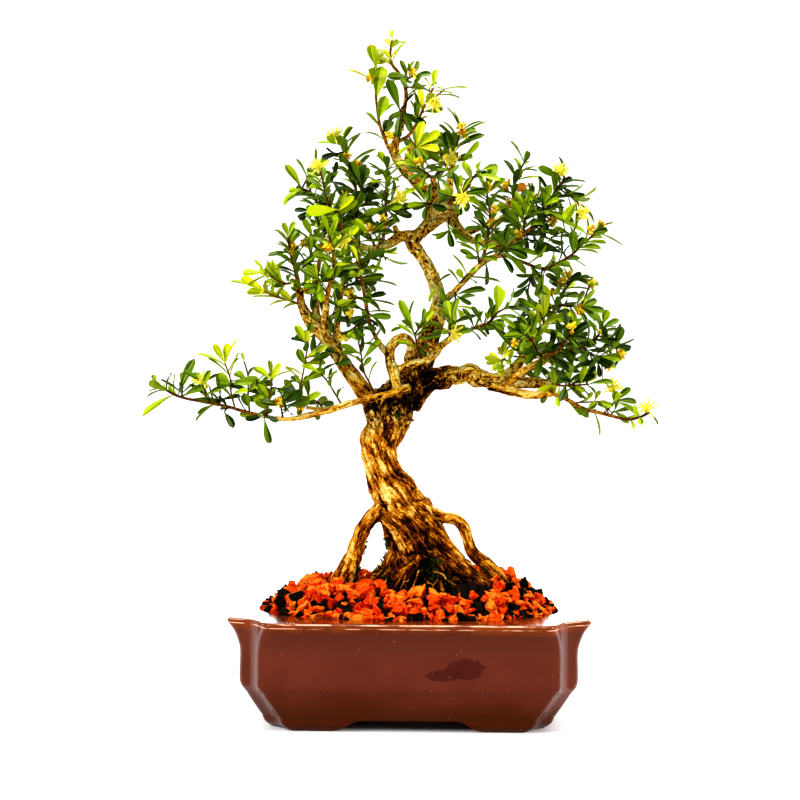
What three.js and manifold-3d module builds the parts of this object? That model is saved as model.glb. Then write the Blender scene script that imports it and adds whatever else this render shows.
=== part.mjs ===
// Harland boxwood bonsai: a small gnarled tree on stilt roots, in a glazed rectangular pot with notched
// corners. Millimetres, +Z up. The pot is drawn round x = 0, y = 0 and stands on z = 0, and its long front
// faces -Y. At the end everything moves sideways, so that the footprint's middle is at the origin.
import * as THREE from 'three';
import { mergeVertices } from 'three/addons/utils/BufferGeometryUtils.js';
import Module from 'manifold-3d';

const wasm = await Module();
wasm.setup();
const { Manifold, Mesh: SolidMesh } = wasm;

// Driving sizes of the pot.
const POT_HEIGHT = 73.5;
const BODY_HALF_LENGTH = 110;
const BODY_HALF_WIDTH = 80;
const CORNER_FOLD = 14;
const SIDE_FOLD = 15;
const LIP_OVERHANG = 9;
const OPENING_HALF_LENGTH = 102;
const OPENING_HALF_WIDTH = 72;
const OPENING_POWER = 2.4;
const OPENING_SECTORS = 28;
const POT_FLOOR = 16;
const POT_UNDERSIDE = 8.5;
const FOOT_BAND = 7;
const DRAIN_HOLE_RADIUS = 8;
const DRAIN_HOLE_X = 52;
const DRAIN_HOLE_SIDES = 12;

// Driving sizes of what fills the pot.
const GAP = 0.3;
const SOIL_EDGE = 66.5;
const MOUND_RISE = 20.5;
const MOUND_POWER = 5.5;
const HEAP = { x: 60, y: 2, rise: 8, reach: 19 };
const DRESSING_DEPTH = 3.2;
const CHIP_PITCH = 13;
const CHIP_RELIEF = 4.6;
const CHIPS_AT_EDGE = 72.6;
const CHIP_JITTER = 0.55;
const CHIP_STAGGER = 0.55;
const CHIP_BASE = 55;
const ABOVE_CHIPS = 130;
const MESH_SIZE = 26;
const MESH_THICKNESS = 1.2;
const MESH_HOLES = 2;
const MESH_BAR = 2;

// Driving sizes of the foliage.
const LEAF_LENGTH = 18;
const LEAF_WIDTH = 6.2;
const LEAF_THICKNESS = 0.7;
const LEAF_ROWS = [[0.36, 0.66], [0.74, 1], [1, 0.42]];
const BROAD_LEAF = 6.5;
const NARROW_ROWS = [[0.62, 1], [1, 0.42]];
const LEAF_ROOT = 0.35;
const LEAF_ARCH = 0.05;
const WIDTH_POWER = 0.6;
const STEM_TAPER = 0.45;
const STEM_MINIMUM = 0.75;
const STEM_NECK = 0.65;
const SQUARE_STEM = 1.5;
const STALK_RADIUS = 0.7;
const BLOOM_SIZE = [5.4, 2.6];
const BUDS_RADIUS = 3.5;
const ROOT_IN_WOOD = 0.25;
const CROSSING_LIMIT = 0.2;
const STEM_CROSSING_LIMIT = 1.5;
const WIDE_LEAF = 1.1;
const FIRST_LEAVES = 2;
const FOLIAGE_SMOOTHING = 0.08;
const WOOD_SMOOTHING = 0.2;
const POT_SMOOTHING = 0.03;

// The branches are laid out on the upright plane through the trunk, as they look from straight in front at
// this distance. A point in front of or behind that plane moves in or out along its own line of sight.
const EYE_X = -7.2;
const EYE_HEIGHT = 208.9;
const EYE_DISTANCE = 1018.7;
const DRAWING_TURN = THREE.MathUtils.degToRad(0.5);

const IN_FRONT = new THREE.Vector3(0, -1, 0);
const UP = new THREE.Vector3(0, 0, 1);

function placed([x, z, y]) {
  const out = 1 + y / EYE_DISTANCE;
  const right = x - EYE_X;
  const rise = z - EYE_HEIGHT;
  const turnedRight = right * Math.cos(DRAWING_TURN) - rise * Math.sin(DRAWING_TURN);
  const turnedRise = right * Math.sin(DRAWING_TURN) + rise * Math.cos(DRAWING_TURN);
  return new THREE.Vector3(EYE_X + turnedRight * out, y, EYE_HEIGHT + turnedRise * out);
}

// A repeatable number from 0 to 1 for a whole-number key.
function chance(key, turn = 0) {
  let h = (Math.imul(key + 1, 0x9e3779b1) ^ Math.imul(turn + 1, 0x85ebca6b)) >>> 0;
  h = Math.imul(h ^ (h >>> 15), 0x2c1b3c6d) >>> 0;
  h = Math.imul(h ^ (h >>> 12), 0x297a2d39) >>> 0;
  return ((h ^ (h >>> 15)) >>> 0) / 4294967296;
}

// Closed meshes and solids.
function solidOf(points, triangles) {
  const vertProperties = new Float32Array(points.flatMap((p) => [p.x, p.y, p.z]));
  return new Manifold(new SolidMesh({ numProp: 3, vertProperties, triVerts: new Uint32Array(triangles) }));
}

// Rings of equal count joined one after another, the first and the last closed by a fan.
function solidOfRings(rings) {
  const count = rings[0].length;
  const triangles = [];
  for (let k = 0; k < rings.length - 1; k += 1) {
    for (let i = 0; i < count; i += 1) {
      const a = k * count + i;
      const b = k * count + ((i + 1) % count);
      triangles.push(a, b, b + count, a, b + count, a + count);
    }
  }
  const last = (rings.length - 1) * count;
  for (let i = 1; i < count - 1; i += 1) {
    triangles.push(0, i + 1, i);
    triangles.push(last, last + i, last + i + 1);
  }
  return solidOf(rings.flat(), triangles);
}

// The same solid with its faces read afresh, so that slivers along the old seams go.
const tidied = (solid, tolerance) => solid.asOriginal().simplify(tolerance);

function largestBody(solid) {
  const bodies = solid.decompose();
  return bodies.reduce((best, body) => (body.volume() > best.volume() ? body : best));
}

function meshOf(solid, name, material) {
  const { vertProperties, triVerts, numProp } = solid.getMesh();
  const position = new Float32Array((vertProperties.length / numProp) * 3);
  for (let i = 0; i < position.length / 3; i += 1) {
    for (let k = 0; k < 3; k += 1) {
      position[3 * i + k] = vertProperties[numProp * i + k];
    }
  }
  const raw = new THREE.BufferGeometry();
  raw.setAttribute('position', new THREE.BufferAttribute(position, 3));
  raw.setIndex(new THREE.BufferAttribute(new Uint32Array(triVerts), 1));
  const geometry = mergeVertices(raw, 1e-4);
  geometry.computeVertexNormals();
  const mesh = new THREE.Mesh(geometry, material);
  mesh.name = name;
  return mesh;
}

const point = (x, y, z) => new THREE.Vector3(x, y, z);

// The pot's outline: straight sides, and a concave notch at each corner between two folds.
function outline(offset) {
  const halfLength = BODY_HALF_LENGTH + offset;
  const halfWidth = BODY_HALF_WIDTH + offset;
  const shift = offset > 0 ? -0.38 * offset : offset;
  const frontFold = new THREE.Vector2(BODY_HALF_LENGTH - CORNER_FOLD + shift, halfWidth);
  const sideFold = new THREE.Vector2(halfLength, BODY_HALF_WIDTH - SIDE_FOLD + shift);
  const hollow = new THREE.Vector2(frontFold.x + 3, sideFold.y + 3);
  const notch = new THREE.QuadraticBezierCurve(sideFold, hollow, frontFold).getPoints(4);
  const quarter = notch.map((p) => [p.x, p.y]);
  const mirrored = quarter.map(([x, y]) => [x, y]).reverse();
  return [
    ...quarter,
    ...mirrored.map(([x, y]) => [-x, y]),
    ...quarter.map(([x, y]) => [-x, -y]),
    ...mirrored.map(([x, y]) => [x, -y]),
  ];
}

// The rounded opening inside the lip, on the same bearings as the outline's points.
function openingRadius(angle, inset = 0) {
  const c = Math.abs(Math.cos(angle)) / (OPENING_HALF_LENGTH - inset);
  const s = Math.abs(Math.sin(angle)) / (OPENING_HALF_WIDTH - inset);
  return (c ** OPENING_POWER + s ** OPENING_POWER) ** (-1 / OPENING_POWER);
}

function opening(inset = 0) {
  const plan = [];
  for (let i = 0; i < OPENING_SECTORS; i += 1) {
    const angle = (2 * Math.PI * i) / OPENING_SECTORS;
    const r = openingRadius(angle, inset);
    plan.push([r * Math.cos(angle), r * Math.sin(angle)]);
  }
  return plan;
}

const atHeight = (plan, z) => plan.map(([x, y]) => point(x, y, z));

// Height and offset of the outer wall from the foot's top to the lip, and of the hollow from its neck down.
const OUTER_WALL = [
  [POT_UNDERSIDE, -13.4], [16, -9], [25, -4], [33, 0], [52, 0], [59, 1.6], [65, 4.3],
  [69, 7.6], [71, LIP_OVERHANG], [72.8, 8.4], [POT_HEIGHT, 6.6],
];
const LIP_BOTTOM = 66;
const MOUTH_WALL = [[LIP_BOTTOM - 1, 0], [POT_HEIGHT - 1.4, 0], [POT_HEIGHT + 0.6, -2]];
const HOLLOW_WALL = [[POT_FLOOR, -18], [24.5, -11], [33, -6.5], [52, -6.5], [LIP_BOTTOM, -3.5]];
// The foot's outside, which narrows towards the ground.
const FOOT_WALL = [[0, -19.5], [1.5, -17.4], [4.5, -14.9], [9.5, -13.3]];
const ARCH_CURL = 20;
const ARCH_BAND = 0.6;
const ARCH_START = -0.2;
const FRONT_ARCH_HALF_SPAN = 31;
const SIDE_ARCH_HALF_SPAN = 18;

function plainBlock(x0, x1, y0, y1, z0, z1) {
  const box = new THREE.BoxGeometry(x1 - x0, y1 - y0, z1 - z0);
  box.translate((x0 + x1) / 2, (y0 + y1) / 2, (z0 + z1) / 2);
  return solidFromGeometry(box);
}

function solidFromGeometry(geometry) {
  geometry.deleteAttribute('normal');
  geometry.deleteAttribute('uv');
  const merged = mergeVertices(geometry, 1e-4);
  const p = merged.attributes.position;
  const points = [];
  for (let i = 0; i < p.count; i += 1) {
    points.push(point(p.getX(i), p.getY(i), p.getZ(i)));
  }
  return solidOf(points, [...merged.index.array]);
}

// The gap between two feet: an arch with S-shaped ends, cut right through the foot band along Y or X.
function archCut(halfSpan, alongX) {
  const shape = new THREE.Shape();
  shape.moveTo(-halfSpan - ARCH_CURL, -1);
  shape.lineTo(-halfSpan - ARCH_CURL, ARCH_START);
  const top = POT_UNDERSIDE - ARCH_BAND;
  const bend = halfSpan + 0.4 * ARCH_CURL;
  shape.bezierCurveTo(-bend, 1, -bend, top - 0.4, -halfSpan, top);
  shape.lineTo(halfSpan, top);
  shape.bezierCurveTo(bend, top - 0.4, bend, 1, halfSpan + ARCH_CURL, ARCH_START);
  shape.lineTo(halfSpan + ARCH_CURL, -1);
  const reach = 2 * BODY_HALF_LENGTH;
  const geometry = new THREE.ExtrudeGeometry(shape, { depth: reach, bevelEnabled: false, curveSegments: 3 });
  geometry.translate(0, 0, -reach / 2);
  geometry.rotateX(Math.PI / 2);
  if (alongX) {
    geometry.rotateZ(Math.PI / 2);
  }
  return solidFromGeometry(geometry);
}

function drainHole(x) {
  const depth = 2 * POT_FLOOR;
  const hole = new THREE.CylinderGeometry(DRAIN_HOLE_RADIUS, DRAIN_HOLE_RADIUS, depth, DRAIN_HOLE_SIDES);
  hole.rotateX(Math.PI / 2);
  hole.translate(x, 0, POT_FLOOR / 2);
  return solidFromGeometry(hole);
}

function potSolid() {
  const bowl = solidOfRings(OUTER_WALL.map(([z, offset]) => atHeight(outline(offset), z)));
  const hollow = solidOfRings(HOLLOW_WALL.map(([z, offset]) => atHeight(outline(offset), z)));
  const mouth = solidOfRings(MOUTH_WALL.map(([z, inset]) => atHeight(opening(inset), z)));
  const footOutside = solidOfRings(FOOT_WALL.map(([z, offset]) => atHeight(outline(offset), z)));
  const insidePlan = outline(FOOT_WALL[0][1] - FOOT_BAND);
  const footInside = solidOfRings([-1, POT_UNDERSIDE].map((z) => atHeight(insidePlan, z)));
  const feet = footOutside.subtract(footInside)
    .subtract(archCut(FRONT_ARCH_HALF_SPAN, false)).subtract(archCut(SIDE_ARCH_HALF_SPAN, true));
  const holes = [-DRAIN_HOLE_X, DRAIN_HOLE_X].map(drainHole);
  const emptied = bowl.add(feet).subtract(hollow).subtract(mouth);
  const pot = holes.reduce((left, hole) => left.subtract(hole), emptied);
  return tidied(pot, POT_SMOOTHING);
}

// A square plastic net laid over each drainage hole.
function drainMeshSolid(x) {
  const half = MESH_SIZE / 2;
  const low = POT_FLOOR + GAP;
  let net = plainBlock(x - half, x + half, -half, half, low, low + MESH_THICKNESS);
  const pitch = (MESH_SIZE - MESH_BAR) / MESH_HOLES;
  for (let i = 0; i < MESH_HOLES; i += 1) {
    for (let k = 0; k < MESH_HOLES; k += 1) {
      const left = x - half + MESH_BAR + i * pitch;
      const near = -half + MESH_BAR + k * pitch;
      const hole = pitch - MESH_BAR;
      net = net.subtract(plainBlock(left, left + hole, near, near + hole, low - 1, low + 3));
    }
  }
  return net;
}

// How far a point is on the way from the middle to the opening's edge.
const shareToEdge = (x, y) => Math.hypot(x, y) / openingRadius(Math.atan2(y, x));

// The mound: steep at the opening's edge, flat towards the trunk, with a heap round the right stilt root.
function moundHeight(x, y) {
  const share = Math.min(shareToEdge(x, y), 1);
  const heap = HEAP.rise * Math.exp(-((x - HEAP.x) ** 2 + (y - HEAP.y) ** 2) / (2 * HEAP.reach ** 2));
  return SOIL_EDGE + (MOUND_RISE + heap) * (1 - share ** MOUND_POWER);
}

const MOUND_SHARES = [1, 0.93, 0.82, 0.66, 0.36];
const PAST_EDGE = 1.08;

function moundSolid(raised, inset, bottom, shares = MOUND_SHARES) {
  const plan = (share) => opening(inset).map(([x, y]) => [x * share, y * share]);
  const surface = shares.map((share) => plan(share).map(([x, y]) => point(x, y, moundHeight(x, y) + raised)));
  return solidOfRings([atHeight(plan(shares[0]), bottom), ...surface]);
}

function soilSolid(wood, nets) {
  const levels = HOLLOW_WALL.map(([z]) => z);
  levels[0] += GAP;
  levels[levels.length - 1] -= GAP;
  const filling = solidOfRings(HOLLOW_WALL.map(([, offset], k) => (
    atHeight(outline(offset - 1.5 * GAP), levels[k]))));
  const half = MESH_SIZE / 2 + GAP;
  const top = POT_FLOOR + 2 * GAP + MESH_THICKNESS;
  const pockets = nets.map((x) => plainBlock(x - half, x + half, -half, half, POT_FLOOR - 1, top));
  const whole = filling.add(moundSolid(0, 1.5 * GAP, LIP_BOTTOM - 4));
  const soil = pockets.reduce((left, pocket) => left.subtract(pocket), whole).subtract(wood);
  return tidied(largestBody(soil), WOOD_SMOOTHING);
}

// The lava chips as one rough crust: a jittered net of points, each at its own height over the mound.
function dressingSolid(wood) {
  const nx = Math.ceil((2 * OPENING_HALF_LENGTH + 12) / CHIP_PITCH);
  const ny = Math.ceil((2 * OPENING_HALF_WIDTH + 12) / CHIP_PITCH);
  const points = [];
  for (let level = 0; level < 2; level += 1) {
    for (let j = 0; j <= ny; j += 1) {
      for (let i = 0; i <= nx; i += 1) {
        const key = j * (nx + 1) + i;
        const inner = i > 0 && j > 0 && i < nx && j < ny ? CHIP_JITTER * CHIP_PITCH : 0;
        const x = (i - nx / 2) * CHIP_PITCH + (chance(key, 1) - 0.5) * inner;
        const y = (j - ny / 2) * CHIP_PITCH + (chance(key, 2) - 0.5) * inner;
        const rough = ((i + j) % 2 ? CHIP_STAGGER : 0) + (1 - CHIP_STAGGER) * chance(key, 3);
        const top = moundHeight(x, y) + DRESSING_DEPTH + CHIP_RELIEF * rough;
        const atEdge = shareToEdge(x, y) > 0.97;
        points.push(point(x, y, level ? Math.min(top, atEdge ? CHIPS_AT_EDGE : top) : CHIP_BASE));
      }
    }
  }
  const layer = (nx + 1) * (ny + 1);
  const triangles = [];
  const quad = (a, b, c, d) => triangles.push(a, b, c, a, c, d);
  for (let j = 0; j < ny; j += 1) {
    for (let i = 0; i < nx; i += 1) {
      const a = j * (nx + 1) + i;
      quad(a, a + nx + 1, a + nx + 2, a + 1);
      quad(layer + a, layer + a + 1, layer + a + nx + 2, layer + a + nx + 1);
    }
  }
  for (let i = 0; i < nx; i += 1) {
    const far = ny * (nx + 1) + i;
    quad(i, i + 1, layer + i + 1, layer + i);
    quad(far + 1, far, layer + far, layer + far + 1);
  }
  for (let j = 0; j < ny; j += 1) {
    const a = j * (nx + 1);
    const b = a + nx;
    quad(a + nx + 1, a, layer + a, layer + a + nx + 1);
    quad(b, b + nx + 1, layer + b + nx + 1, layer + b);
  }
  const crust = solidOf(points, triangles);
  const edge = opening(1.5 * GAP);
  const inside = solidOfRings([CHIP_BASE + 1, ABOVE_CHIPS].map((z) => atHeight(edge, z)));
  const underside = moundSolid(GAP, 0, CHIP_BASE - 5, [PAST_EDGE, ...MOUND_SHARES]);
  return tidied(largestBody(crust.intersect(inside).subtract(underside).subtract(wood)), WOOD_SMOOTHING);
}

// The trunk: middle x, height, depth, half width and half depth of each section.
const TRUNK = [
  [13, 64, -2, 36, 26], [12, 80, -2, 36, 27], [10, 92, -2, 32, 25], [8, 101, -2, 27.5, 22],
  [6, 110, -2, 23, 19.5], [4, 120, -2, 19.5, 17.5], [0, 131, -1, 18.5, 16.5], [-5, 140, 0, 17.5, 16],
  [-8, 147, 0, 16, 15], [-12, 154, 0, 14.8, 14.2], [-16, 161, 0, 13.1, 13.2], [-18.5, 168, 0, 11.8, 12.2],
  [-20.6, 175, 0, 11.5, 11.8], [-21.6, 182, 0, 12, 12], [-21, 188, 0, 12.4, 12.3], [-18, 195, 0, 13.2, 12.8],
  [-16.2, 202, 0, 15.2, 13.8], [-14.5, 209, 0, 18.3, 15], [-13, 216, 1, 22, 15.5], [-7, 225, 2, 16, 14],
  [-4, 234, 2, 11, 10],
];
const TRUNK_SIDES = 12;
const TRUNK_RIDGES = 5;
const RIDGE_DEPTH = 0.07;
const RIDGE_TWIST = 0.012;

// Roots and branches: x, height, depth and radius of each point along the way.
const WOOD = [
  // Stilt roots, with a hole between each and the trunk, then the roots that run into the soil.
  [[-12, 144, -3, 7], [-22, 139, -4, 5.6], [-28, 133, -5, 5], [-33.5, 125, -7, 5], [-37, 116, -9, 5.4],
    [-39.5, 107, -10, 6.2], [-43.5, 98, -12, 7], [-48, 89, -13, 7.2], [-52, 78, -14, 7], [-55, 66, -15, 5]],
  [[4, 139, -3, 6], [15, 137, -5, 4.2], [24, 134.5, -6, 3.7], [31, 133.3, -7, 4], [36, 129, -8, 4.2],
    [39, 121, -9, 3.7], [41.5, 113, -10, 3.9], [46, 107, -11, 4.2], [53, 101.5, -12, 4.4], [60, 95, -13, 4.4],
    [66, 87, -14, 4.2], [71, 77, -15, 3.8], [74, 66, -15, 3.4]],
  [[6, 134, -7, 8], [17, 121, -11, 7.2], [26, 110, -13, 6.6], [35, 100, -15, 6], [46, 91, -17, 5.6],
    [57, 83, -18, 5], [66, 70, -19, 4]],
  [[12, 112, -14, 5], [3, 102, -21, 4], [-5, 95, -25, 3.8], [-12, 86, -30, 3.6], [-16, 70, -33, 3]],
  [[14, 108, -12, 6], [20, 94, -25, 5.2], [24, 86, -33, 4.6], [28, 70, -39, 3.6]],
  [[-10, 108, -8, 6], [-18, 96, -14, 5.4], [-25, 86, -19, 5], [-30, 70, -23, 4]],
  [[-2, 118, 8, 6], [-8, 102, 23, 5.4], [-14, 91, 35, 5], [-20, 72, 45, 4]],
  [[8, 118, 8, 6], [16, 101, 24, 5.4], [25, 89, 37, 5], [33, 72, 46, 4]],
  // The leading stem, through the fork and the knot to the top.
  [[-6, 214, 3, 12], [1, 226, 3, 12], [6, 238, 3, 9.5], [10, 248, 3, 8], [13, 258, 2, 7], [16.5, 268, 1, 6.3],
    [19.3, 279, 0, 5.3], [19, 289, 0, 4.8], [16.5, 298, 0, 4.6], [12, 308, 1, 4.5], [6, 317, 1, 4.3],
    [1.5, 325, 1, 4.8], [7, 331, 2, 4.6], [14.5, 338, 2, 5], [20, 346, 2, 7.5], [17.5, 353, 1, 6],
    [9.5, 361, 0, 4.2], [2.5, 367.5, 0, 3.6], [-4, 374, 0, 3.4], [-9, 381, 0, 3.2], [-11.5, 388, 0, 3],
    [-9.5, 396, 0, 2.6], [-6.5, 406, 0, 2.3], [-4.3, 415, -1, 2]],
  [[13, 343, 0, 4.5], [19, 349, -1, 8.6], [26, 348, 1, 8.4], [31, 341, 3, 4.4]],
  [[4, 329, 1, 4], [-6, 328.5, 1, 3.7], [-13, 324.5, 0, 3.3], [-20, 321, -1, 3], [-28, 320, -2, 2.6],
    [-37, 323, -5, 2.3], [-43, 328, -7, 2]],
  [[-7, 327, 1, 2.6], [-11.5, 336, 1, 1.6]],
  [[26, 343, 4, 4.5], [31, 337, 5, 3.4], [36, 331, 6, 2.8], [42, 326, 6, 2.5], [49, 324.5, 6, 2.4],
    [58, 323, 3, 2.4], [66, 323, -0.5, 2.3]],
  // The loop, the branch in front of it and the pale strip down the trunk.
  [[-10, 230, -9, 4], [-13.5, 239, -13, 3.4], [-14.3, 249, -16, 3.3], [-11, 255.5, -17, 3.1],
    [-6, 258.4, -17, 3], [-0.6, 256, -16, 3], [0.4, 250, -13, 3], [-1.5, 244, -9, 3.2], [1, 237, -3, 3.6]],
  [[-11, 234, -11, 3.2], [-4, 238.4, -14, 2.9], [4, 241, -16, 2.8], [11, 242.8, -17, 2.7],
    [16.5, 246.5, -18, 2.6], [21, 253, -19, 2.4], [28.6, 258.6, -20, 2.2], [35, 262, -22.7, 1.9]],
  [[-12, 240, -14, 3], [-10.5, 230, -15, 2.9], [-8, 220, -15, 2.6]],
  [[-14, 247, -15, 2.5], [-19, 251, -16, 2.2], [-23, 257, -16, 2.1]],
  // The left limb and its stems.
  [[-20, 206, -2, 8], [-27, 214, -2, 6.4], [-36, 227, -4, 5.6], [-44, 238, -5, 5.2], [-53, 251, -5, 4.8],
    [-61, 261, -4, 4.6], [-69, 270, -3, 4], [-75, 281, -2, 3], [-76.8, 293, -3, 2.5]],
  [[-60, 260, -3, 3.6], [-64.5, 273, 1, 3.1], [-65.5, 287, 5, 2.7], [-65, 300, 9.7, 2.4]],
  [[-56, 256, -6, 3.2], [-59, 268, -15, 2.7], [-58.2, 282, -25.3, 2.3]],
  [[-49, 246, -3, 3.4], [-51, 262, 12, 2.8], [-49.2, 279, 27.2, 2.4]],
  // The long low branch on the left, and the shoot beside it.
  [[-1, 224, -13, 2.9], [-14, 220, -18.5, 2.6], [-29, 216.3, -22, 2.4], [-43, 213, -23, 2.3],
    [-55, 208.5, -23, 2.2], [-69, 205.3, -23, 2.1], [-83, 202.5, -23, 1.9], [-94, 202.9, -23, 1.8]],
  [[-46, 212, -22, 1.7], [-60, 209.6, -18, 1.5], [-72, 210.3, -14, 1.4]],
  // The knobbly right limb and its strands.
  [[-2, 224, 2, 11], [8, 227, 1, 9.6], [15, 230, 0, 8], [21, 230.5, -1, 8], [27, 233.5, -2, 6.4],
    [34, 232.5, -2, 6], [41, 235, -3, 5.7], [46, 231, -3, 6.1], [54, 229.3, -3, 5.3], [63, 228, -3, 5],
    [73, 227.6, -3, 4.4], [83, 227.6, -4, 3.5], [93, 227, -6, 2.9], [99, 226.6, -7.2, 2.2]],
  [[58, 230, 0, 3.8], [67, 234, 3, 3.3], [74, 240, 5, 3.1], [79, 248, 7, 2.8], [85.4, 257, 9.8, 2.4]],
  [[54, 226.5, -5, 3.8], [66, 222.6, -7, 3.4], [77, 220, -9, 3.1], [88, 219, -11, 2.7],
    [98, 220.3, -12, 2.2]],
  [[72, 230, 1, 3], [82, 237, 14, 2.5], [93, 242.4, 26.8, 2.1]],
  [[68, 229, -6, 3], [78, 236, -18, 2.5], [87.2, 241.5, -27.5, 2.2]],
  [[79, 245, 7, 2.4], [93, 247, 3, 2.1], [105, 249.2, -1.3, 1.9]],
  // The upper right branches.
  [[18, 281, -1, 3], [27, 287.5, -4, 2.4], [36, 296.5, -6, 2.2], [45, 306, -8, 2.1], [55, 313.5, -8, 2],
    [65, 315.8, -9, 1.8]],
  [[37, 330, 6, 2.5], [49, 335, 19, 2.1], [61, 340.2, 31, 1.9]],
  // The branches at the top.
  [[23, 351, 5, 3], [27, 359, 18, 2.5], [28, 371.5, 39.5, 1.8]],
  [[26, 351, 1, 3], [34, 357, -6, 2.4], [41, 366, -14, 1.8]],
  [[17, 355, -3, 3], [17, 363, -16, 2.3], [15, 369, -25, 1.8]],
  [[23, 353, 2, 2.6], [27, 366, 3, 2.1], [29.3, 378, 4, 1.9]],
  [[-11, 385, 0, 2.1], [-16.5, 392.3, -2.8, 1.7]],
  [[-3, 373, 1, 2.4], [-2, 384, 14, 2], [0.7, 390, 21, 1.8]],
];

// How many sides a root or branch has, by its radius.
const THICK_WOOD = 4.6;
const THIN_WOOD = 2.6;

function woodSides(radius) {
  if (radius > THICK_WOOD) {
    return 6;
  }
  return radius > THIN_WOOD ? 5 : 4;
}

function tangents(path) {
  return path.map((_, i) => {
    const before = path[Math.max(i - 1, 0)];
    const after = path[Math.min(i + 1, path.length - 1)];
    return after.clone().sub(before).normalize();
  });
}

// A tube with flat-sided sections across its way. Its sections turn as little as they can, and a swollen one
// is longer at both ends too.
function tubeSolid(path, radii, sides, swell = 0) {
  const along = tangents(path);
  const start = Math.abs(along[0].y) < 0.9 ? point(0, 1, 0) : point(1, 0, 0);
  let across = start.clone().cross(along[0]).normalize();
  const longer = path.map(() => 0);
  longer[0] = -swell;
  longer[path.length - 1] = swell;
  const rings = path.map((way, k) => {
    const middle = way.clone().add(along[k].clone().multiplyScalar(longer[k]));
    across = across.clone().sub(along[k].clone().multiplyScalar(across.dot(along[k]))).normalize();
    const third = along[k].clone().cross(across);
    const ring = [];
    for (let i = 0; i < sides; i += 1) {
      const angle = (2 * Math.PI * (i + 0.5)) / sides;
      const r = radii[k] + swell;
      ring.push(middle.clone()
        .add(across.clone().multiplyScalar(r * Math.cos(angle)))
        .add(third.clone().multiplyScalar(r * Math.sin(angle))));
    }
    return ring;
  });
  return solidOfRings(rings);
}

function trunkSolid(swell) {
  const path = TRUNK.map(placed);
  const along = tangents(path);
  const rings = path.map((middle, k) => {
    const side = point(1, 0, 0).sub(along[k].clone().multiplyScalar(along[k].x)).normalize();
    const back = along[k].clone().cross(side);
    const [, height, , halfWidth, halfDepth] = TRUNK[k];
    const ring = [];
    for (let i = 0; i < TRUNK_SIDES; i += 1) {
      const angle = (2 * Math.PI * i) / TRUNK_SIDES;
      const ridge = 1 + RIDGE_DEPTH * Math.cos(TRUNK_RIDGES * angle + RIDGE_TWIST * TRUNK_RIDGES * height);
      ring.push(middle.clone()
        .add(side.clone().multiplyScalar((halfWidth * ridge + swell) * Math.cos(angle)))
        .add(back.clone().multiplyScalar((halfDepth * ridge + swell) * Math.sin(angle))));
    }
    return ring;
  });
  return solidOfRings(rings);
}

function woodSolid(swell) {
  const tubes = WOOD.map((way) => {
    const radii = way.map(([, , , r]) => r);
    const sides = woodSides(Math.max(radii[Math.floor(way.length / 2)], 0.6 * radii[0]));
    return tubeSolid(way.map(placed), radii, sides, swell);
  });
  const whole = largestBody(Manifold.union([trunkSolid(swell), ...tubes]));
  return swell ? whole : tidied(whole, WOOD_SMOOTHING);
}

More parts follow.
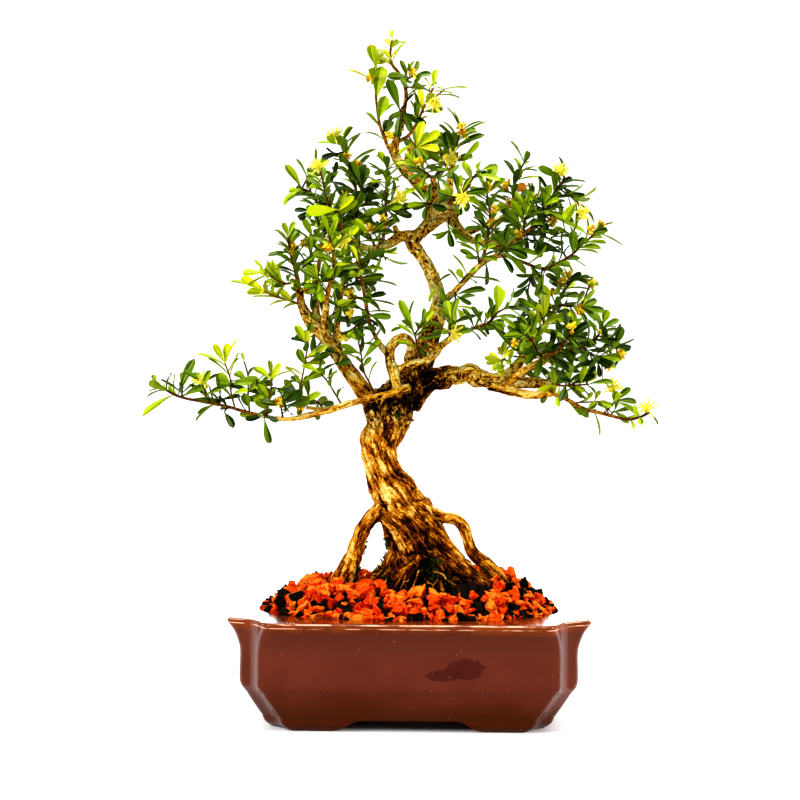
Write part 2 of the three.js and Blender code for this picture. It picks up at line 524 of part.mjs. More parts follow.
// Sprays: stems with their leaves, buds and open blooms. Each row names its spray and the age of its growth,
// then gives the stem's radius and way, the leaves, the flower heads and how many more pairs of leaves it has
// all round. A leaf is its share of the way along the stem, its tip as drawn, how far its blade turns from
// facing the front, and where they aren't the usual ones, its length and its width.
const SPRAYS = [
  // The long low branch on the left.
  ['low_left_end', 'mid', 1.8, [[-93.6, 202.9, -23], [-112, 207, -22], [-128, 211.5, -21], [-143, 214.3, -20],
    [-158, 217.5, -18], [-167, 221.5, -17], [-175, 227, -16]],
    [[0.83, -185, 205, 50], [0.93, -180, 222, 75], [0.9, -165, 234, 85], [1, -178, 233, 20, 8],
      [0.8, -149, 244, 25, 25], [0.77, -139, 226, 30], [0.7, -131, 213, 40]], [], 2],
  ['low_left_end', 'mid', 0.9, [[-138, 213, -20], [-141, 219, -24], [-143, 225, -28]],
    [[0.5, -129, 224, 50], [0.8, -149, 235, 35], [0.9, -138, 236, 35], [0.2, -152, 227, 60]],
    [['bloom', -143, 228, -29]], 0],
  ['low_left_end', 'new', 0.9, [[-121, 209.5, -21.5], [-124, 222, -24], [-124.5, 231, -25],
      [-128, 241, -26]],
    [[1, -136, 254, 15, 15], [1, -126, 255, 15, 15], [0.95, -147, 247, 70], [0.97, -119, 257, 70],
      [0.75, -140, 244, 80], [0.7, -118, 249, 80], [0.45, -132, 234, 20], [0.4, -117, 229, 50],
      [0.3, -112, 222, 60]], [], 0],
  ['low_left_end', 'old', 0.9, [[-124, 210.5, -21], [-127, 209.5, -26], [-128.5, 207, -29]],
    [[1, -122, 197, 30, 16], [0.4, -132, 218, 60, 10]], [], 0],
  ['low_left_end', 'mid', 0.9, [[-111, 206.8, -22], [-112, 220, -18], [-112, 232, -17], [-115, 243, -17]],
    [[0.1, -115, 220, 0, 15, 1.3], [0.45, -128, 226, 70], [0.4, -104, 230, 10], [0.7, -106, 239, 50],
      [0.95, -117, 248, 60, 9], [0.6, -121, 235, 20], [0.3, -101, 218, 50]], [], 0],
  ['low_left_gold', 'new', 1, [[-99, 203.2, -23], [-98, 213, -29], [-96, 224, -32], [-96, 231, -33]],
    [[0.5, -105, 226, 10], [0.35, -103, 229, 60], [0.2, -108, 216, 40], [0.4, -95, 224, 10, 14],
      [1, -89, 240, 30], [0.95, -107, 238, 30], [1, -98, 243, 50, 13]], [], 0],
  ['low_left_pair', 'old', 1, [[-88, 202.7, -23], [-89, 209, -27], [-90, 213, -29]],
    [[0.9, -74, 221.5, 15, 17, 1.2], [1, -81, 225, 30], [0.9, -104, 214, 25], [0.6, -82, 206, 70]],
    [['buds', -90, 213.5, -31]], 0],
  ['low_left_up', 'new', 1.1, [[-76, 203.9, -23], [-76, 215, -20], [-75.5, 226, -18], [-73, 240, -17],
    [-71, 252, -16]],
    [[0.2, -62, 220, 35], [0.45, -81, 232, 30], [0.5, -59, 237, 5, 20, 1.2], [0.5, -84, 228, 50],
      [0.75, -78, 251, 10], [0.75, -59, 242, 30], [0.85, -57, 253, 30], [1, -79, 267, 20],
      [1, -70, 263, 30],
      [0.6, -86, 239, 80]], [['buds', -76, 211, -20]], 0],
  ['low_left_back', 'mid', 1.1, [[-60, 209.7, -18], [-64, 214, -8], [-70, 217, 3], [-78, 219, 12]],
    [[1, -92, 222, 50], [0.7, -72, 229, 40]], [], 3],
  ['limb_low', 'mid', 1, [[-47, 211.8, -22.5], [-52, 220, -24], [-57, 228, -25], [-62, 234, -26]],
    [[0.6, -54, 238, 60, 11], [1, -75, 240, 40, 15], [0.8, -51, 235, 70, 10], [1, -60, 245, 50, 12]],
      [], 0],
  ['limb_mid', 'old', 1, [[-52, 249, -8], [-49, 246, -13], [-51, 240, -17]],
    [[1, -41, 243, 15, 12, 1.2], [0.5, -38, 249, 70, 16], [0.9, -60, 236, 60, 11],
      [0.4, -61, 253, 20, 14]],
    [], 0],
  // The cluster on the left limb.
  ['left_far', 'new', 1.2, [[-75, 281, -2], [-84, 284.5, -8], [-93, 287, -14], [-102, 291.5, -18]],
    [[1, -117, 300, 15, 17, 1.2], [0.95, -112, 296, 30], [0.95, -125, 298, 75, 24], [0.1, -88, 278, 60],
      [0.5, -109, 287, 80], [0.35, -98, 281, 70], [0.25, -90, 290, 20]], [], 1],
  ['left_upper', 'mid', 2.3, [[-76.7, 292.6, -3], [-79.5, 306, -5], [-82.5, 317, -7], [-84.5, 328, -10]],
    [[0.7, -98, 315, 50], [0.8, -78, 334, 10, 17, 1.2], [1, -88, 338, 30, 12], [0.97, -80, 339, 30, 13],
      [0.75, -92, 323, 80, 12], [0.95, -94, 333, 80, 13], [0.6, -93, 306, 60], [0.5, -66, 308, 50]],
    [['buds', -81, 320, -10]], 0],
  ['left_upper', 'new', 1.1, [[-77.5, 297, -4], [-87, 296, -11], [-95, 300, -14], [-101, 303.5, -15]],
    [[0.45, -98, 311, 10, 19, 1.2], [1, -116, 303, 20, 16], [1, -108, 312, 60, 11],
      [0.3, -83, 303, 30, 13],
      [0.8, -96, 290, 70, 13]], [], 0],
  ['left_upper', 'mid', 1.1, [[-79, 304, -5], [-72, 309, -2], [-68.5, 318, 0], [-67, 327, 1]],
    [[0.6, -69, 334, 10, 15], [0.5, -57, 322, 50], [1, -74, 341, 20, 16], [0.3, -64, 304, 20, 14],
      [0.15, -66, 315, 50], [0.9, -59, 337, 50]], [['buds', -73, 324, -2]], 0],
  ['left_behind', 'mid', 2.3, [[-65, 299.6, 9.6], [-62, 316, 15], [-60, 331, 19], [-62, 345, 23],
      [-67, 357, 25],
    [-75, 361.5, 22]],
    [[1, -86, 378, 20], [1, -88, 351, 35], [0.9, -71, 376, 60, 16], [0.75, -54, 358, 30],
      [0.3, -75, 323, 50]],
    [], 2],
  ['left_behind', 'old', 1.1, [[-60, 329, 18.5], [-53, 335, 26], [-47, 341, 33]],
    [[1, -38, 353, 40], [0.8, -58, 350, 40]], [['buds', -53, 338, 28]], 3],
  ['left_arm_end', 'mid', 2, [[-42.6, 327.6, -6.8], [-52, 342, -12], [-57, 352, -14], [-60, 365, -17]],
    [[1, -61, 379, 15, 14], [0.95, -70, 363, 30, 13], [0.9, -50, 373, 40], [0.7, -73, 355, 60, 16],
      [0.97, -72, 373, 60, 15]], [['bloom', -63, 376, -20]], 0],
  ['left_arm_end', 'new', 1, [[-51, 340.5, -11.5], [-50.5, 344, -17], [-50, 347, -21]],
    [[1, -72, 346, 5, 22, 1.3], [0.6, -66, 335, 30, 18], [0.7, -39, 356, 30], [0.3, -44, 333, 60]], [],
      0],
  ['left_arm_end', 'old', 1, [[-56.5, 351, -14], [-63, 350, -16], [-69, 346.5, -17]],
    [[1, -80, 346, 30, 12], [0.5, -56, 361, 30], [0.9, -64, 335, 60]], [], 0],
  ['left_crown', 'mid', 2, [[-35.5, 322.5, -4], [-37, 338, 5], [-37, 355, 10], [-40, 372, 12],
      [-44, 382, 12],
    [-48, 392, 13]],
    [[1, -58, 399, 20, 13], [1, -41, 405, 50, 15], [0.97, -34, 400, 80, 16], [0.85, -57, 385, 40, 15],
      [0.8, -24, 389, 60, 18], [0.75, -32, 377, 10, 18]],
    [['bloom', -52, 397, 13], ['buds', -44, 384, 10], ['buds', -37, 378, 9]], 0],
  ['left_crown', 'old', 1.1, [[-37, 353, 9.5], [-34, 358, 5], [-34, 364, 2]],
    [[1, -42, 380, 5, 18, 1.3], [0.7, -29, 376, 10], [0.3, -27, 350, 50], [0.5, -50, 361, 30],
      [0.2, -22, 357, 50], [0.6, -20, 367, 60]], [['buds', -45, 357, 2]], 0],
  ['left_crown', 'mid', 1.1, [[-37, 337, 5], [-39, 340, -2], [-41, 343, -6]],
    [[1, -34, 360, 0, 18, 1.7], [0.8, -18, 333, 50, 24], [0.5, -54, 337, 30], [0.9, -54, 351, 40, 15],
      [0.3, -28, 342, 20]], [], 0],
  ['left_stem', 'mid', 1.9, [[-20, 321.4, -1], [-17.5, 336, -7], [-17, 351, -10], [-16.5, 365, -10],
    [-16, 377, -11]],
    [[1, -22, 387, 15, 12, 1.2], [0.95, -10, 377, 60, 12], [0.85, -8, 367, 60, 11],
      [0.9, -28, 377, 70, 15],
      [0.8, -28, 366, 60, 14]], [], 0],
  ['left_stem', 'mid', 1, [[-17.2, 345, -9], [-15, 350, -13], [-12, 353, -16]],
    [[1, 4, 361, 50], [0.6, -24, 358, 50, 12], [0.2, -1, 344, 45, 17], [0.1, -29, 342, 50],
      [0.2, -8, 338, 45, 13]], [['bloom', -9, 354.5, -18], ['buds', -18, 341, -12]], 0],
  ['left_open_bloom', 'mid', 1.3, [[-40, 325.8, -6], [-43, 323, -15], [-45, 324, -22]],
    [[1, -36, 336, 20, 15, 1.2], [0.8, -56, 333, 50, 14], [0.7, -56, 319, 60, 13], [0.5, -31, 314, 50]],
    [['bloom', -45.5, 325, -25]], 0],
  ['arm_left', 'mid', 1.3, [[-24, 320.5, -1.5], [-27, 327, -6], [-29, 331, -11]],
    [[0.9, -11, 331, 60], [0.7, -8, 341, 50, 21], [1, -38, 340, 40], [0.4, -16, 326, 70, 13]],
    [['buds', -28, 334, -12]], 0],
  ['thin_stem', 'mid', 2.1, [[-22.8, 256.6, -16], [-28, 268, -15], [-30.5, 281, -14], [-33.5, 298, -11],
    [-37, 316, -8], [-35, 325, -9]],
    [[0.85, -9, 317, 60, 26], [0.83, -20, 312, 60, 17], [1, -20, 325, 60, 15], [0.93, -50, 315, 40, 15],
      [0.97, -38, 336, 30, 13], [0.6, -9, 294, 80, 24], [0.62, -18, 301, 40, 17], [0.3, -13, 276, 80, 18],
      [0.3, -17, 261, 60, 15]], [], 0],
  ['thin_stem', 'new', 1, [[-33.8, 299.5, -10.8], [-34.5, 306, -16], [-36, 311, -20]],
    [[0.5, -19, 306, 60, 17], [0.1, -43, 303, 20, 11, 1.2], [0.2, -35, 305, 20, 11, 1.2],
      [0.6, -52, 309, 30, 17], [1, -41, 322, 50, 13]], [], 0],
  ['thin_stem', 'mid', 1, [[-31.3, 285, -13.3], [-35, 286.5, -17], [-39, 285, -21]],
    [[0.15, -17, 289, 40, 17], [0.4, -27, 284, 10, 14, 1.3], [0.2, -11, 281, 80, 20],
      [0.5, -21, 278, 50, 19],
      [1, -50, 281, 30, 15, 1.2], [0.8, -46, 293, 40, 14]],
    [['buds', -42, 289.5, -21], ['buds', -41, 276, -20]], 0],
  ['thin_stem', 'old', 1, [[-29.5, 275, -14.4], [-33, 271, -18], [-37, 267, -21]],
    [[0.5, -36, 257, 20, 15, 1.2], [1, -50, 271, 50, 15], [0.8, -44, 257, 20, 13],
      [0.3, -22, 266, 60, 13]],
    [['buds', -46, 260, -20]], 0],
  ['shoot_between', 'mid', 1.1, [[-24, 217.5, -21], [-28, 227, -22], [-32.5, 236, -22], [-34, 247, -21],
    [-36, 256, -20]],
    [[0.55, -27, 245, 30, 9, 1.2], [0.6, -38, 246, 50, 8], [0.65, -21, 258, 50, 15],
      [0.8, -46, 250, 20, 14],
      [1, -43, 262, 40, 12], [1, -33, 268, 40, 13]], [], 0],
  ['left_front', 'mid', 2.3, [[-58.3, 281.6, -25], [-55, 299, -35], [-52.5, 313, -41], [-56, 329, -47]],
    [[1, -62, 343, 50], [0.8, -42, 328, 60], [0.65, -67, 316, 30, 17, 1.2], [0.7, -44, 312, 30],
      [0.9, -50, 341, 50], [0.5, -41, 305, 50]], [['buds', -57, 322, -47]], 1],
  ['left_front', 'mid', 1.1, [[-57, 289, -29.5], [-61, 294, -36], [-64, 299, -41]],
    [[1, -72, 308, 40], [0.8, -54, 309, 50], [0.5, -73, 293, 50], [0.3, -50, 296, 20],
      [0.9, -62, 283, 30]],
    [], 0],
  ['left_inner', 'mid', 1.2, [[-65.3, 290, 6], [-70, 289, 0], [-74, 291, -6]],
    [[1, -83, 298, 40], [0.7, -70, 304, 30], [0.4, -68, 278, 50, 14], [0.9, -83, 284, 40],
      [0.5, -59, 292, 30, 13]], [['buds', -72, 293, -6]], 0],
  ['left_low', 'mid', 1.3, [[-66, 267, -3], [-58, 272, -9], [-50, 277, -12]],
    [[0.5, -43, 270, 60, 20], [0.4, -62, 288, 40], [1, -37, 283, 30], [0.9, -52, 291, 40],
      [0.6, -54, 262, 50], [0.3, -75, 276, 50, 15]], [], 0],
  ['left_rear', 'mid', 2.4, [[-49.3, 278.5, 26.8], [-46, 299, 42], [-44, 316, 52], [-47, 330, 60]],
    [[1, -38, 342, 40], [0.8, -58, 333, 40]], [['buds', -48, 331, 63]], 4],
  ['left_rear', 'old', 1.2, [[-47, 293, 38], [-40, 296, 48], [-34, 301, 57]],
    [[1, -24, 308, 50]], [], 3],
  // The crown: the leader's tip and the shoots around it.
  ['leader', 'new', 2, [[-4.4, 414.6, -1], [-3, 427, -1], [-5.5, 437, -2], [-9, 442.5, -2], [-12, 446, -3],
    [-14, 451, -3], [-13.5, 459, -4], [-12.5, 464, -4]],
    [[0.72, -18, 462, 30, 12], [0.7, -23, 448, 30, 11], [0.88, -8, 464, 20, 9, 1.3],
      [0.9, -17, 465, 20, 9, 1.3],
      [0.95, -3, 462, 70, 11], [1, -12, 471, 40, 8], [0.75, -9, 457, 60, 9]], [], 0],
  ['leader', 'mid', 1.1, [[-5, 435, -2], [-2, 437, -5], [1, 438.5, -8]],
    [[0.8, -16, 438.5, 10, 18, 1.1], [1, 14.5, 440.5, 30, 14, 1.1], [0.5, -7, 450, 40, 12],
      [0.7, -1.5, 448, 50, 10]], [['buds', 2, 441, -9]], 0],
  ['leader', 'old', 1.1, [[-3.8, 419, -1], [-6, 417, -6], [-7, 414.5, -10]],
    [[1, -16, 437, 15, 23, 1.1], [0.8, -15, 408, 35, 12, 1.1], [0.6, 0, 400, 25, 17],
      [0.4, 3, 427, 60, 14]],
    [], 0],
  ['left_shoot', 'new', 1.6, [[-16.3, 392, -2.7], [-21, 405, -5], [-23.3, 419, -5], [-24.2, 433, -5.5],
    [-24.5, 446, -6]],
    [[1, -27.5, 461, 5, 15, 1.3], [1, -20.5, 463, 5, 16, 1.3], [0.58, -20, 446, 5, 20, 1.4],
      [0.33, -17, 428, 10, 18, 1.3], [0.1, -14, 409, 10, 14, 1.4], [0.35, -11, 420, 60, 13],
      [0.8, -44, 444, 75, 22], [0.05, -31, 401, 80, 15], [0.2, -31, 414, 60, 12]],
    [['buds', -27, 438, -6], ['buds', -15, 398, -8]], 0],
  ['right_shoot', 'new', 1.8, [[-8, 394, -1], [-1, 398.5, -5], [5, 408, -7], [9, 417, -9], [13, 426, -10],
    [16, 431, -11]],
    [[1, 17.5, 444, 20, 13], [0.62, 6, 430, 20, 13], [0.4, 4, 422, 15, 15], [0.95, 10, 438, 80, 13],
      [0.35, 12, 412, 60, 9]], [['bloom', 16, 421, -12]], 0],
  ['right_shoot', 'new', 0.8, [[12, 423.5, -9.8], [18, 425.5, -12], [24, 430.5, -14]],
    [[1, 39.5, 431.5, 70, 16], [0.9, 17, 432, 60, 8]], [], 0],
  ['right_shoot', 'new', 1, [[-1.5, 398, -5], [2, 393, -12], [5, 390, -17]],
    [[0.9, 9, 408, 20, 18, 1.2], [1, 20.5, 401, 25, 17, 1.2], [1, 20, 391, 30, 16, 1.2],
      [0.8, 12, 383, 40, 14],
      [0.6, -8, 385, 50, 13]], [], 0],
  ['crown_rear', 'mid', 1.8, [[0.6, 389.7, 20.6], [5, 390, 33], [10, 387, 42]],
    [[1, 20, 394, 40]], [], 4],
  ['crown_stem', 'mid', 1.8, [[29.2, 377.6, 4], [30.7, 388, 4], [33, 396, 3], [35, 402, 2]],
    [[0.45, 51, 399, 40, 20], [0.7, 23, 408, 70, 14], [0.75, 52, 408, 70, 19], [1, 30, 415, 75, 12],
      [0.1, 24, 401, 15, 20, 1.5], [0.3, 19, 394, 30, 15], [0.1, 41, 384, 20, 13, 1.3]],
    [['buds', 35, 404, 1], ['buds', 36, 399, 1], ['bloom', 28.6, 382, -1.5]], 0],
  ['crown_right', 'mid', 1.3, [[40.7, 365.6, -13.6], [45, 371, -19], [49, 374, -22]],
    [[1, 60, 377, 30, 14], [0.8, 47, 380, 40, 11], [0.2, 36, 380, 20, 14], [0.1, 25, 370, 50, 17],
      [0.6, 62, 367, 40]], [], 0],
  ['crown_front', 'mid', 1.5, [[15.1, 368.8, -24.7], [10, 373, -31], [5, 376, -34]],
    [[1, -10, 379, 60, 15], [0.7, 20, 379, 70, 14], [0.4, 8, 362, 50], [0.5, 27, 374, 60],
      [1, -4, 386, 40, 13], [0.3, 0, 368, 60], [0.2, 26, 364, 60]], [['buds', 6, 379, -34]], 0],
  ['crown_front_right', 'mid', 1.5, [[26, 351, -5], [31, 356, -17], [36, 358, -27]],
    [[1, 51, 357, 50, 16], [0.8, 40, 346, 20, 15, 1.2], [0.5, 22, 365, 50], [0.9, 42, 370, 50, 14],
      [0.4, 20, 351, 60, 15], [0.7, 30, 373, 40]], [['bloom', 36, 356, -30]], 0],
  ['crown_rear_right', 'mid', 1.6, [[28, 371, 38.5], [23, 380, 50], [20, 387, 56]],
    [[1, 10, 394, 40]], [['buds', 22, 386, 57]], 4],
  ['knot_left', 'mid', 1.2, [[16, 351, -5], [12, 351, -12], [9, 352, -16]],
    [[0.6, -2, 349, 40, 16], [1, -4, 362, 60, 16], [0.8, 3, 365, 40, 15], [0.3, 15, 366, 30, 14]], [], 0],
  ['knot_below', 'mid', 0.9, [[27, 341.5, -1], [26, 336, -5], [27, 332, -7]],
    [[1, 17.5, 327, 20, 12], [0.6, 32, 326, 60, 9]], [], 0],
  // The upper right.
  ['rise_small', 'mid', 1.1, [[34, 294.5, -5.8], [37, 300, -10], [40, 303, -13]],
    [[0.5, 32, 306, 10, 11, 1.2], [1, 47, 307, 30, 9, 1.2], [0.1, 26, 306, 75, 15],
      [0.7, 62, 297, 75, 23],
      [0.9, 29, 316, 75, 17]], [], 0],
  ['rise_low', 'mid', 1.1, [[31, 291.5, -5], [31, 286, -10], [32, 279, -14]],
    [[0.3, 52, 292, 40, 21], [0.6, 44, 288, 50], [1, 37, 271, 30, 13], [0.8, 22, 281, 60],
      [1, 29, 265, 20, 14],
      [0.9, 47, 276, 70]], [], 0],
  ['rise_up', 'mid', 1.8, [[49, 310, -8], [53, 326, -12], [55, 343, -14], [54, 351, -15],
      [52.5, 359, -15]],
    [[1, 58, 379, 15, 18, 1.3], [0.75, 44, 347, 60, 12], [0.78, 54, 356, 5, 13, 1.2],
      [0.97, 65, 369, 30, 15],
      [0.9, 41, 363, 40, 14], [0.85, 63, 352, 50], [1, 45, 374, 50], [0.7, 41, 354, 50, 16],
      [0.45, 44, 346, 20, 18], [0.5, 37, 333, 50, 16]],
    [['buds', 53, 362, -17], ['buds', 56, 338, -16], ['buds', 58, 347, -16]], 0],
  ['east_fan', 'old', 2.2, [[65.6, 323, -0.3], [77, 329, -5], [87, 338, -9], [95, 349, -12], [99, 358, -14],
    [104, 365, -16], [107, 368.5, -17]],
    [[0.97, 88, 376, 40, 20], [0.9, 116, 352, 30, 18], [0.75, 90, 361, 50], [0.6, 99, 336, 50, 15],
      [0.7, 82, 352, 40], [0.8, 104, 343, 40], [0.55, 93, 330, 40]],
    [['bloom', 104, 372, -18], ['buds', 98, 339, -12]], 0],
  ['east_fan', 'mid', 1.2, [[77.5, 329.5, -5.2], [78, 336, -11], [80, 343, -15]],
    [[0.9, 80, 361, 30, 19], [1, 85, 362, 40, 19], [0.6, 70, 353, 30, 18, 1.2],
      [0.4, 63, 348, 20, 19, 1.2],
      [0.5, 95, 338, 40], [0.3, 65, 336, 50], [1, 72, 359, 40]], [['buds', 76, 331, -11]], 0],
  ['east_fan', 'mid', 1.1, [[89, 340.5, -9.8], [90, 345, -15], [92, 350, -19]],
    [[1, 97, 364, 20, 18, 1.1], [0.8, 90, 363, 40, 16], [0.6, 113, 339, 40, 24], [0.5, 122, 330, 60, 38],
      [0.9, 102, 354, 50]], [], 0],
  ['east_fan', 'mid', 0.9, [[102, 362, -15.2], [109, 357, -18], [115, 352.5, -20]],
    [[1, 106, 340, 15, 16, 1.3], [1, 127, 335, 60, 23]], [['bloom', 118, 346, -21]], 0],
  ['east_top', 'mid', 1.6, [[75, 327.5, -4], [74, 340, 3], [71, 352, 7], [71, 362, 8], [74, 370, 7.5],
    [78.5, 380, 6]],
    [[1, 69, 394, 70, 19], [0.9, 72.5, 382, 40, 12], [0.97, 81, 385, 50, 8], [0.85, 86, 377, 70, 13],
      [0.65, 80, 363, 10, 13, 1.5], [0.6, 60, 360, 40, 14], [0.5, 84, 355, 30, 17], [0.4, 59, 350, 30]],
    [['buds', 67, 364, 6], ['buds', 70, 352, 4]], 0],
  ['east_reach', 'mid', 1.7, [[64.6, 315.7, -9], [78, 310.6, -11], [90, 306.4, -13], [98, 308.3, -14],
    [111, 315.6, -16], [118, 322.6, -17], [125, 328.5, -18], [129, 334, -19]],
    [[0.95, 136, 332, 20, 16, 1.2], [0.75, 131, 321, 35, 20], [0.68, 112, 333, 10, 19, 1.2],
      [0.72, 120, 330, 15, 13, 1.2], [1, 140, 338, 70, 11], [0.55, 117, 314, 40, 15],
      [0.5, 98, 315, 40, 9],
      [0.58, 112, 303, 60, 12], [0.25, 90, 297, 10, 14, 1.1], [0.97, 147, 322, 80, 21]],
    [['buds', 131, 336, -20], ['buds', 125, 333, -20]], 0],
  ['east_low', 'mid', 1.1, [[60, 315, -8.5], [63, 319, -14], [66, 321, -18]],
    [[0.9, 81, 314, 20, 17, 1.3], [0.6, 80, 303, 40, 21], [0.3, 70, 303, 40, 17], [0.8, 88, 316, 50, 20],
      [0.5, 50, 322, 50], [1, 76, 331, 50], [0.7, 56, 330, 50]], [], 0],
  ['east_low_left', 'mid', 1, [[47.5, 308.7, -8], [47, 314, -13], [46, 318, -16]],
    [[0.5, 38, 314.5, 20, 11], [1, 31, 325, 80, 17], [0.6, 60, 312, 50, 15]], [], 0],
  ['east_rear', 'mid', 1.8, [[60.6, 340, 30.5], [70, 344, 40], [77, 347, 46], [88, 354, 55]],
    [[1, 96, 362, 40], [0.3, 62, 352, 40]], [['buds', 86, 355, 57]], 4],
  ['east_rear_low', 'mid', 1.4, [[52, 336, 22], [58, 333, 30], [66, 327, 38]],
    [[1, 78, 322, 40]], [], 4],
  // The lower right limb.
  ['limb_yellow', 'new', 1.2, [[71.5, 237.5, 4.4], [66, 243, -5], [62, 243.5, -12]],
    [[1, 54, 247, 20, 10, 1.2], [1, 57, 236, 15, 9, 1.2], [0.9, 62, 232.5, 15, 11, 1.2],
      [0.7, 60, 251, 50, 11],
      [0.4, 71, 251, 40, 13]], [['buds', 64, 250, -6]], 0],
  ['limb_top', 'mid', 2.3, [[85.2, 256.7, 9.7], [94, 269, 11], [101, 281, 13], [106, 291, 10], [112, 299, 7]],
    [[0.95, 124, 301, 40, 13], [0.7, 117, 288, 30], [0.5, 88, 288, 40], [0.8, 96, 299, 20, 14, 1.2],
      [1, 130, 295, 40, 20], [0.9, 97, 311, 40, 16], [0.4, 84, 283, 40]],
    [['buds', 99, 290, 8], ['buds', 110, 301, 5], ['buds', 105, 297, 5]], 0],
  ['limb_top', 'new', 1.2, [[87.5, 260, 10], [89, 264, 3], [92, 269, -1]],
    [[1, 92, 295, 15, 26, 1.1], [1, 109, 273, 15, 18, 1.3], [0.6, 88, 282, 10, 19],
      [0.4, 105, 258, 50, 20],
      [0.8, 80, 278, 40], [0.4, 76, 268, 50]], [], 0],
  ['limb_top', 'mid', 1.1, [[101, 281, 13], [110, 280.5, 6], [118, 280, 0]],
    [[1, 129, 284, 20, 13, 1.3], [0.8, 120, 291, 40, 12], [0.5, 113, 270, 40], [0.9, 128, 270, 40]],
    [['buds', 116, 278, -2], ['buds', 124, 296, 2]], 0],
  ['limb_end', 'mid', 1.8, [[104.6, 249.1, -1.2], [119, 253, -7], [128, 258, -10], [133, 268, -13]],
    [[1, 136, 278, 15, 12, 1.4], [0.8, 122, 271, 50], [0.9, 144, 271, 30, 13],
      [0.75, 141, 256, 20, 14, 1.5],
      [0.95, 127, 276, 20, 11], [0.4, 114, 264, 50]], [['buds', 132, 263, -14]], 0],
  ['limb_end', 'old', 0.9, [[127, 257.5, -9.8], [136, 256, -14], [143, 252, -17]],
    [[0.9, 146, 266, 15, 16, 1.2], [1, 150, 247, 60, 9], [0.5, 133, 266, 20, 13]], [], 0],
  ['limb_end', 'mid', 1, [[119, 253, -7], [124, 248, -12], [131, 245.5, -16]],
    [[1, 146.5, 244, 25, 16, 1.3], [0.8, 142, 257, 50], [0.5, 117, 242, 40], [1, 136, 240, 50, 10]],
    [['buds', 145, 248, -19], ['buds', 137, 240, -18]], 0],
  ['limb_low_right', 'new', 1.4, [[98.6, 226.6, -7.1], [105, 225.5, -14], [110, 226, -19]],
    [[1, 129, 234, 15, 20, 1.3], [0.9, 111, 242, 15, 16], [0.8, 119, 217, 40, 14],
      [0.3, 94, 217.5, 0, 11, 2],
      [0.4, 102, 211, 50, 15], [0.6, 108, 215, 40, 12], [0.2, 87, 221, 40, 13]], [], 0],
  ['limb_low_right', 'mid', 0.8, [[109, 226, -18], [116, 226, -22], [123, 226.5, -25]],
    [[1, 140, 228, 50, 18], [0.9, 128, 220, 60, 9], [0.6, 121, 239, 50]], [], 0],
  ['trail', 'mid', 2.1, [[97.6, 220.3, -11.9], [108, 216, -14], [120, 209.5, -16], [134, 206, -17],
    [149, 202.3, -19], [158, 203.8, -20], [165, 207, -21]],
    [[0.9, 159, 199, 30, 11], [0.8, 154, 195, 40, 12], [0.87, 154, 212, 30, 10],
      [0.15, 123, 203.5, 25, 20],
      [0.13, 118, 205, 50, 16], [0.6, 131, 214, 60, 12], [1, 171, 199, 70, 11]],
    [['bloom', 164, 209, -21]], 0],
  ['trail', 'mid', 0.8, [[133, 206.2, -17], [138, 211, -20], [141, 215, -22]],
    [[0.9, 143, 224, 20, 10, 1.5], [1, 156, 214.5, 35, 16], [0.9, 152, 224, 30, 14],
      [1, 158, 205, 50, 20]],
    [['bloom', 140, 223, -24]], 0],
  ['trail', 'new', 0.8, [[112, 213.8, -14.7], [119, 214, -17], [127, 214.5, -20]],
    [[1, 131, 222, 40, 9], [1, 137, 213, 40, 10], [0.6, 126, 221, 40, 9]], [], 0],
  ['limb_front', 'old', 2.1, [[87, 241.3, -27.2], [95, 246.5, -35], [102, 250, -40], [110, 261, -52]],
    [[1, 118, 272, 50], [0.8, 98, 264, 40], [0.6, 113, 246, 40], [0.95, 104, 274, 50],
      [0.9, 122, 257, 40],
      [0.5, 100, 235, 50]], [['buds', 111, 265, -53]], 1],
  ['limb_front', 'mid', 1.2, [[91, 244, -31.5], [87, 250, -37], [84, 257, -42]],
    [[1, 75, 268, 40], [0.8, 95, 268, 40], [0.5, 74, 252, 40], [0.9, 88, 275, 50], [0.3, 80, 240, 50]],
    [['buds', 73, 255, -40]], 0],
  ['limb_rear', 'mid', 2.1, [[92.6, 242.2, 26.4], [106, 249, 41], [110, 256, 48], [113, 265, 54]],
    [[1, 106, 280, 40]], [['buds', 115, 267, 55]], 4],
  ['limb_rear_low', 'mid', 1.4, [[84, 238.3, 16.5], [82, 247, 26], [80, 256, 34]],
    [[1, 72, 268, 40]], [], 4],
  // The branch that crosses in front, the bright rosette and the leaves on the leading stem.
  ['front_reach', 'mid', 1.9, [[34.6, 261.8, -22.6], [45, 265.8, -29], [54, 269, -37], [60, 276, -47]],
    [[1, 60, 295, 15, 19, 1.2], [0.75, 54, 287, 50, 19], [0.65, 74, 249, 20, 26, 1.2],
      [0.7, 66, 267, 40, 14],
      [0.35, 50, 277, 60, 12], [0.3, 36, 279, 50, 14], [0.2, 48, 257, 80, 14], [0.5, 42, 280, 40, 13]],
      [], 0],
  ['front_low', 'mid', 1.1, [[27, 257.8, -19.8], [27, 264, -26], [28, 271, -30]],
    [[1, 33, 286, 30, 15], [0.8, 20, 279, 50, 14], [0.6, 38, 262, 20, 14, 1.3], [0.3, 15, 262, 40, 13]],
    [['bloom', 30, 262, -28]], 0],
  ['rosette', 'new', 1.3, [[8, 242.2, -16.8], [5, 252, -22], [3, 261, -26]],
    [[1, -7.5, 285, 5, 22, 1.2], [1, 15.5, 278, 10, 18, 1.2], [0.8, 21, 260, 30, 18],
      [0.6, 10, 246, 20, 12],
      [0.5, -10, 256, 40, 15], [0.9, -9, 268, 40, 13], [0.9, 14, 266, 40, 12]], [], 0],
  ['stem_leaves', 'mid', 0.9, [[17, 296.5, -3], [18, 296, -8], [18.5, 295, -11]],
    [[0.8, 25, 283, 15, 15], [1, 13, 283, 50, 14], [0.5, 28, 303, 60, 12]], [], 0],
];

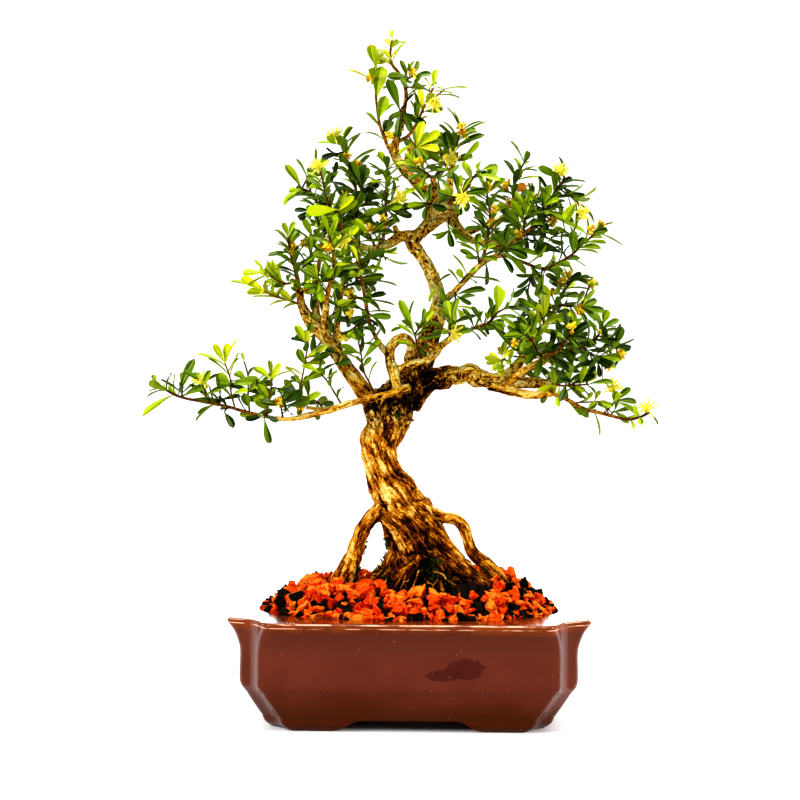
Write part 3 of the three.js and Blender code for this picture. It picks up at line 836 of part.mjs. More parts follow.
function shareOfPath(path, share) {
  const curve = new THREE.CurvePath();
  path.slice(1).forEach((p, i) => curve.add(new THREE.LineCurve3(path[i], p)));
  return curve.getPointAt(Math.min(share, 0.999));
}

const stemRadius = (radius, share) => Math.max(radius * (1 - STEM_TAPER * share), STEM_MINIMUM);

function stemSolid(path, radius, swell = 0) {
  const radii = path.map((_, k) => stemRadius(radius, k / (path.length - 1)));
  radii[0] *= STEM_NECK;
  return tubeSolid(path, radii, radius > SQUARE_STEM ? 4 : 3, swell);
}

// A blade: a point sunk in the stem, then pairs of points to the blunt tip, arched along its length.
function leafSolid({ root, along, length, normal, width }) {
  const left = normal.clone().cross(along).normalize();
  const rows = width < BROAD_LEAF ? NARROW_ROWS : LEAF_ROWS;
  const spine = (share) => root.clone()
    .add(along.clone().multiplyScalar(length * share))
    .add(normal.clone().multiplyScalar(4 * LEAF_ARCH * length * Math.max(share, 0) * (1 - share)));
  const flat = [root.clone().add(along.clone().multiplyScalar(-LEAF_ROOT))];
  rows.forEach(([share, breadth]) => [1, -1].forEach((side) => (
    flat.push(spine(share).add(left.clone().multiplyScalar(side * breadth * width / 2))))));
  const count = flat.length;
  const half = normal.clone().multiplyScalar(LEAF_THICKNESS / 2);
  const top = [0, 2, 1];
  for (let k = 1; k + 3 < count; k += 2) {
    top.push(k, k + 1, k + 3, k, k + 3, k + 2);
  }
  const rim = [0];
  for (let k = 2; k < count; k += 2) {
    rim.push(k);
  }
  for (let k = count - 2; k > 0; k -= 2) {
    rim.push(k);
  }
  const triangles = top.map((k) => k + count).concat(top.toReversed());
  rim.forEach((a, i) => {
    const b = rim[(i + 1) % rim.length];
    triangles.push(a, b, b + count, a, b + count, a + count);
  });
  const faces = [flat.map((p) => p.clone().sub(half)), flat.map((p) => p.clone().add(half))];
  return solidOf(faces.flat(), triangles);
}

// Where a drawn leaf may lie: first as given, then leaned, turned or moved a little to clear its neighbours.
const LEANS = [
  [0, 0, 0], [1, 0, 0], [0, 25, 0], [0, -25, 0], [1, 25, 0], [0, 0, 2.5], [0, 0, -2.5], [1, -25, 2.5],
  [1, 0, -2.5], [0, 50, 2], [0, 0, 5], [0, 0, -5],
];

function drawnLeaf(path, leaf, order, [flip, twist, lift]) {
  const [share, tipX, tipZ, turn, length = LEAF_LENGTH, wide = 1] = leaf;
  const root = shareOfPath(path, share);
  const onPlane = placed([tipX, tipZ + lift, root.y]);
  const seen = onPlane.distanceTo(root);
  const depth = Math.sqrt(Math.max(length ** 2 - seen ** 2, 0)) * ((order + flip) % 2 ? 1 : -1);
  const tip = placed([tipX, tipZ + lift, root.y + depth]);
  const along = tip.sub(root);
  const reach = along.length();
  along.normalize();
  const front = IN_FRONT.clone().sub(along.clone().multiplyScalar(IN_FRONT.dot(along))).normalize();
  const edge = along.clone().cross(front);
  edge.multiplyScalar(edge.z < 0 ? -1 : 1);
  const angle = THREE.MathUtils.degToRad(turn + twist);
  const normal = front.multiplyScalar(Math.cos(angle)).add(edge.multiplyScalar(Math.sin(angle)));
  const width = LEAF_WIDTH * wide * (reach / LEAF_LENGTH) ** WIDTH_POWER;
  return { root, along, length: reach, normal, width };
}

// The leaves that go all round a stem, in crossed pairs, with the upper face towards the stem's tip.
function roundLeaf(path, key, pair, pairs, side, [flip, twist, lift]) {
  const share = 1 - (pair + 0.3) / (pairs + 0.6);
  const root = shareOfPath(path, share);
  const [before, after] = [share - 0.05, Math.min(share + 0.05, 1)];
  const stem = shareOfPath(path, after).sub(shareOfPath(path, before)).normalize();
  const level = UP.clone().cross(stem);
  const across = level.lengthSq() > 0.01 ? level : IN_FRONT.clone().cross(stem);
  const turn = (pair % 2 ? 90 : 0) + 40 * chance(key, pair) + 180 * side + twist + 30 * flip;
  const out = across.normalize().applyAxisAngle(stem, THREE.MathUtils.degToRad(turn));
  const rise = stem.clone().multiplyScalar(0.6 + 0.04 * lift);
  const along = out.clone().multiplyScalar(0.8).add(rise).normalize();
  const normal = stem.sub(along.clone().multiplyScalar(stem.dot(along))).normalize();
  const length = LEAF_LENGTH * (0.82 + 0.3 * chance(key, 10 + 2 * pair + side));
  return { root, along, length, normal, width: LEAF_WIDTH * (length / LEAF_LENGTH) ** WIDTH_POWER };
}

// A flower head: an eight-sided knob of buds. An open one has a spike over each face.
function headSolid(middle, radius, spike) {
  const corners = [[1, 0, 0], [0, 1, 0], [-1, 0, 0], [0, -1, 0], [0, 0, 1], [0, 0, -1]].map((c) => (
    point(...c).multiplyScalar(radius).add(middle)));
  const points = [...corners];
  const triangles = [];
  for (let side = 0; side < 4; side += 1) {
    [[side, (side + 1) % 4, 4], [(side + 1) % 4, side, 5]].forEach(([a, b, c]) => {
      if (!spike) {
        triangles.push(a, b, c);
        return;
      }
      const face = corners[a].clone().add(corners[b]).add(corners[c]).divideScalar(3).sub(middle);
      points.push(middle.clone().add(face.normalize().multiplyScalar(spike)));
      const tip = points.length - 1;
      triangles.push(a, b, tip, b, c, tip, c, a, tip);
    });
  }
  return solidOf(points, triangles);
}

const PATH_STEPS = 50;

function nearestOnPath(path, target) {
  let best = path[0];
  for (let step = 0; step <= PATH_STEPS; step += 1) {
    const p = shareOfPath(path, step / PATH_STEPS);
    best = p.distanceTo(target) < best.distanceTo(target) ? p : best;
  }
  return best;
}

function flowerSolid(path, [kind, x, z, y], [flip, twist, lift]) {
  const middle = placed([x, z + lift, y - 3 * flip - 0.1 * twist]);
  const [spike, core] = kind === 'bloom' ? BLOOM_SIZE : [0, BUDS_RADIUS];
  const head = headSolid(middle, core, spike);
  const foot = nearestOnPath(path, middle);
  if (foot.distanceTo(middle) < 0.6 * core) {
    return head;
  }
  return head.add(tubeSolid([foot, middle], [STALK_RADIUS, STALK_RADIUS], 3));
}

// All the sprays, kept clear of the wood and of one another. Later pieces give way to the ones before them.
function spraySolids(swollenWood) {
  const placedPieces = [];
  const sprays = new Map();
  const reachOf = (solid) => {
    const { min, max } = solid.boundingBox();
    return new THREE.Box3(point(...min), point(...max)).expandByScalar(GAP);
  };
  const keep = (spray, solid, limit = CROSSING_LIMIT) => {
    placedPieces.push({ spray, solid, limit, box: reachOf(solid) });
    sprays.set(spray, [...(sprays.get(spray) ?? []), solid]);
  };
  const clearOf = (spray, solid, other) => (other.spray === spray
    ? solid.intersect(other.solid).volume() < other.limit
    : solid.minGap(other.solid, 2 * GAP) >= GAP);
  const clearOfOthers = (spray, solid) => {
    const box = reachOf(solid);
    return placedPieces.every((other) => !other.box.intersectsBox(box) || clearOf(spray, solid, other));
  };
  const mostlyFree = (solid) => solid.intersect(swollenWood).volume() < ROOT_IN_WOOD * solid.volume();
  const keepFirstFree = (spray, make) => {
    const free = LEANS.map(make).find((solid) => mostlyFree(solid) && clearOfOthers(spray, solid));
    if (free) {
      keep(spray, free);
    }
  };
  const paths = SPRAYS.map(([, , , way]) => way.map(placed));
  SPRAYS.forEach(([spray, , radius], k) => {
    const stem = stemSolid(paths[k], radius);
    const crossed = SPRAYS.slice(0, k).map((_, i) => i).filter((i) => SPRAYS[i][0] !== spray)
      .map((i) => stemSolid(paths[i], SPRAYS[i][2], GAP))
      .filter((other) => other.intersect(stem).volume() > 0);
    const freed = crossed.reduce((left, other) => left.subtract(other), stem);
    keep(spray, largestBody(freed), STEM_CROSSING_LIMIT);
  });
  SPRAYS.forEach(([spray, , , , , heads], k) => heads.forEach((head) => (
    keepFirstFree(spray, (lean) => flowerSolid(paths[k], head, lean)))));
  SPRAYS.forEach(([spray, , , , leaves], k) => leaves.forEach((leaf, order) => {
    const [share, , , , , wide = 1] = leaf;
    if (wide >= WIDE_LEAF || order < FIRST_LEAVES) {
      keepFirstFree(spray, (lean) => leafSolid(drawnLeaf(paths[k], leaf, order, lean)));
    }
  }));
  SPRAYS.forEach(([spray, , , , , , pairs], k) => {
    for (let pair = 0; pair < pairs; pair += 1) {
      keepFirstFree(spray, (lean) => leafSolid(roundLeaf(paths[k], k, pair, pairs, pair % 2, lean)));
    }
  });
  return new Map([...sprays].map(([spray, solids]) => (
    [spray, tidied(largestBody(Manifold.union(solids).subtract(swollenWood)), FOLIAGE_SMOOTHING)])));
}

const GLAZE = new THREE.MeshStandardMaterial({ color: 0x7a3526, roughness: 0.22, metalness: 0 });
const SOIL = new THREE.MeshStandardMaterial({ color: 0x1d140c, roughness: 0.95, metalness: 0 });
const LAVA = new THREE.MeshStandardMaterial({ color: 0xc23a12, roughness: 0.9, metalness: 0 });
const NET = new THREE.MeshStandardMaterial({ color: 0x1b1b1b, roughness: 0.6, metalness: 0 });
const BARK = new THREE.MeshStandardMaterial({ color: 0xa8672a, roughness: 0.9, metalness: 0 });
const LEAF = new THREE.MeshStandardMaterial({ color: 0x4d6b1c, roughness: 0.4, metalness: 0 });

const bonsai = new THREE.Group();
const wood = woodSolid(0);
const swollenWood = woodSolid(GAP);
bonsai.add(meshOf(potSolid(), 'pot', GLAZE));
bonsai.add(meshOf(drainMeshSolid(-DRAIN_HOLE_X), 'drain_mesh_left', NET));
bonsai.add(meshOf(drainMeshSolid(DRAIN_HOLE_X), 'drain_mesh_right', NET));
bonsai.add(meshOf(soilSolid(swollenWood, [-DRAIN_HOLE_X, DRAIN_HOLE_X]), 'soil_mound', SOIL));
bonsai.add(meshOf(dressingSolid(swollenWood), 'top_dressing', LAVA));
bonsai.add(meshOf(wood, 'tree_wood', BARK));
spraySolids(swollenWood).forEach((solid, name) => bonsai.add(meshOf(solid, name, LEAF)));

// The origin goes to the middle of the whole thing's footprint.
const footprint = new THREE.Box3().setFromObject(bonsai);
const shift = footprint.getCenter(point(0, 0, 0)).setZ(footprint.min.z).negate();
bonsai.traverse((piece) => piece.geometry?.translate(shift.x, shift.y, shift.z));

export default bonsai;
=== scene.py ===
"""Harland boxwood bonsai in a glazed pot: the dressed model, its floor, light and camera."""

import math

import bmesh
import bpy
import numpy as np
from mathutils import Matrix, Vector
from mathutils.bvhtree import BVHTree
from mathutils.kdtree import KDTree


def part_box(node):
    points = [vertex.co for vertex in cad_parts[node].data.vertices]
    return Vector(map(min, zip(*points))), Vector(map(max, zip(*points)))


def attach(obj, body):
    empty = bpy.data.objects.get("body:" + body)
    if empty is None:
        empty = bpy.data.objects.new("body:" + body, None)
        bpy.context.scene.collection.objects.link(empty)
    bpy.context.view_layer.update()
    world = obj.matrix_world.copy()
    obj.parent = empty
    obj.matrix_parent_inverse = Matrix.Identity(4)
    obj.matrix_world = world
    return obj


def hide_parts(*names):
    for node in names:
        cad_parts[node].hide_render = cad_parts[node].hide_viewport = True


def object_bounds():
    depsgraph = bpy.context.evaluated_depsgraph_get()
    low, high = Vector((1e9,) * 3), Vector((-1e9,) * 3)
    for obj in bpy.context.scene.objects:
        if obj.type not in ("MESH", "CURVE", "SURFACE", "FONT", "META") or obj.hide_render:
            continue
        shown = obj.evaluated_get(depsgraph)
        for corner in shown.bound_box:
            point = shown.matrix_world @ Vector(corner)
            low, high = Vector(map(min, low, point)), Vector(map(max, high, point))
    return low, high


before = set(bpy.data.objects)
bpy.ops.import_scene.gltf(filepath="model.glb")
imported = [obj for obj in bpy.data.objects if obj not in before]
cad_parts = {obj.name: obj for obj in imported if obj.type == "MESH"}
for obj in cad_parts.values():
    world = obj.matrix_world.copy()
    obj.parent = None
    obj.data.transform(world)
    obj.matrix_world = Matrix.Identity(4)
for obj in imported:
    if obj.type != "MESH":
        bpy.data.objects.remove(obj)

cad_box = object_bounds()

# Sizes are in millimetres up to the moment a mesh is made.
MM = 0.001
POT_LOW, POT_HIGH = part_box("pot")
SHIFT = np.array([(POT_LOW.x + POT_HIGH.x) / 2 / MM, 0.0, 0.0])
UP = np.array([0.0, 0.0, 1.0])
IN_FRONT = np.array([0.0, -1.0, 0.0])

# The tree is drawn on the upright plane through its trunk, as seen from straight in front at this distance.
EYE_X = -7.2
EYE_HEIGHT = 208.9
EYE_DISTANCE = 1018.7
DRAWING_TURN = math.radians(0.5)
FOCAL_PIXELS = 1476.4
IMAGE_PIXELS = 800
HORIZON_PIXEL = 409.75

# The pot.
POT_HEIGHT = 73.5
BODY_HALF_LENGTH = 110
BODY_HALF_WIDTH = 80
CORNER_FOLD = 14
SIDE_FOLD = 15
NOTCH_DEPTH = 3
FLARE_OF_FOLDS = 0.38
SIDE_POINTS, FRONT_POINTS, NOTCH_POINTS = 19, 31, 13
OPENING_HALF_LENGTH = 102
OPENING_HALF_WIDTH = 72
OPENING_POWER = 2.4
POT_UNDERSIDE = 8.5
OUTER_WALL = [
    [POT_UNDERSIDE, -13.4], [16, -9], [25, -4], [33, 0], [52, 0], [59, 1.6], [65, 4.3],
    [69, 7.6], [71, 9], [72.8, 8.4], [POT_HEIGHT, 6.6],
]
LIP_BOTTOM = 66
HOLLOW_WALL = [[16, -18], [24.5, -11], [33, -6.5], [52, -6.5], [LIP_BOTTOM, -3.5]]
FOOT_WALL = [[0, -19.5], [1.5, -17.4], [4.5, -14.9], [9.5, -13.3]]
FOOT_BAND = 7
WALL_STEP, FOOT_STEP = 1.8, 1.2
# How far helper solids reach past what they cut, and the heights of those for the drain holes.
PAST_CUT = 2
DRAIN_CUT = (-5, 25)
ARCH_CURL = 20
ARCH_BAND = 0.6
FRONT_ARCH_HALF_SPAN = 31
SIDE_ARCH_HALF_SPAN = 18
DRAIN_HOLE_X = 52
DRAIN_HOLE_RADIUS = 8
DRAIN_POINTS = 40
MOUTH_POINTS = 160
# The rounded lip of the mouth: height and how far inside the opening.
LIP = [[LIP_BOTTOM - 1, 0], [POT_HEIGHT - 1.6, 0], [POT_HEIGHT - 0.9, -0.3], [POT_HEIGHT - 0.3, -1.0],
       [POT_HEIGHT + 0.01, -1.9], [POT_HEIGHT + 0.6, -3.4]]
# Half the length of the helper solids that cut the arches, more than the pot's own.
ARCH_REACH = 150.0
POT_SHARPNESS = 38
# How far forward the floor's dark card begins, in metres.
CARD_EDGE = (-0.064, -0.056)
# From where the floor's glow is withheld under the pot, as a painted shadow, to where it glows in the open, to the
# side and to the front, in metres.
POT_PAINTED_SHADOW_X = (0.080, 0.100)
POT_PAINTED_SHADOW_Y = (0.050, 0.070)
FLOOR_GLOW = 0.3
# Heights between which the glaze changes: from its low band, to its shoulder and to its rim, in metres.
LOW_HEIGHTS = (0.027, 0.041)
SHOULDER_HEIGHTS = (0.046, 0.060)
RIM_HEIGHTS = (0.0655, 0.0695)
# Heights of the painted highlight lines along the rim, and how far each line fades, in metres.
RIM_HIGHLIGHT_LINES = [(0.0724, 0.0729), (0.0701, 0.0704)]
RIM_HIGHLIGHT_FADE = 0.0003
# Heights over which the bark goes from brown to golden, in metres.
GOLDEN_HEIGHTS = (0.222, 0.262)
# The darker blotch on the front: middle and one over reach of its body and of its tail, in metres.
BLOTCHES = [
    ((0.0455, -0.0800, 0.0440), (78, 30, 150)),
    ((0.0320, -0.0800, 0.0400), (78, 30, 280)),
]

# What fills the pot.
SOIL_EDGE = 66.5
MOUND_RISE = 20.5
MOUND_POWER = 5.5
HEAP_MIDDLE = (60, 2)
HEAP_RISE = 8
HEAP_REACH = 19
SOIL_GAP = 0.45
SOIL_RAISE = 1.2
SOIL_POINTS = 240
SOIL_RINGS = 52
# The first and last ring of the mound's top, as shares of the way out from its middle.
SOIL_SHARES = (0.995, 0.06)
# Height and cell of the soil's coarse and fine roughness.
COARSE_SOIL, FINE_SOIL = (0.9, 3.1), (0.6, 1.5)

# The foliage.
LEAF_LENGTH = 18
LEAF_WIDTH = 6.2
LEAF_ARCH = 0.05
WIDTH_POWER = 0.6
STEM_TAPER = 0.45
STEM_MINIMUM = 0.75
STEM_SLIMMING = 0.72
STEM_STEP = 1.4
STEM_SIDES = 9
SHOOT_RADIUS = 0.95
SHOOT_BOW = 0.10


def chance(key, turn):
    """A repeatable number from 0 to 1 for a whole-number key and the number of the draw."""
    full = 0xFFFFFFFF
    h = ((key + 1) * 0x9E3779B1 & full) ^ ((turn + 1) * 0x85EBCA6B & full)
    h = (h ^ (h >> 15)) * 0x2C1B3C6D & full
    h = (h ^ (h >> 12)) * 0x297A2D39 & full
    return (h ^ (h >> 15)) / 4294967296


def ranged(least_and_more, key, turn):
    """A repeatable size from its least to its most."""
    return least_and_more[0] + least_and_more[1] * chance(key, turn)


def placed(drawn):
    """A point drawn as x, height and depth, where it stands in the frame."""
    x, z, y = drawn[:3]
    out = 1 + y / EYE_DISTANCE
    right = x - EYE_X
    rise = z - EYE_HEIGHT
    turned_right = right * math.cos(DRAWING_TURN) - rise * math.sin(DRAWING_TURN)
    turned_rise = right * math.sin(DRAWING_TURN) + rise * math.cos(DRAWING_TURN)
    return np.array([EYE_X + turned_right * out, y, EYE_HEIGHT + turned_rise * out]) + SHIFT


def unit(v):
    return v / max(np.linalg.norm(v), 1e-9)


def turned(v, axis, angle):
    """v turned about a unit axis."""
    return v * math.cos(angle) + np.cross(axis, v) * math.sin(angle) + axis * (axis @ v) * (1 - math.cos(angle))


def lattice_noise(points, seed):
    """Smooth noise from -1 to 1 on a unit lattice, for an array of points."""
    cell = np.floor(points).astype(np.int64)
    part = points - cell
    part = part * part * part * (part * (part * 6 - 15) + 10)
    total = np.zeros(len(points))
    for corner in range(8):
        offset = np.array([corner & 1, corner >> 1 & 1, corner >> 2 & 1])
        c = cell + offset
        h = (c[:, 0] * 374761393 + c[:, 1] * 668265263 + c[:, 2] * 2147483647 + seed * 974634777) & 0xFFFFFFFF
        h = (h ^ (h >> 13)) * 1274126177 & 0xFFFFFFFF
        h = ((h ^ (h >> 16)) & 0xFFFF) / 65535 * 2 - 1
        weight = np.prod(np.where(offset == 1, part, 1 - part), axis=1)
        total += h * weight
    return total


class Body:
    """Points, faces, face materials and point values of one piece, gathered before its mesh is made."""

    def __init__(self, *values):
        self.points = []
        self.faces = []
        self.kinds = []
        self.values = {name: [] for name in values}
        self.count = 0

    def add(self, points, faces, kind=0, **values):
        self.points.append(np.asarray(points, float))
        self.faces.extend([tuple(i + self.count for i in face) for face in faces])
        self.kinds.extend([kind] * len(faces))
        for name, kept in self.values.items():
            kept.append(np.broadcast_to(np.asarray(values.get(name, 0.0), float), len(points)))
        self.count += len(points)

    def made(self, name, materials, smooth_angle):
        points = np.concatenate(self.points) * MM
        mesh = bpy.data.meshes.new(name)
        mesh.from_pydata(points.tolist(), [], self.faces)
        mesh.polygons.foreach_set("material_index", self.kinds)
        for value, kept in self.values.items():
            layer = mesh.attributes.new(value, "FLOAT", "POINT")
            layer.data.foreach_set("value", np.concatenate(kept).astype(np.float32))
        piece = bpy.data.objects.new(name, mesh)
        bpy.context.scene.collection.objects.link(piece)
        finish_mesh(piece, materials, smooth_angle)
        return piece


def finish_mesh(piece, materials, smooth_angle):
    """Gives a piece its materials, and smooth shading up to an angle in degrees, or flat for None."""
    kinds = np.zeros(len(piece.data.polygons), np.int32)
    piece.data.polygons.foreach_get("material_index", kinds)
    piece.data.materials.clear()
    for material in materials:
        piece.data.materials.append(material)
    piece.data.polygons.foreach_set("material_index", kinds)
    if smooth_angle is None:
        piece.data.shade_flat()
    else:
        piece.data.shade_smooth()
        if smooth_angle < 180:
            piece.data.set_sharp_from_angle(angle=math.radians(smooth_angle))
    piece.data.update()


def stand_in(piece, slot, *nodes):
    """The piece rides with the tree and is seen in place of the nodes. The slot is not used."""
    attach(piece, "root")
    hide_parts(*nodes)
    return piece


def evaluated(piece):
    """A fresh mesh of the piece with its modifiers applied."""
    graph = bpy.context.evaluated_depsgraph_get()
    mesh = bpy.data.meshes.new_from_object(piece.evaluated_get(graph))
    piece.modifiers.clear()
    old = piece.data
    piece.data = mesh
    bpy.data.meshes.remove(old)
    return mesh


# Materials.
# Colours are linear red, green and blue. A list of them is a ramp: the place and colour of each stop.
GLAZE_BODY = [(0.3, (0.128, 0.0225, 0.0085)), (0.7, (0.172, 0.0335, 0.0140))]
GLAZE_SPECK = (0.27, 0.06, 0.018)
GLAZE_SHOULDER = (0.150, 0.0320, 0.0140)
GLAZE_LOW = (0.112, 0.0210, 0.0002)
GLAZE_BLOTCH = (0.085, 0.0070, 0.0008)
GLAZE_RIM = [(0.35, (0.15, 0.024, 0.002)), (0.65, (0.30, 0.064, 0.006))]
GLAZE_PAINTED_HIGHLIGHT = (0.92, 0.55, 0.36)
GLAZE_DUST = (0.55, 0.30, 0.20)
SOIL_GRAINS = [(0.3, (0.002, 0.0015, 0.001)), (0.75, (0.03, 0.014, 0.006))]
SOIL_FLECK = (0.13, 0.07, 0.03)
LAVA_RED = [(0.0, (0.16, 0.003, 0.0001)), (0.25, (0.70, 0.030, 0.0004)),
            (0.55, (1.0, 0.100, 0.0015)), (1.0, (1.0, 0.36, 0.035))]
LAVA_BLACK = [(0.0, (0.002, 0.0015, 0.001)), (1.0, (0.022, 0.012, 0.008))]
LAVA_PIT_SHADE = (0.12, 0.002, 0.0001)
LAVA_GRAIN_HIGHLIGHT = (1.0, 0.32, 0.035)
NET_BLACK = [(0.3, (0.006, 0.006, 0.007)), (0.7, (0.02, 0.02, 0.022))]
BARK_BROWN = [(0.04, (0.003, 0.0008, 0.0001)), (0.22, (0.040, 0.0080, 0.0002)), (0.42, (0.24, 0.055, 0.0008)),
              (0.60, (0.62, 0.21, 0.003)), (0.80, (0.98, 0.47, 0.016)), (1.0, (1.0, 0.83, 0.28))]
BARK_GOLDEN = [(0.04, (0.008, 0.0025, 0.0001)), (0.18, (0.090, 0.0270, 0.0002)), (0.30, (0.40, 0.130, 0.0010)),
               (0.43, (0.90, 0.39, 0.004)), (0.60, (1.0, 0.63, 0.022)), (0.84, (1.0, 0.88, 0.34))]
TWIG_YOUNG = [(0.0, (0.030, 0.0085, 0.001)), (0.5, (0.095, 0.026, 0.002)), (1.0, (0.20, 0.085, 0.006))]
TWIG_BARK = [(0.3, (0.030, 0.007, 0.0005)), (0.48, (0.30, 0.10, 0.004)), (0.66, (0.80, 0.44, 0.04))]
TWIG_PALE = (0.42, 0.20, 0.02)
LEAF_DEEP = [(0.0, (0.002, 0.008, 0.0001)), (0.25, (0.008, 0.028, 0.0001)), (0.5, (0.036, 0.090, 0.0002)),
             (0.75, (0.14, 0.25, 0.0003)), (1.0, (0.36, 0.45, 0.001))]
LEAF_LIGHT = [(0.0, (0.040, 0.095, 0.0003)), (0.25, (0.17, 0.30, 0.0005)), (0.5, (0.42, 0.57, 0.002)),
              (0.8, (0.62, 0.72, 0.004)), (1.0, (0.90, 0.88, 0.02))]
LEAF_RIB = [(0.0, (0.05, 0.11, 0.004)), (0.5, (0.36, 0.46, 0.012)), (1.0, (0.85, 0.70, 0.04))]
LEAF_UNDER = [(0.0, (0.045, 0.09, 0.004)), (0.5, (0.18, 0.29, 0.010)), (1.0, (0.60, 0.60, 0.02))]
LEAF_DRY = [(0.3, (0.62, 0.16, 0.004)), (0.7, (0.92, 0.42, 0.02))]
FLOWER_AGES = [(0.0, (0.30, 0.085, 0.002)), (0.35, (0.72, 0.30, 0.008)), (0.7, (1.0, 0.82, 0.03)),
               (1.0, (1.0, 0.96, 0.16))]
FLOWER_LIGHT = (1.0, 0.98, 0.30)
FLOWER_SPOT = (0.35, 0.24, 0.006)
MOSS_GREEN = [(0.3, (0.004, 0.006, 0.0001)), (0.8, (0.030, 0.040, 0.0004)), (1.0, (0.12, 0.14, 0.002))]
PAPER = [(0.2, (0.88, 0.88, 0.88)), (0.8, (0.91, 0.91, 0.91))]
CARD = (0.36, 0.31, 0.26)


class Paint:
    """A node material: each call adds a node and returns one of its outputs."""

    def __init__(self, name, **fixed):
        self.material = bpy.data.materials.new(name)
        self.material.use_nodes = True
        self.tree = self.material.node_tree
        self.shader = self.tree.nodes["Principled BSDF"]
        for socket, value in fixed.items():
            self.shader.inputs[socket.replace("_", " ")].default_value = value

    def node(self, kind, inputs, output=0, **settings):
        made = self.tree.nodes.new(kind)
        for key, value in settings.items():
            setattr(made, key, value)
        for key, value in inputs.items():
            if isinstance(value, bpy.types.NodeSocket):
                self.tree.links.new(value, made.inputs[key])
            else:
                made.inputs[key].default_value = value
        return made.outputs[output]

    def value(self, name):
        return self.node("ShaderNodeAttribute", {}, "Fac", attribute_name=name)

    def place(self):
        return self.node("ShaderNodeTexCoord", {}, "Object")

    def part(self, vector, axis):
        return self.node("ShaderNodeSeparateXYZ", {0: vector}, axis)

    def vectors(self, operation, a, b):
        return self.node("ShaderNodeVectorMath", {0: a, 1: b}, operation=operation)

    def stretched(self, vector, scale):
        return self.vectors("MULTIPLY", vector, scale)

    def noise(self, vector, scale, detail, rough=0.55):
        return self.node("ShaderNodeTexNoise", {"Vector": vector, "Scale": scale, "Detail": detail,
                                                "Roughness": rough}, "Fac")

    def cells(self, vector, scale, output="Distance", feature="F1"):
        return self.node("ShaderNodeTexVoronoi", {"Vector": vector, "Scale": scale}, output, feature=feature)

    def math(self, operation, a, b=0.0, clamp=False):
        return self.node("ShaderNodeMath", {0: a, 1: b}, operation=operation, use_clamp=clamp)

    def plus(self, a, b):
        return self.math("ADD", a, b)

    def minus(self, a, b, clamp=False):
        return self.math("SUBTRACT", a, b, clamp)

    def times(self, a, b, clamp=False):
        return self.math("MULTIPLY", a, b, clamp)

    def times_plus(self, a, b, c):
        return self.node("ShaderNodeMath", {0: a, 1: b, 2: c}, operation="MULTIPLY_ADD")

    def spread(self, factor, low, high, to_low=0.0, to_high=1.0):
        return self.node("ShaderNodeMapRange", {0: factor, 1: low, 2: high, 3: to_low, 4: to_high}, clamp=True)

    def ramp(self, factor, stops):
        made = self.tree.nodes.new("ShaderNodeValToRGB")
        self.tree.links.new(factor, made.inputs[0])
        while len(made.color_ramp.elements) < len(stops):
            made.color_ramp.elements.new(0.5)
        for element, (position, colour) in zip(made.color_ramp.elements, stops):
            element.position = position
            element.color = (*colour, 1)
        return made.outputs[0]

    def mix(self, factor, a, b):
        made = self.tree.nodes.new("ShaderNodeMix")
        made.data_type = "RGBA"
        for socket, value in ((made.inputs["Factor"], factor), (made.inputs[6], a), (made.inputs[7], b)):
            if isinstance(value, bpy.types.NodeSocket):
                self.tree.links.new(value, socket)
            else:
                socket.default_value = (*value, 1)
        return made.outputs[2]

    def finish(self, colour, rough=None, height=None, bump=0.0, reach=0.001):
        self.tree.links.new(colour, self.shader.inputs["Base Color"])
        if rough is not None:
            self.tree.links.new(rough, self.shader.inputs["Roughness"])
        if height is not None:
            normal = self.node("ShaderNodeBump", {"Height": height, "Strength": bump, "Distance": reach}, "Normal")
            self.tree.links.new(normal, self.shader.inputs["Normal"])
        return self.material


def glaze_material():
    """Red-brown glaze: deeper low down, orange where it runs thin over the rim, with painted highlight lines along
    the rim's edge and one darker blotch.
    """
    paint = Paint("glaze", Specular_IOR_Level=0.32, Coat_Weight=0.42, Coat_Roughness=0.08)
    place = paint.place()
    height = paint.part(place, "Z")
    cloud = paint.noise(place, 26, 3)
    body = paint.ramp(cloud, GLAZE_BODY)
    body = paint.mix(paint.spread(paint.noise(place, 1100, 2), 0.55, 0.75, 0, 0.45), body, GLAZE_SPECK)
    body = paint.mix(paint.spread(height, *SHOULDER_HEIGHTS), body, GLAZE_SHOULDER)
    level = paint.times_plus(cloud, 0.03, height)
    body = paint.mix(paint.spread(level, *LOW_HEIGHTS, 1, 0), body, GLAZE_LOW)
    ragged = paint.times(paint.noise(place, 190, 3), 0.9)
    for middle, scale in BLOTCHES:
        away = paint.stretched(paint.vectors("SUBTRACT", place, middle), scale)
        away = paint.node("ShaderNodeVectorMath", {0: away}, "Value", operation="LENGTH")
        body = paint.mix(paint.spread(paint.plus(away, ragged), 1.36, 1.46, 0.85, 0), body, GLAZE_BLOTCH)
    rim_colour = paint.ramp(paint.noise(place, 34, 3), GLAZE_RIM)
    body = paint.mix(paint.spread(height, *RIM_HEIGHTS), body, rim_colour)
    # Painted highlight: pale dashed lines along the rim's edge stand in for reflections of the light.
    highlight_dashes = paint.spread(paint.noise(paint.stretched(place, (1, 1, 6)), 70, 3), 0.45, 0.55, 0, 0.95)
    for low, high in RIM_HIGHLIGHT_LINES:
        highlight_line = paint.times(paint.spread(height, low - RIM_HIGHLIGHT_FADE, low),
                           paint.spread(height, high, high + RIM_HIGHLIGHT_FADE, 1, 0))
        body = paint.mix(paint.times(highlight_line, highlight_dashes), body, GLAZE_PAINTED_HIGHLIGHT)
    body = paint.mix(paint.spread(paint.cells(place, 130), 0.03, 0.06, 0.6, 0), body, GLAZE_DUST)
    rough = paint.spread(cloud, 0.3, 0.7, 0.14, 0.24)
    return paint.finish(body, rough, paint.noise(place, 60, 2), 0.12, 0.0012)


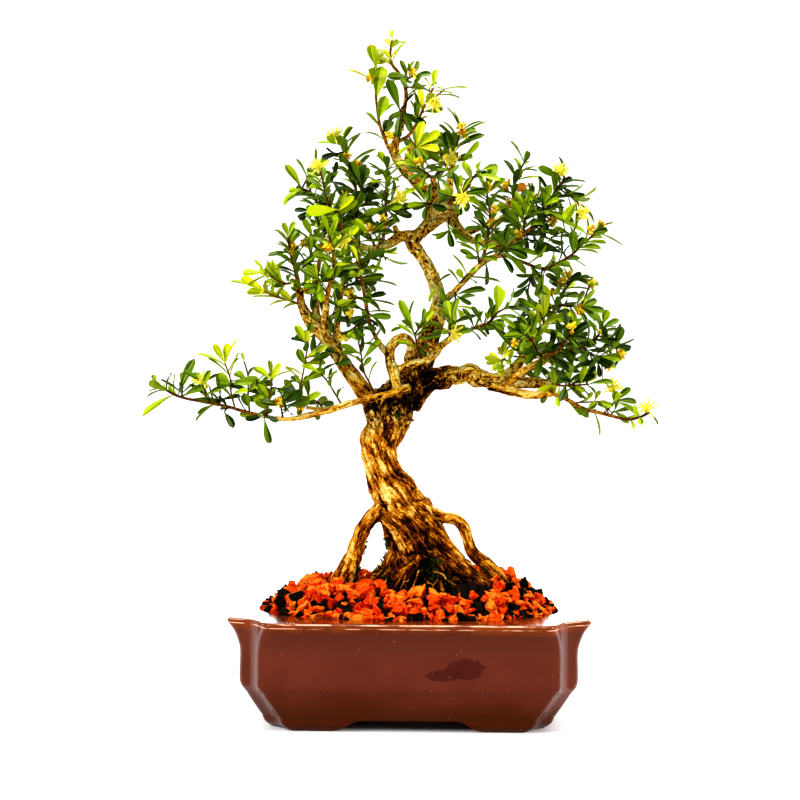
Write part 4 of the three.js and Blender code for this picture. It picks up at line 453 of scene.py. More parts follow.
def soil_material():
    paint = Paint("soil", Specular_IOR_Level=0.2)
    place = paint.place()
    grain = paint.noise(place, 700, 5)
    fleck = paint.noise(place, 1500, 2)
    colour = paint.mix(paint.spread(fleck, 0.68, 0.75), paint.ramp(grain, SOIL_GRAINS), SOIL_FLECK)
    return paint.finish(colour, paint.spread(grain, 0, 1, 0.8, 1.0), grain, 0.8)


def lava_material():
    """Red chips with painted shade in their pits and painted highlight on their raised grain, and black lumps among
    them. Each flat face gets painted light and shade by the way it faces, lighter facing up.
    """
    paint = Paint("lava", Specular_IOR_Level=0.08)
    place = paint.place()
    tone = paint.value("tone")
    grain = paint.noise(place, 420, 5, 0.7)
    # Painted light and shade: each flat face is lighter or darker by the way it faces, and lighter where it faces
    # up.
    faced = paint.node("ShaderNodeNewGeometry", {}, "True Normal")
    painted_facet_shade = paint.spread(paint.noise(faced, 3.2, 2), 0.3, 0.7, -0.42, 0.42)
    painted_light_facing_up = paint.spread(paint.part(faced, "Z"), -0.4, 0.9, -0.22, 0.14)
    shade = paint.plus(paint.times(paint.value("shade"), 0.6), paint.plus(painted_facet_shade, painted_light_facing_up))
    shade = paint.plus(shade, 0.27)
    colour = paint.mix(tone, paint.ramp(shade, LAVA_RED), paint.ramp(shade, LAVA_BLACK))
    is_red = paint.minus(1.0, tone)
    # Painted shade in the pits of the grain, and painted highlight on its raised grain.
    colour = paint.mix(paint.times(paint.spread(grain, 0.35, 0.45, 0.85, 0), is_red), colour, LAVA_PIT_SHADE)
    colour = paint.mix(paint.times(paint.spread(grain, 0.54, 0.66, 0, 0.7), is_red), colour, LAVA_GRAIN_HIGHLIGHT)
    height = paint.plus(grain, paint.times(paint.cells(place, 900), 0.6))
    return paint.finish(colour, paint.spread(grain, 0, 1, 0.8, 0.95), height, 0.8)


def net_material():
    paint = Paint("net", Specular_IOR_Level=0.4)
    cloud = paint.noise(paint.place(), 300, 3)
    rough = paint.spread(cloud, 0.3, 0.7, 0.45, 0.65)
    return paint.finish(paint.ramp(cloud, NET_BLACK), rough, cloud, 0.3, 0.0005)


def bark_material():
    """Colour from the relief made in the mesh, darker in its creases and cracks and lighter on its ridges, partly
    the bark's own tones and partly painted shade and painted highlight, and finer strands that follow each branch.
    """
    paint = Paint("bark", Specular_IOR_Level=0.08)
    strand = paint.node("ShaderNodeAttribute", {}, "Vector", attribute_name="strand")
    relief = paint.value("relief")
    flake = paint.value("flake")
    wander = paint.node("ShaderNodeTexNoise", {"Vector": strand, "Scale": 0.7, "Detail": 2.0}, "Color")

    def plates(bend, stretch, scale, edge, tones):
        """The tone of each plate of bark, and 1 in the cracks between them."""
        bent = paint.vectors("ADD", paint.stretched(wander, (bend,) * 3), paint.stretched(strand, (1, 1, stretch)))
        plate = paint.spread(paint.cells(bent, scale, "Color"), 0.25, 0.75, *tones)
        return plate, paint.spread(paint.cells(bent, scale, feature="DISTANCE_TO_EDGE"), 0, edge, 1, 0)

    fibre = paint.noise(paint.stretched(strand, (1, 1, 0.2)), 1.3, 5, 0.7)
    crumb = paint.noise(paint.stretched(strand, (1, 1, 0.7)), 1.0, 5, 0.72)
    fine = paint.node("ShaderNodeMix", {"Factor": flake, 2: fibre, 3: crumb}, 0)
    patch = paint.noise(paint.stretched(strand, (1, 1, 0.35)), 0.16, 3)
    # Painted shade and highlight: the level runs from dark in the mesh's creases to light on its ridges, over the
    # bark's own tones.
    level = paint.times(relief, 0.72)
    level = paint.plus(level, paint.times(paint.spread(fine, 0.38, 0.62), 0.52))
    level = paint.plus(level, paint.times(paint.spread(patch, 0.38, 0.62), 0.24))
    level = paint.plus(level, paint.times(paint.minus(paint.value("tone"), 0.98), 0.95))
    # The cracks between plates and strips are darker, partly the bark's own dark cracks and partly painted shade.
    chip, crack = plates(2.6, 0.6, 0.52, 0.11, (-0.17, 0.40))
    chip = paint.minus(chip, paint.times(crack, 0.42))
    level = paint.plus(level, paint.times(chip, flake))
    strip, split = plates(2.0, 0.14, 0.42, 0.10, (-0.09, 0.34))
    strip = paint.minus(strip, paint.times(split, 0.30))
    level = paint.plus(level, paint.times(strip, paint.minus(1.0, flake)))
    high = paint.plus(paint.part(paint.place(), "Z"), paint.times(patch, 0.06))
    colour = paint.mix(paint.spread(high, *GOLDEN_HEIGHTS), paint.ramp(level, BARK_BROWN),
                       paint.ramp(level, BARK_GOLDEN))
    rough = paint.spread(level, 0.2, 0.9, 0.95, 0.7)
    height = paint.plus(fine, paint.times(relief, 0.5))
    height = paint.minus(height, paint.times(crack, flake))
    return paint.finish(colour, rough, height, 1.0, 0.0012)


def twig_material():
    paint = Paint("twig", Specular_IOR_Level=0.12)
    blot = paint.noise(paint.place(), 420, 4, 0.65)
    young = paint.ramp(paint.value("tone"), TWIG_YOUNG)
    colour = paint.mix(paint.value("thick"), young, paint.ramp(blot, TWIG_BARK))
    colour = paint.mix(paint.spread(blot, 0.52, 0.7, 0, 0.4), colour, TWIG_PALE)
    return paint.finish(colour, paint.spread(blot, 0.3, 0.7, 0.55, 0.8), blot, 0.5, 0.0005)


def leaf_material():
    """Blades: dark old leaves to lime new ones, with a pale midrib, fine side veins and a dull underside. One half
    of each blade is painted lighter as painted light, and the margins are lighter, partly their own pale edge and
    partly painted highlight.
    """
    paint = Paint("leaf", Specular_IOR_Level=0.20)
    along = paint.value("along")
    side = paint.value("across")
    across = paint.math("ABSOLUTE", side)
    tone = paint.value("tone")
    under = paint.value("under")
    withered = paint.value("withered")
    cloud = paint.noise(paint.place(), 260, 3)
    light = paint.ramp(tone, LEAF_LIGHT)
    bright = paint.plus(paint.value("shade"), paint.times(cloud, 0.5))
    # Painted light: one half of each blade is painted lighter than the other, as if the blade were folded along its
    # midrib.
    bright = paint.plus(bright, paint.spread(side, -0.25, 0.25, 0.28, -0.22))
    colour = paint.mix(paint.spread(bright, 0.42, 1.14), paint.ramp(tone, LEAF_DEEP), light)
    vein = paint.math("SINE", paint.times(paint.times_plus(across, -0.55, along), 46))
    colour = paint.mix(paint.spread(vein, 0.5, 1.0, 0, 0.18), colour, light)
    rib_width = paint.spread(along, 0.0, 1.0, 0.24, 0.08)
    rib = paint.minus(1.0, paint.math("DIVIDE", across, rib_width), clamp=True)
    rib_colour = paint.ramp(tone, LEAF_RIB)
    colour = paint.mix(paint.times(rib, 2.2, clamp=True), colour, rib_colour)
    # The margins are painted lighter, partly the leaf's own pale edge and partly painted highlight.
    colour = paint.mix(paint.spread(across, 0.74, 1.0, 0, 0.75), colour, light)
    colour = paint.mix(paint.spread(along, 0.0, 0.14, 0.75, 0), colour, rib_colour)
    colour = paint.mix(paint.times(under, 0.85), colour, paint.ramp(tone, LEAF_UNDER))
    end_dry = paint.times(withered, paint.spread(along, 0.80, 1.0))
    whole_dry = paint.spread(withered, 1.0, 2.0)
    colour = paint.mix(paint.math("MAXIMUM", end_dry, whole_dry, clamp=True), colour, paint.ramp(cloud, LEAF_DRY))
    height = paint.plus(paint.times(vein, 0.12), paint.times(cloud, 0.5))
    return paint.finish(colour, paint.spread(under, 0.0, 1.0, 0.3, 0.6), height, 0.25, 0.0004)


def flower_material():
    paint = Paint("flower", Specular_IOR_Level=0.1)
    cloud = paint.noise(paint.place(), 700, 3)
    colour = paint.ramp(paint.value("tone"), FLOWER_AGES)
    colour = paint.mix(paint.spread(paint.value("shade"), 0.4, 1.0, 0, 0.6), colour, FLOWER_LIGHT)
    colour = paint.mix(paint.spread(cloud, 0.3, 0.5, 0.35, 0), colour, FLOWER_SPOT)
    return paint.finish(colour, paint.spread(cloud, 0.3, 0.7, 0.45, 0.7), cloud, 0.4, 0.0004)


def moss_material():
    paint = Paint("moss", Specular_IOR_Level=0.05)
    cloud = paint.noise(paint.place(), 500, 3)
    colour = paint.ramp(paint.plus(paint.value("shade"), paint.times(cloud, 0.4)), MOSS_GREEN)
    return paint.finish(colour, paint.spread(cloud, 0.3, 0.7, 0.85, 1.0), cloud, 0.5, 0.0004)


def floor_material():
    """White paper. In front of what the camera sees it is dark to reflections, as if a black card lay there. It
    glows to the camera, but not under the pot, where the withheld glow is a painted shadow.
    """
    paint = Paint("floor_white", Specular_IOR_Level=0.1, Roughness=0.9, Emission_Color=(1, 1, 1, 1))
    place = paint.place()
    depth = paint.part(place, "Y")
    reflected = paint.node("ShaderNodeLightPath", {}, "Is Glossy Ray")
    card = paint.times(reflected, paint.spread(depth, *CARD_EDGE, 1, 0))
    colour = paint.mix(card, paint.ramp(paint.noise(place, 3, 2), PAPER), CARD)
    # Painted shadow: under the pot the floor doesn't glow to the camera.
    aside = paint.math("ABSOLUTE", paint.minus(paint.part(place, "X"), float(SHIFT[0] * MM)))
    outside_painted_shadow = paint.math("MAXIMUM", paint.spread(aside, *POT_PAINTED_SHADOW_X),
                         paint.spread(paint.math("ABSOLUTE", depth), *POT_PAINTED_SHADOW_Y))
    glow = paint.times(paint.node("ShaderNodeLightPath", {}, "Is Camera Ray"), outside_painted_shadow)
    paint.tree.links.new(paint.times(glow, FLOOR_GLOW), paint.shader.inputs["Emission Strength"])
    return paint.finish(colour)


# The trunk: middle x, height, depth, half width and half depth of each section.
TRUNK = [
  [13, 64, -2, 36, 26], [12, 80, -2, 36, 27], [10, 92, -2, 32, 25], [8, 101, -2, 27.5, 22],
  [6, 110, -2, 23, 19.5], [4, 120, -2, 19.5, 17.5], [0, 131, -1, 18.5, 16.5], [-5, 140, 0, 17.5, 16],
  [-8, 147, 0, 16, 15], [-12, 154, 0, 14.8, 14.2], [-16, 161, 0, 13.1, 13.2], [-18.5, 168, 0, 11.8, 12.2],
  [-20.6, 175, 0, 11.5, 11.8], [-21.6, 182, 0, 12, 12], [-21, 188, 0, 12.4, 12.3], [-18, 195, 0, 13.2, 12.8],
  [-16.2, 202, 0, 15.2, 13.8], [-14.5, 209, 0, 18.3, 15], [-9.5, 216, 1, 13.5, 15], [-3.8, 225, 2, 11.5, 13.5],
  [-3, 234, 2, 9.5, 10],
]

# The other wood: drawn x, height, depth and radius of the points of each way.
WOOD = [
  # Stilt roots, with a hole between each and the trunk, then the roots that run into the soil.
  [[-12, 144, -3, 7], [-22, 139, -4, 5.6], [-28, 133, -5, 5], [-33.5, 125, -7, 5], [-37, 116, -9, 5.4],
    [-39.5, 107, -10, 6.2], [-43.5, 98, -12, 7], [-48, 89, -13, 7.2], [-52, 78, -14, 7], [-55, 66, -15, 5]],
  [[4, 139, -3, 6], [15, 137, -5, 4.2], [24, 134.5, -6, 3.7], [31, 133.3, -7, 4], [36, 129, -8, 4.2],
    [39, 121, -9, 3.7], [41.5, 113, -10, 3.9], [46, 107, -11, 4.2], [53, 101.5, -12, 4.4], [60, 95, -13, 4.4],
    [66, 87, -14, 4.2], [71, 77, -15, 3.8], [74, 66, -15, 3.4]],
  [[6, 134, -7, 8], [17, 121, -11, 7.2], [26, 110, -13, 6.6], [35, 100, -15, 6], [46, 91, -17, 5.6],
    [57, 83, -18, 5], [66, 70, -19, 4]],
  [[12, 112, -14, 5], [3, 102, -21, 4], [-5, 95, -25, 3.8], [-12, 86, -30, 3.6], [-16, 70, -33, 3]],
  [[14, 108, -12, 6], [20, 94, -25, 5.2], [24, 86, -33, 4.6], [28, 70, -39, 3.6]],
  [[-10, 108, -8, 6], [-18, 96, -14, 5.4], [-25, 86, -19, 5], [-30, 70, -23, 4]],
  [[-2, 118, 8, 6], [-8, 102, 23, 5.4], [-14, 91, 35, 5], [-20, 72, 45, 4]],
  [[8, 118, 8, 6], [16, 101, 24, 5.4], [25, 89, 37, 5], [33, 72, 46, 4]],
  # The leading stem, through the fork and the knot to the top.
  [[-6, 214, 3, 12], [1, 226, 3, 12], [6, 238, 3, 9.5], [10, 248, 3, 8], [13, 258, 2, 7], [16.5, 268, 1, 6.3],
    [19.3, 279, 0, 5.3], [19, 289, 0, 4.8], [16.5, 298, 0, 4.6], [12, 308, 1, 4.5], [6, 317, 1, 4.3],
    [1.5, 325, 1, 4.8], [7, 331, 2, 4.6], [14.5, 338, 2, 5], [20, 346, 2, 7.5], [17.5, 353, 1, 6],
    [9.5, 361, 0, 4.2], [2.5, 367.5, 0, 3.6], [-4, 374, 0, 3.4], [-9, 381, 0, 3.2], [-11.5, 388, 0, 3],
    [-9.5, 396, 0, 2.6], [-6.5, 406, 0, 2.3], [-4.3, 415, -1, 2]],
  [[13, 343, 0, 4.5], [19, 349, -1, 8.6], [26, 348, 1, 8.4], [31, 341, 3, 4.4]],
  [[4, 329, 1, 4], [-6, 328.5, 1, 3.7], [-13, 324.5, 0, 3.3], [-20, 321, -1, 3], [-28, 320, -2, 2.6],
    [-37, 323, -5, 2.3], [-43, 328, -7, 2]],
  [[-7, 327, 1, 2.6], [-11.5, 336, 1, 1.6]],
  [[26, 343, 4, 4.5], [31, 337, 5, 3.4], [36, 331, 6, 2.8], [42, 326, 6, 2.5], [49, 324.5, 6, 2.4],
    [58, 323, 3, 2.4], [66, 323, -0.5, 2.3]],
  # The loop, the branch in front of it and the pale strip down the trunk.
  [[-10, 230, -9, 4], [-13.5, 239, -13, 3.4], [-14.3, 249, -16, 3.3], [-11, 255.5, -17, 3.1],
    [-6, 258.4, -17, 3], [-0.6, 256, -16, 3], [0.4, 250, -13, 3], [-1.5, 244, -9, 3.2], [1, 237, -3, 3.6]],
  [[-11, 234, -11, 3.2], [-4, 238.4, -14, 2.9], [4, 241, -16, 2.8], [11, 242.8, -17, 2.7],
    [16.5, 246.5, -18, 2.6], [21, 253, -19, 2.4], [28.6, 258.6, -20, 2.2], [35, 262, -22.7, 1.9]],
  [[-12, 240, -14, 3], [-10.5, 230, -15, 2.9], [-8, 220, -15, 2.6]],
  [[-14, 247, -15, 2.5], [-19, 251, -16, 2.2], [-23, 257, -16, 2.1]],
  # The left limb and its stems.
  [[-20, 206, -2, 8], [-27, 214, -2, 6.4], [-36, 227, -4, 5.6], [-44, 238, -5, 5.2], [-53, 251, -5, 4.8],
    [-61, 261, -4, 4.6], [-69, 270, -3, 4], [-75, 281, -2, 3], [-76.8, 293, -3, 2.5]],
  [[-60, 260, -3, 3.6], [-64.5, 273, 1, 3.1], [-65.5, 287, 5, 2.7], [-65, 300, 9.7, 2.4]],
  [[-56, 256, -6, 3.2], [-59, 268, -15, 2.7], [-58.2, 282, -25.3, 2.3]],
  [[-49, 246, -3, 3.4], [-51, 262, 12, 2.8], [-49.2, 279, 27.2, 2.4]],
  # The long low branch on the left, and the shoot beside it.
  [[-1, 224, -13, 2.9], [-14, 220, -18.5, 2.6], [-29, 216.3, -22, 2.4], [-43, 213, -23, 2.3], [-55, 208.5, -23, 2.2],
    [-69, 205.3, -23, 2.1], [-83, 202.5, -23, 1.9], [-94, 202.9, -23, 1.8]],
  [[-46, 212, -22, 1.7], [-60, 209.6, -18, 1.5], [-72, 210.3, -14, 1.4]],
  # The knobbly right limb and its strands.
  [[-2, 224, 2, 11], [8, 227, 1, 9.6], [15, 230, 0, 8], [21, 230.5, -1, 8], [27, 233.5, -2, 6.4],
    [34, 232.5, -2, 6], [41, 235, -3, 5.7], [46, 231, -3, 6.1], [54, 229.3, -3, 5.3], [63, 228, -3, 5],
    [73, 227.6, -3, 4.4], [83, 227.6, -4, 3.5], [93, 227, -6, 2.9], [99, 226.6, -7.2, 2.2]],
  [[58, 230, 0, 3.8], [67, 234, 3, 3.3], [74, 240, 5, 3.1], [79, 248, 7, 2.8], [85.4, 257, 9.8, 2.4]],
  [[54, 226.5, -5, 3.8], [66, 222.6, -7, 3.4], [77, 220, -9, 3.1], [88, 219, -11, 2.7], [98, 220.3, -12, 2.2]],
  [[72, 230, 1, 3], [82, 237, 14, 2.5], [93, 242.4, 26.8, 2.1]],
  [[68, 229, -6, 3], [78, 236, -18, 2.5], [87.2, 241.5, -27.5, 2.2]],
  [[79, 245, 7, 2.4], [93, 247, 3, 2.1], [105, 249.2, -1.3, 1.9]],
  # The upper right branches.
  [[18, 281, -1, 3], [27, 287.5, -4, 2.4], [36, 296.5, -6, 2.2], [45, 306, -8, 2.1], [55, 313.5, -8, 2],
    [65, 315.8, -9, 1.8]],
  [[37, 330, 6, 2.5], [49, 335, 19, 2.1], [61, 340.2, 31, 1.9]],
  # The branches at the top.
  [[23, 351, 5, 3], [27, 359, 18, 2.5], [28, 371.5, 39.5, 1.8]],
  [[26, 351, 1, 3], [34, 357, -6, 2.4], [41, 366, -14, 1.8]],
  [[17, 355, -3, 3], [17, 363, -16, 2.3], [15, 369, -25, 1.8]],
  [[23, 353, 2, 2.6], [27, 366, 3, 2.1], [29.3, 378, 4, 1.9]],
  [[-11, 385, 0, 2.1], [-16.5, 392.3, -2.8, 1.7]],
  [[-3, 373, 1, 2.4], [-2, 384, 14, 2], [0.7, 390, 21, 1.8]],
]

# One stem in each row: its node, its age and its radius; its way, as drawn x, height and depth; its leaves, each
# with the share of the stem where it starts, its tip's x and height, how far its face is turned up in degrees and,
# where given, its length and relative width; its buds and blooms; and how many crossed pairs of leaves it ends in.
SPRAYS = [
  # The long low branch on the left.
  ['low_left_end', 'mid', 1.8, [[-93.6, 202.9, -23], [-112, 207, -22], [-128, 211.5, -21], [-143, 214.3, -20],
    [-158, 217.5, -18], [-167, 221.5, -17], [-175, 227, -16]], [[0.83, -185, 205, 50], [0.93, -180, 222, 75],
    [0.9, -165, 234, 85], [1, -178, 233, 20, 8], [0.8, -149, 244, 25, 25], [0.77, -139, 226, 30],
    [0.7, -131, 213, 40]], [], 2],
  ['low_left_end', 'mid', 0.9, [[-138, 213, -20], [-141, 219, -24], [-143, 225, -28]], [[0.5, -129, 224, 50],
    [0.8, -149, 235, 35], [0.9, -138, 236, 35], [0.2, -152, 227, 60]], [['bloom', -143, 228, -29]], 0],
  ['low_left_end', 'new', 0.9, [[-121, 209.5, -21.5], [-124, 222, -24], [-124.5, 231, -25], [-128, 241, -26]],
    [[1, -136, 254, 15, 15], [1, -126, 255, 15, 15], [0.95, -147, 247, 70], [0.97, -119, 257, 70],
    [0.75, -140, 244, 80], [0.7, -118, 249, 80], [0.45, -132, 234, 20], [0.4, -117, 229, 50], [0.3, -112, 222, 60]],
    [], 0],
  ['low_left_end', 'old', 0.9, [[-124, 210.5, -21], [-127, 209.5, -26], [-128.5, 207, -29]],
    [[1, -122, 197, 30, 16], [0.4, -132, 218, 60, 10]], [], 0],
  ['low_left_end', 'mid', 0.9, [[-111, 206.8, -22], [-112, 220, -18], [-112, 232, -17], [-115, 243, -17]],
    [[0.1, -115, 220, 0, 15, 1.3], [0.45, -128, 226, 70], [0.4, -104, 230, 10], [0.7, -106, 239, 50],
    [0.95, -117, 248, 60, 9], [0.6, -121, 235, 20], [0.3, -101, 218, 50]], [], 0],
  ['low_left_gold', 'new', 1, [[-99, 203.2, -23], [-98, 213, -29], [-96, 224, -32], [-96, 231, -33]],
    [[0.5, -105, 226, 10], [0.35, -103, 229, 60], [0.2, -108, 216, 40], [0.4, -95, 224, 10, 14], [1, -89, 240, 30],
    [0.95, -107, 238, 30], [1, -98, 243, 50, 13]], [], 0],
  ['low_left_pair', 'old', 1, [[-88, 202.7, -23], [-89, 209, -27], [-90, 213, -29]],
    [[0.9, -74, 221.5, 15, 17, 1.2], [1, -81, 225, 30], [0.9, -104, 214, 25], [0.6, -82, 206, 70]],
    [['buds', -90, 213.5, -31]], 0],
  ['low_left_up', 'new', 1.1, [[-76, 203.9, -23], [-76, 215, -20], [-75.5, 226, -18], [-73, 240, -17],
    [-71, 252, -16]], [[0.2, -62, 220, 35], [0.45, -81, 232, 30], [0.5, -59, 237, 5, 20, 1.2], [0.5, -84, 228, 50],
    [0.75, -78, 251, 10], [0.75, -59, 242, 30], [0.85, -57, 253, 30], [1, -79, 267, 20], [1, -70, 263, 30],
    [0.6, -86, 239, 80]], [['buds', -76, 211, -20]], 0],
  ['low_left_back', 'mid', 1.1, [[-60, 209.7, -18], [-64, 214, -8], [-70, 217, 3], [-78, 219, 12]],
    [[1, -92, 222, 50], [0.7, -72, 229, 40]], [], 3],
  ['limb_low', 'mid', 1, [[-47, 211.8, -22.5], [-52, 220, -24], [-57, 228, -25], [-62, 234, -26]],
    [[0.6, -54, 238, 60, 11], [1, -75, 240, 40, 15], [0.8, -51, 235, 70, 10], [1, -60, 245, 50, 12]], [], 0],
  ['limb_mid', 'old', 1, [[-52, 249, -8], [-49, 246, -13], [-51, 240, -17]], [[1, -41, 243, 15, 12, 1.2],
    [0.5, -38, 249, 70, 16], [0.9, -60, 236, 60, 11], [0.4, -61, 253, 20, 14]], [], 0],
  # The cluster on the left limb.
  ['left_far', 'new', 1.2, [[-75, 281, -2], [-84, 284.5, -8], [-93, 287, -14], [-102, 291.5, -18]],
    [[1, -117, 300, 15, 17, 1.2], [0.95, -112, 296, 30], [0.95, -125, 298, 75, 24], [0.1, -88, 278, 60],
    [0.5, -109, 287, 80], [0.35, -98, 281, 70], [0.25, -90, 290, 20]], [], 1],
  ['left_upper', 'mid', 2.3, [[-76.7, 292.6, -3], [-79.5, 306, -5], [-82.5, 317, -7], [-84.5, 328, -10]],
    [[0.7, -98, 315, 50], [0.8, -78, 334, 10, 17, 1.2], [1, -88, 338, 30, 12], [0.97, -80, 339, 30, 13],
    [0.75, -92, 323, 80, 12], [0.95, -94, 333, 80, 13], [0.6, -93, 306, 60], [0.5, -66, 308, 50]],
    [['buds', -81, 320, -10]], 0],
  ['left_upper', 'new', 1.1, [[-77.5, 297, -4], [-87, 296, -11], [-95, 300, -14], [-101, 303.5, -15]],
    [[0.45, -98, 311, 10, 19, 1.2], [1, -116, 303, 20, 16], [1, -108, 312, 60, 11], [0.3, -83, 303, 30, 13],
    [0.8, -96, 290, 70, 13]], [], 0],
  ['left_upper', 'mid', 1.1, [[-79, 304, -5], [-72, 309, -2], [-68.5, 318, 0], [-67, 327, 1]],
    [[0.6, -69, 334, 10, 15], [0.5, -57, 322, 50], [1, -74, 341, 20, 16], [0.3, -64, 304, 20, 14],
    [0.15, -66, 315, 50], [0.9, -59, 337, 50]], [['buds', -73, 324, -2]], 0],
  ['left_behind', 'mid', 2.3, [[-65, 299.6, 9.6], [-62, 316, 15], [-60, 331, 19], [-62, 345, 23], [-67, 357, 25],
    [-75, 361.5, 22]], [[1, -86, 378, 20], [1, -88, 351, 35], [0.9, -71, 376, 60, 16], [0.75, -54, 358, 30],
    [0.3, -75, 323, 50]], [], 2],
  ['left_behind', 'old', 1.1, [[-60, 329, 18.5], [-53, 335, 26], [-47, 341, 33]], [[1, -38, 353, 40],
    [0.8, -58, 350, 40]], [['buds', -53, 338, 28]], 3],
  ['left_arm_end', 'mid', 2, [[-42.6, 327.6, -6.8], [-52, 342, -12], [-57, 352, -14], [-60, 365, -17]],
    [[1, -61, 379, 15, 14], [0.95, -70, 363, 30, 13], [0.9, -50, 373, 40], [0.7, -73, 355, 60, 16],
    [0.97, -72, 373, 60, 15]], [['bloom', -63, 376, -20]], 0],
  ['left_arm_end', 'new', 1, [[-51, 340.5, -11.5], [-50.5, 344, -17], [-50, 347, -21]], [[1, -72, 346, 5, 22, 1.3],
    [0.6, -66, 335, 30, 18], [0.7, -39, 356, 30], [0.3, -44, 333, 60]], [], 0],
  ['left_arm_end', 'old', 1, [[-56.5, 351, -14], [-63, 350, -16], [-69, 346.5, -17]], [[1, -80, 346, 30, 12],
    [0.5, -56, 361, 30], [0.9, -64, 335, 60]], [], 0],
  ['left_crown', 'mid', 2, [[-35.5, 322.5, -4], [-37, 338, 5], [-37, 355, 10], [-40, 372, 12], [-44, 382, 12],
    [-48, 392, 13]], [[1, -58, 399, 20, 13], [1, -41, 405, 50, 15], [0.97, -34, 400, 80, 16],
    [0.85, -57, 385, 40, 15], [0.8, -24, 389, 60, 18], [0.75, -32, 377, 10, 18]], [['bloom', -52, 397, 13],
    ['buds', -44, 384, 10], ['buds', -37, 378, 9]], 0],
  ['left_crown', 'old', 1.1, [[-37, 353, 9.5], [-34, 358, 5], [-34, 364, 2]], [[1, -42, 380, 5, 18, 1.3],
    [0.7, -29, 376, 10], [0.3, -27, 350, 50], [0.5, -50, 361, 30], [0.2, -22, 357, 50], [0.6, -20, 367, 60]],
    [['buds', -45, 357, 2]], 0],
  ['left_crown', 'mid', 1.1, [[-37, 337, 5], [-39, 340, -2], [-41, 343, -6]], [[1, -34, 360, 0, 18, 1.7],
    [0.8, -18, 333, 50, 24], [0.5, -54, 337, 30], [0.9, -54, 351, 40, 15], [0.3, -28, 342, 20]], [], 0],
  ['left_stem', 'mid', 1.9, [[-20, 321.4, -1], [-17.5, 336, -7], [-17, 351, -10], [-16.5, 365, -10],
    [-16, 377, -11]], [[1, -22, 387, 15, 12, 1.2], [0.95, -10, 377, 60, 12], [0.85, -8, 367, 60, 11],
    [0.9, -28, 377, 70, 15], [0.8, -28, 366, 60, 14]], [], 0],
  ['left_stem', 'mid', 1, [[-17.2, 345, -9], [-15, 350, -13], [-12, 353, -16]], [[1, 4, 361, 50],
    [0.6, -24, 358, 50, 12], [0.2, -1, 344, 45, 17], [0.1, -29, 342, 50], [0.2, -8, 338, 45, 13]],
    [['bloom', -9, 354.5, -18], ['buds', -18, 341, -12]], 0],
  ['left_open_bloom', 'mid', 1.3, [[-40, 325.8, -6], [-43, 323, -15], [-45, 324, -22]], [[1, -36, 336, 20, 15, 1.2],
    [0.8, -56, 333, 50, 14], [0.7, -56, 319, 60, 13], [0.5, -31, 314, 50]], [['bloom', -45.5, 325, -25]], 0],
  ['arm_left', 'mid', 1.3, [[-24, 320.5, -1.5], [-27, 327, -6], [-29, 331, -11]], [[0.9, -11, 331, 60],
    [0.7, -8, 341, 50, 21], [1, -38, 340, 40], [0.4, -16, 326, 70, 13]], [['buds', -28, 334, -12]], 0],
  ['thin_stem', 'mid', 2.1, [[-22.8, 256.6, -16], [-28, 268, -15], [-30.5, 281, -14], [-33.5, 298, -11],
    [-37, 316, -8], [-35, 325, -9]], [[0.85, -9, 317, 60, 26], [0.83, -20, 312, 60, 17], [1, -20, 325, 60, 15],
    [0.93, -50, 315, 40, 15], [0.97, -38, 336, 30, 13], [0.6, -9, 294, 80, 24], [0.62, -18, 301, 40, 17],
    [0.3, -13, 276, 80, 18], [0.3, -17, 261, 60, 15]], [], 0],
  ['thin_stem', 'new', 1, [[-33.8, 299.5, -10.8], [-34.5, 306, -16], [-36, 311, -20]], [[0.5, -19, 306, 60, 17],
    [0.1, -43, 303, 20, 11, 1.2], [0.2, -35, 305, 20, 11, 1.2], [0.6, -52, 309, 30, 17], [1, -41, 322, 50, 13]], [],
    0],
  ['thin_stem', 'mid', 1, [[-31.3, 285, -13.3], [-35, 286.5, -17], [-39, 285, -21]], [[0.15, -17, 289, 40, 17],
    [0.4, -27, 284, 10, 14, 1.3], [0.2, -11, 281, 80, 20], [0.5, -21, 278, 50, 19], [1, -50, 281, 30, 15, 1.2],
    [0.8, -46, 293, 40, 14]], [['buds', -42, 289.5, -21], ['buds', -41, 276, -20]], 0],
  ['thin_stem', 'old', 1, [[-29.5, 275, -14.4], [-33, 271, -18], [-37, 267, -21]], [[0.5, -36, 257, 20, 15, 1.2],
    [1, -50, 271, 50, 15], [0.8, -44, 257, 20, 13], [0.3, -22, 266, 60, 13]], [['buds', -46, 260, -20]], 0],
  ['shoot_between', 'mid', 1.1, [[-24, 217.5, -21], [-28, 227, -22], [-32.5, 236, -22], [-34, 247, -21],
    [-36, 256, -20]], [[0.55, -27, 245, 30, 9, 1.2], [0.6, -38, 246, 50, 8], [0.65, -21, 258, 50, 15],
    [0.8, -46, 250, 20, 14], [1, -43, 262, 40, 12], [1, -33, 268, 40, 13]], [], 0],
  ['left_front', 'mid', 2.3, [[-58.3, 281.6, -25], [-55, 299, -35], [-52.5, 313, -41], [-56, 329, -47]],
    [[1, -62, 343, 50], [0.8, -42, 328, 60], [0.65, -67, 316, 30, 17, 1.2], [0.7, -44, 312, 30],
    [0.9, -50, 341, 50], [0.5, -41, 305, 50]], [['buds', -57, 322, -47]], 1],
  ['left_front', 'mid', 1.1, [[-57, 289, -29.5], [-61, 294, -36], [-64, 299, -41]], [[1, -72, 308, 40],
    [0.8, -54, 309, 50], [0.5, -73, 293, 50], [0.3, -50, 296, 20], [0.9, -62, 283, 30]], [], 0],
  ['left_inner', 'mid', 1.2, [[-65.3, 290, 6], [-70, 289, 0], [-74, 291, -6]], [[1, -83, 298, 40],
    [0.7, -70, 304, 30], [0.4, -68, 278, 50, 14], [0.9, -83, 284, 40], [0.5, -59, 292, 30, 13]],
    [['buds', -72, 293, -6]], 0],
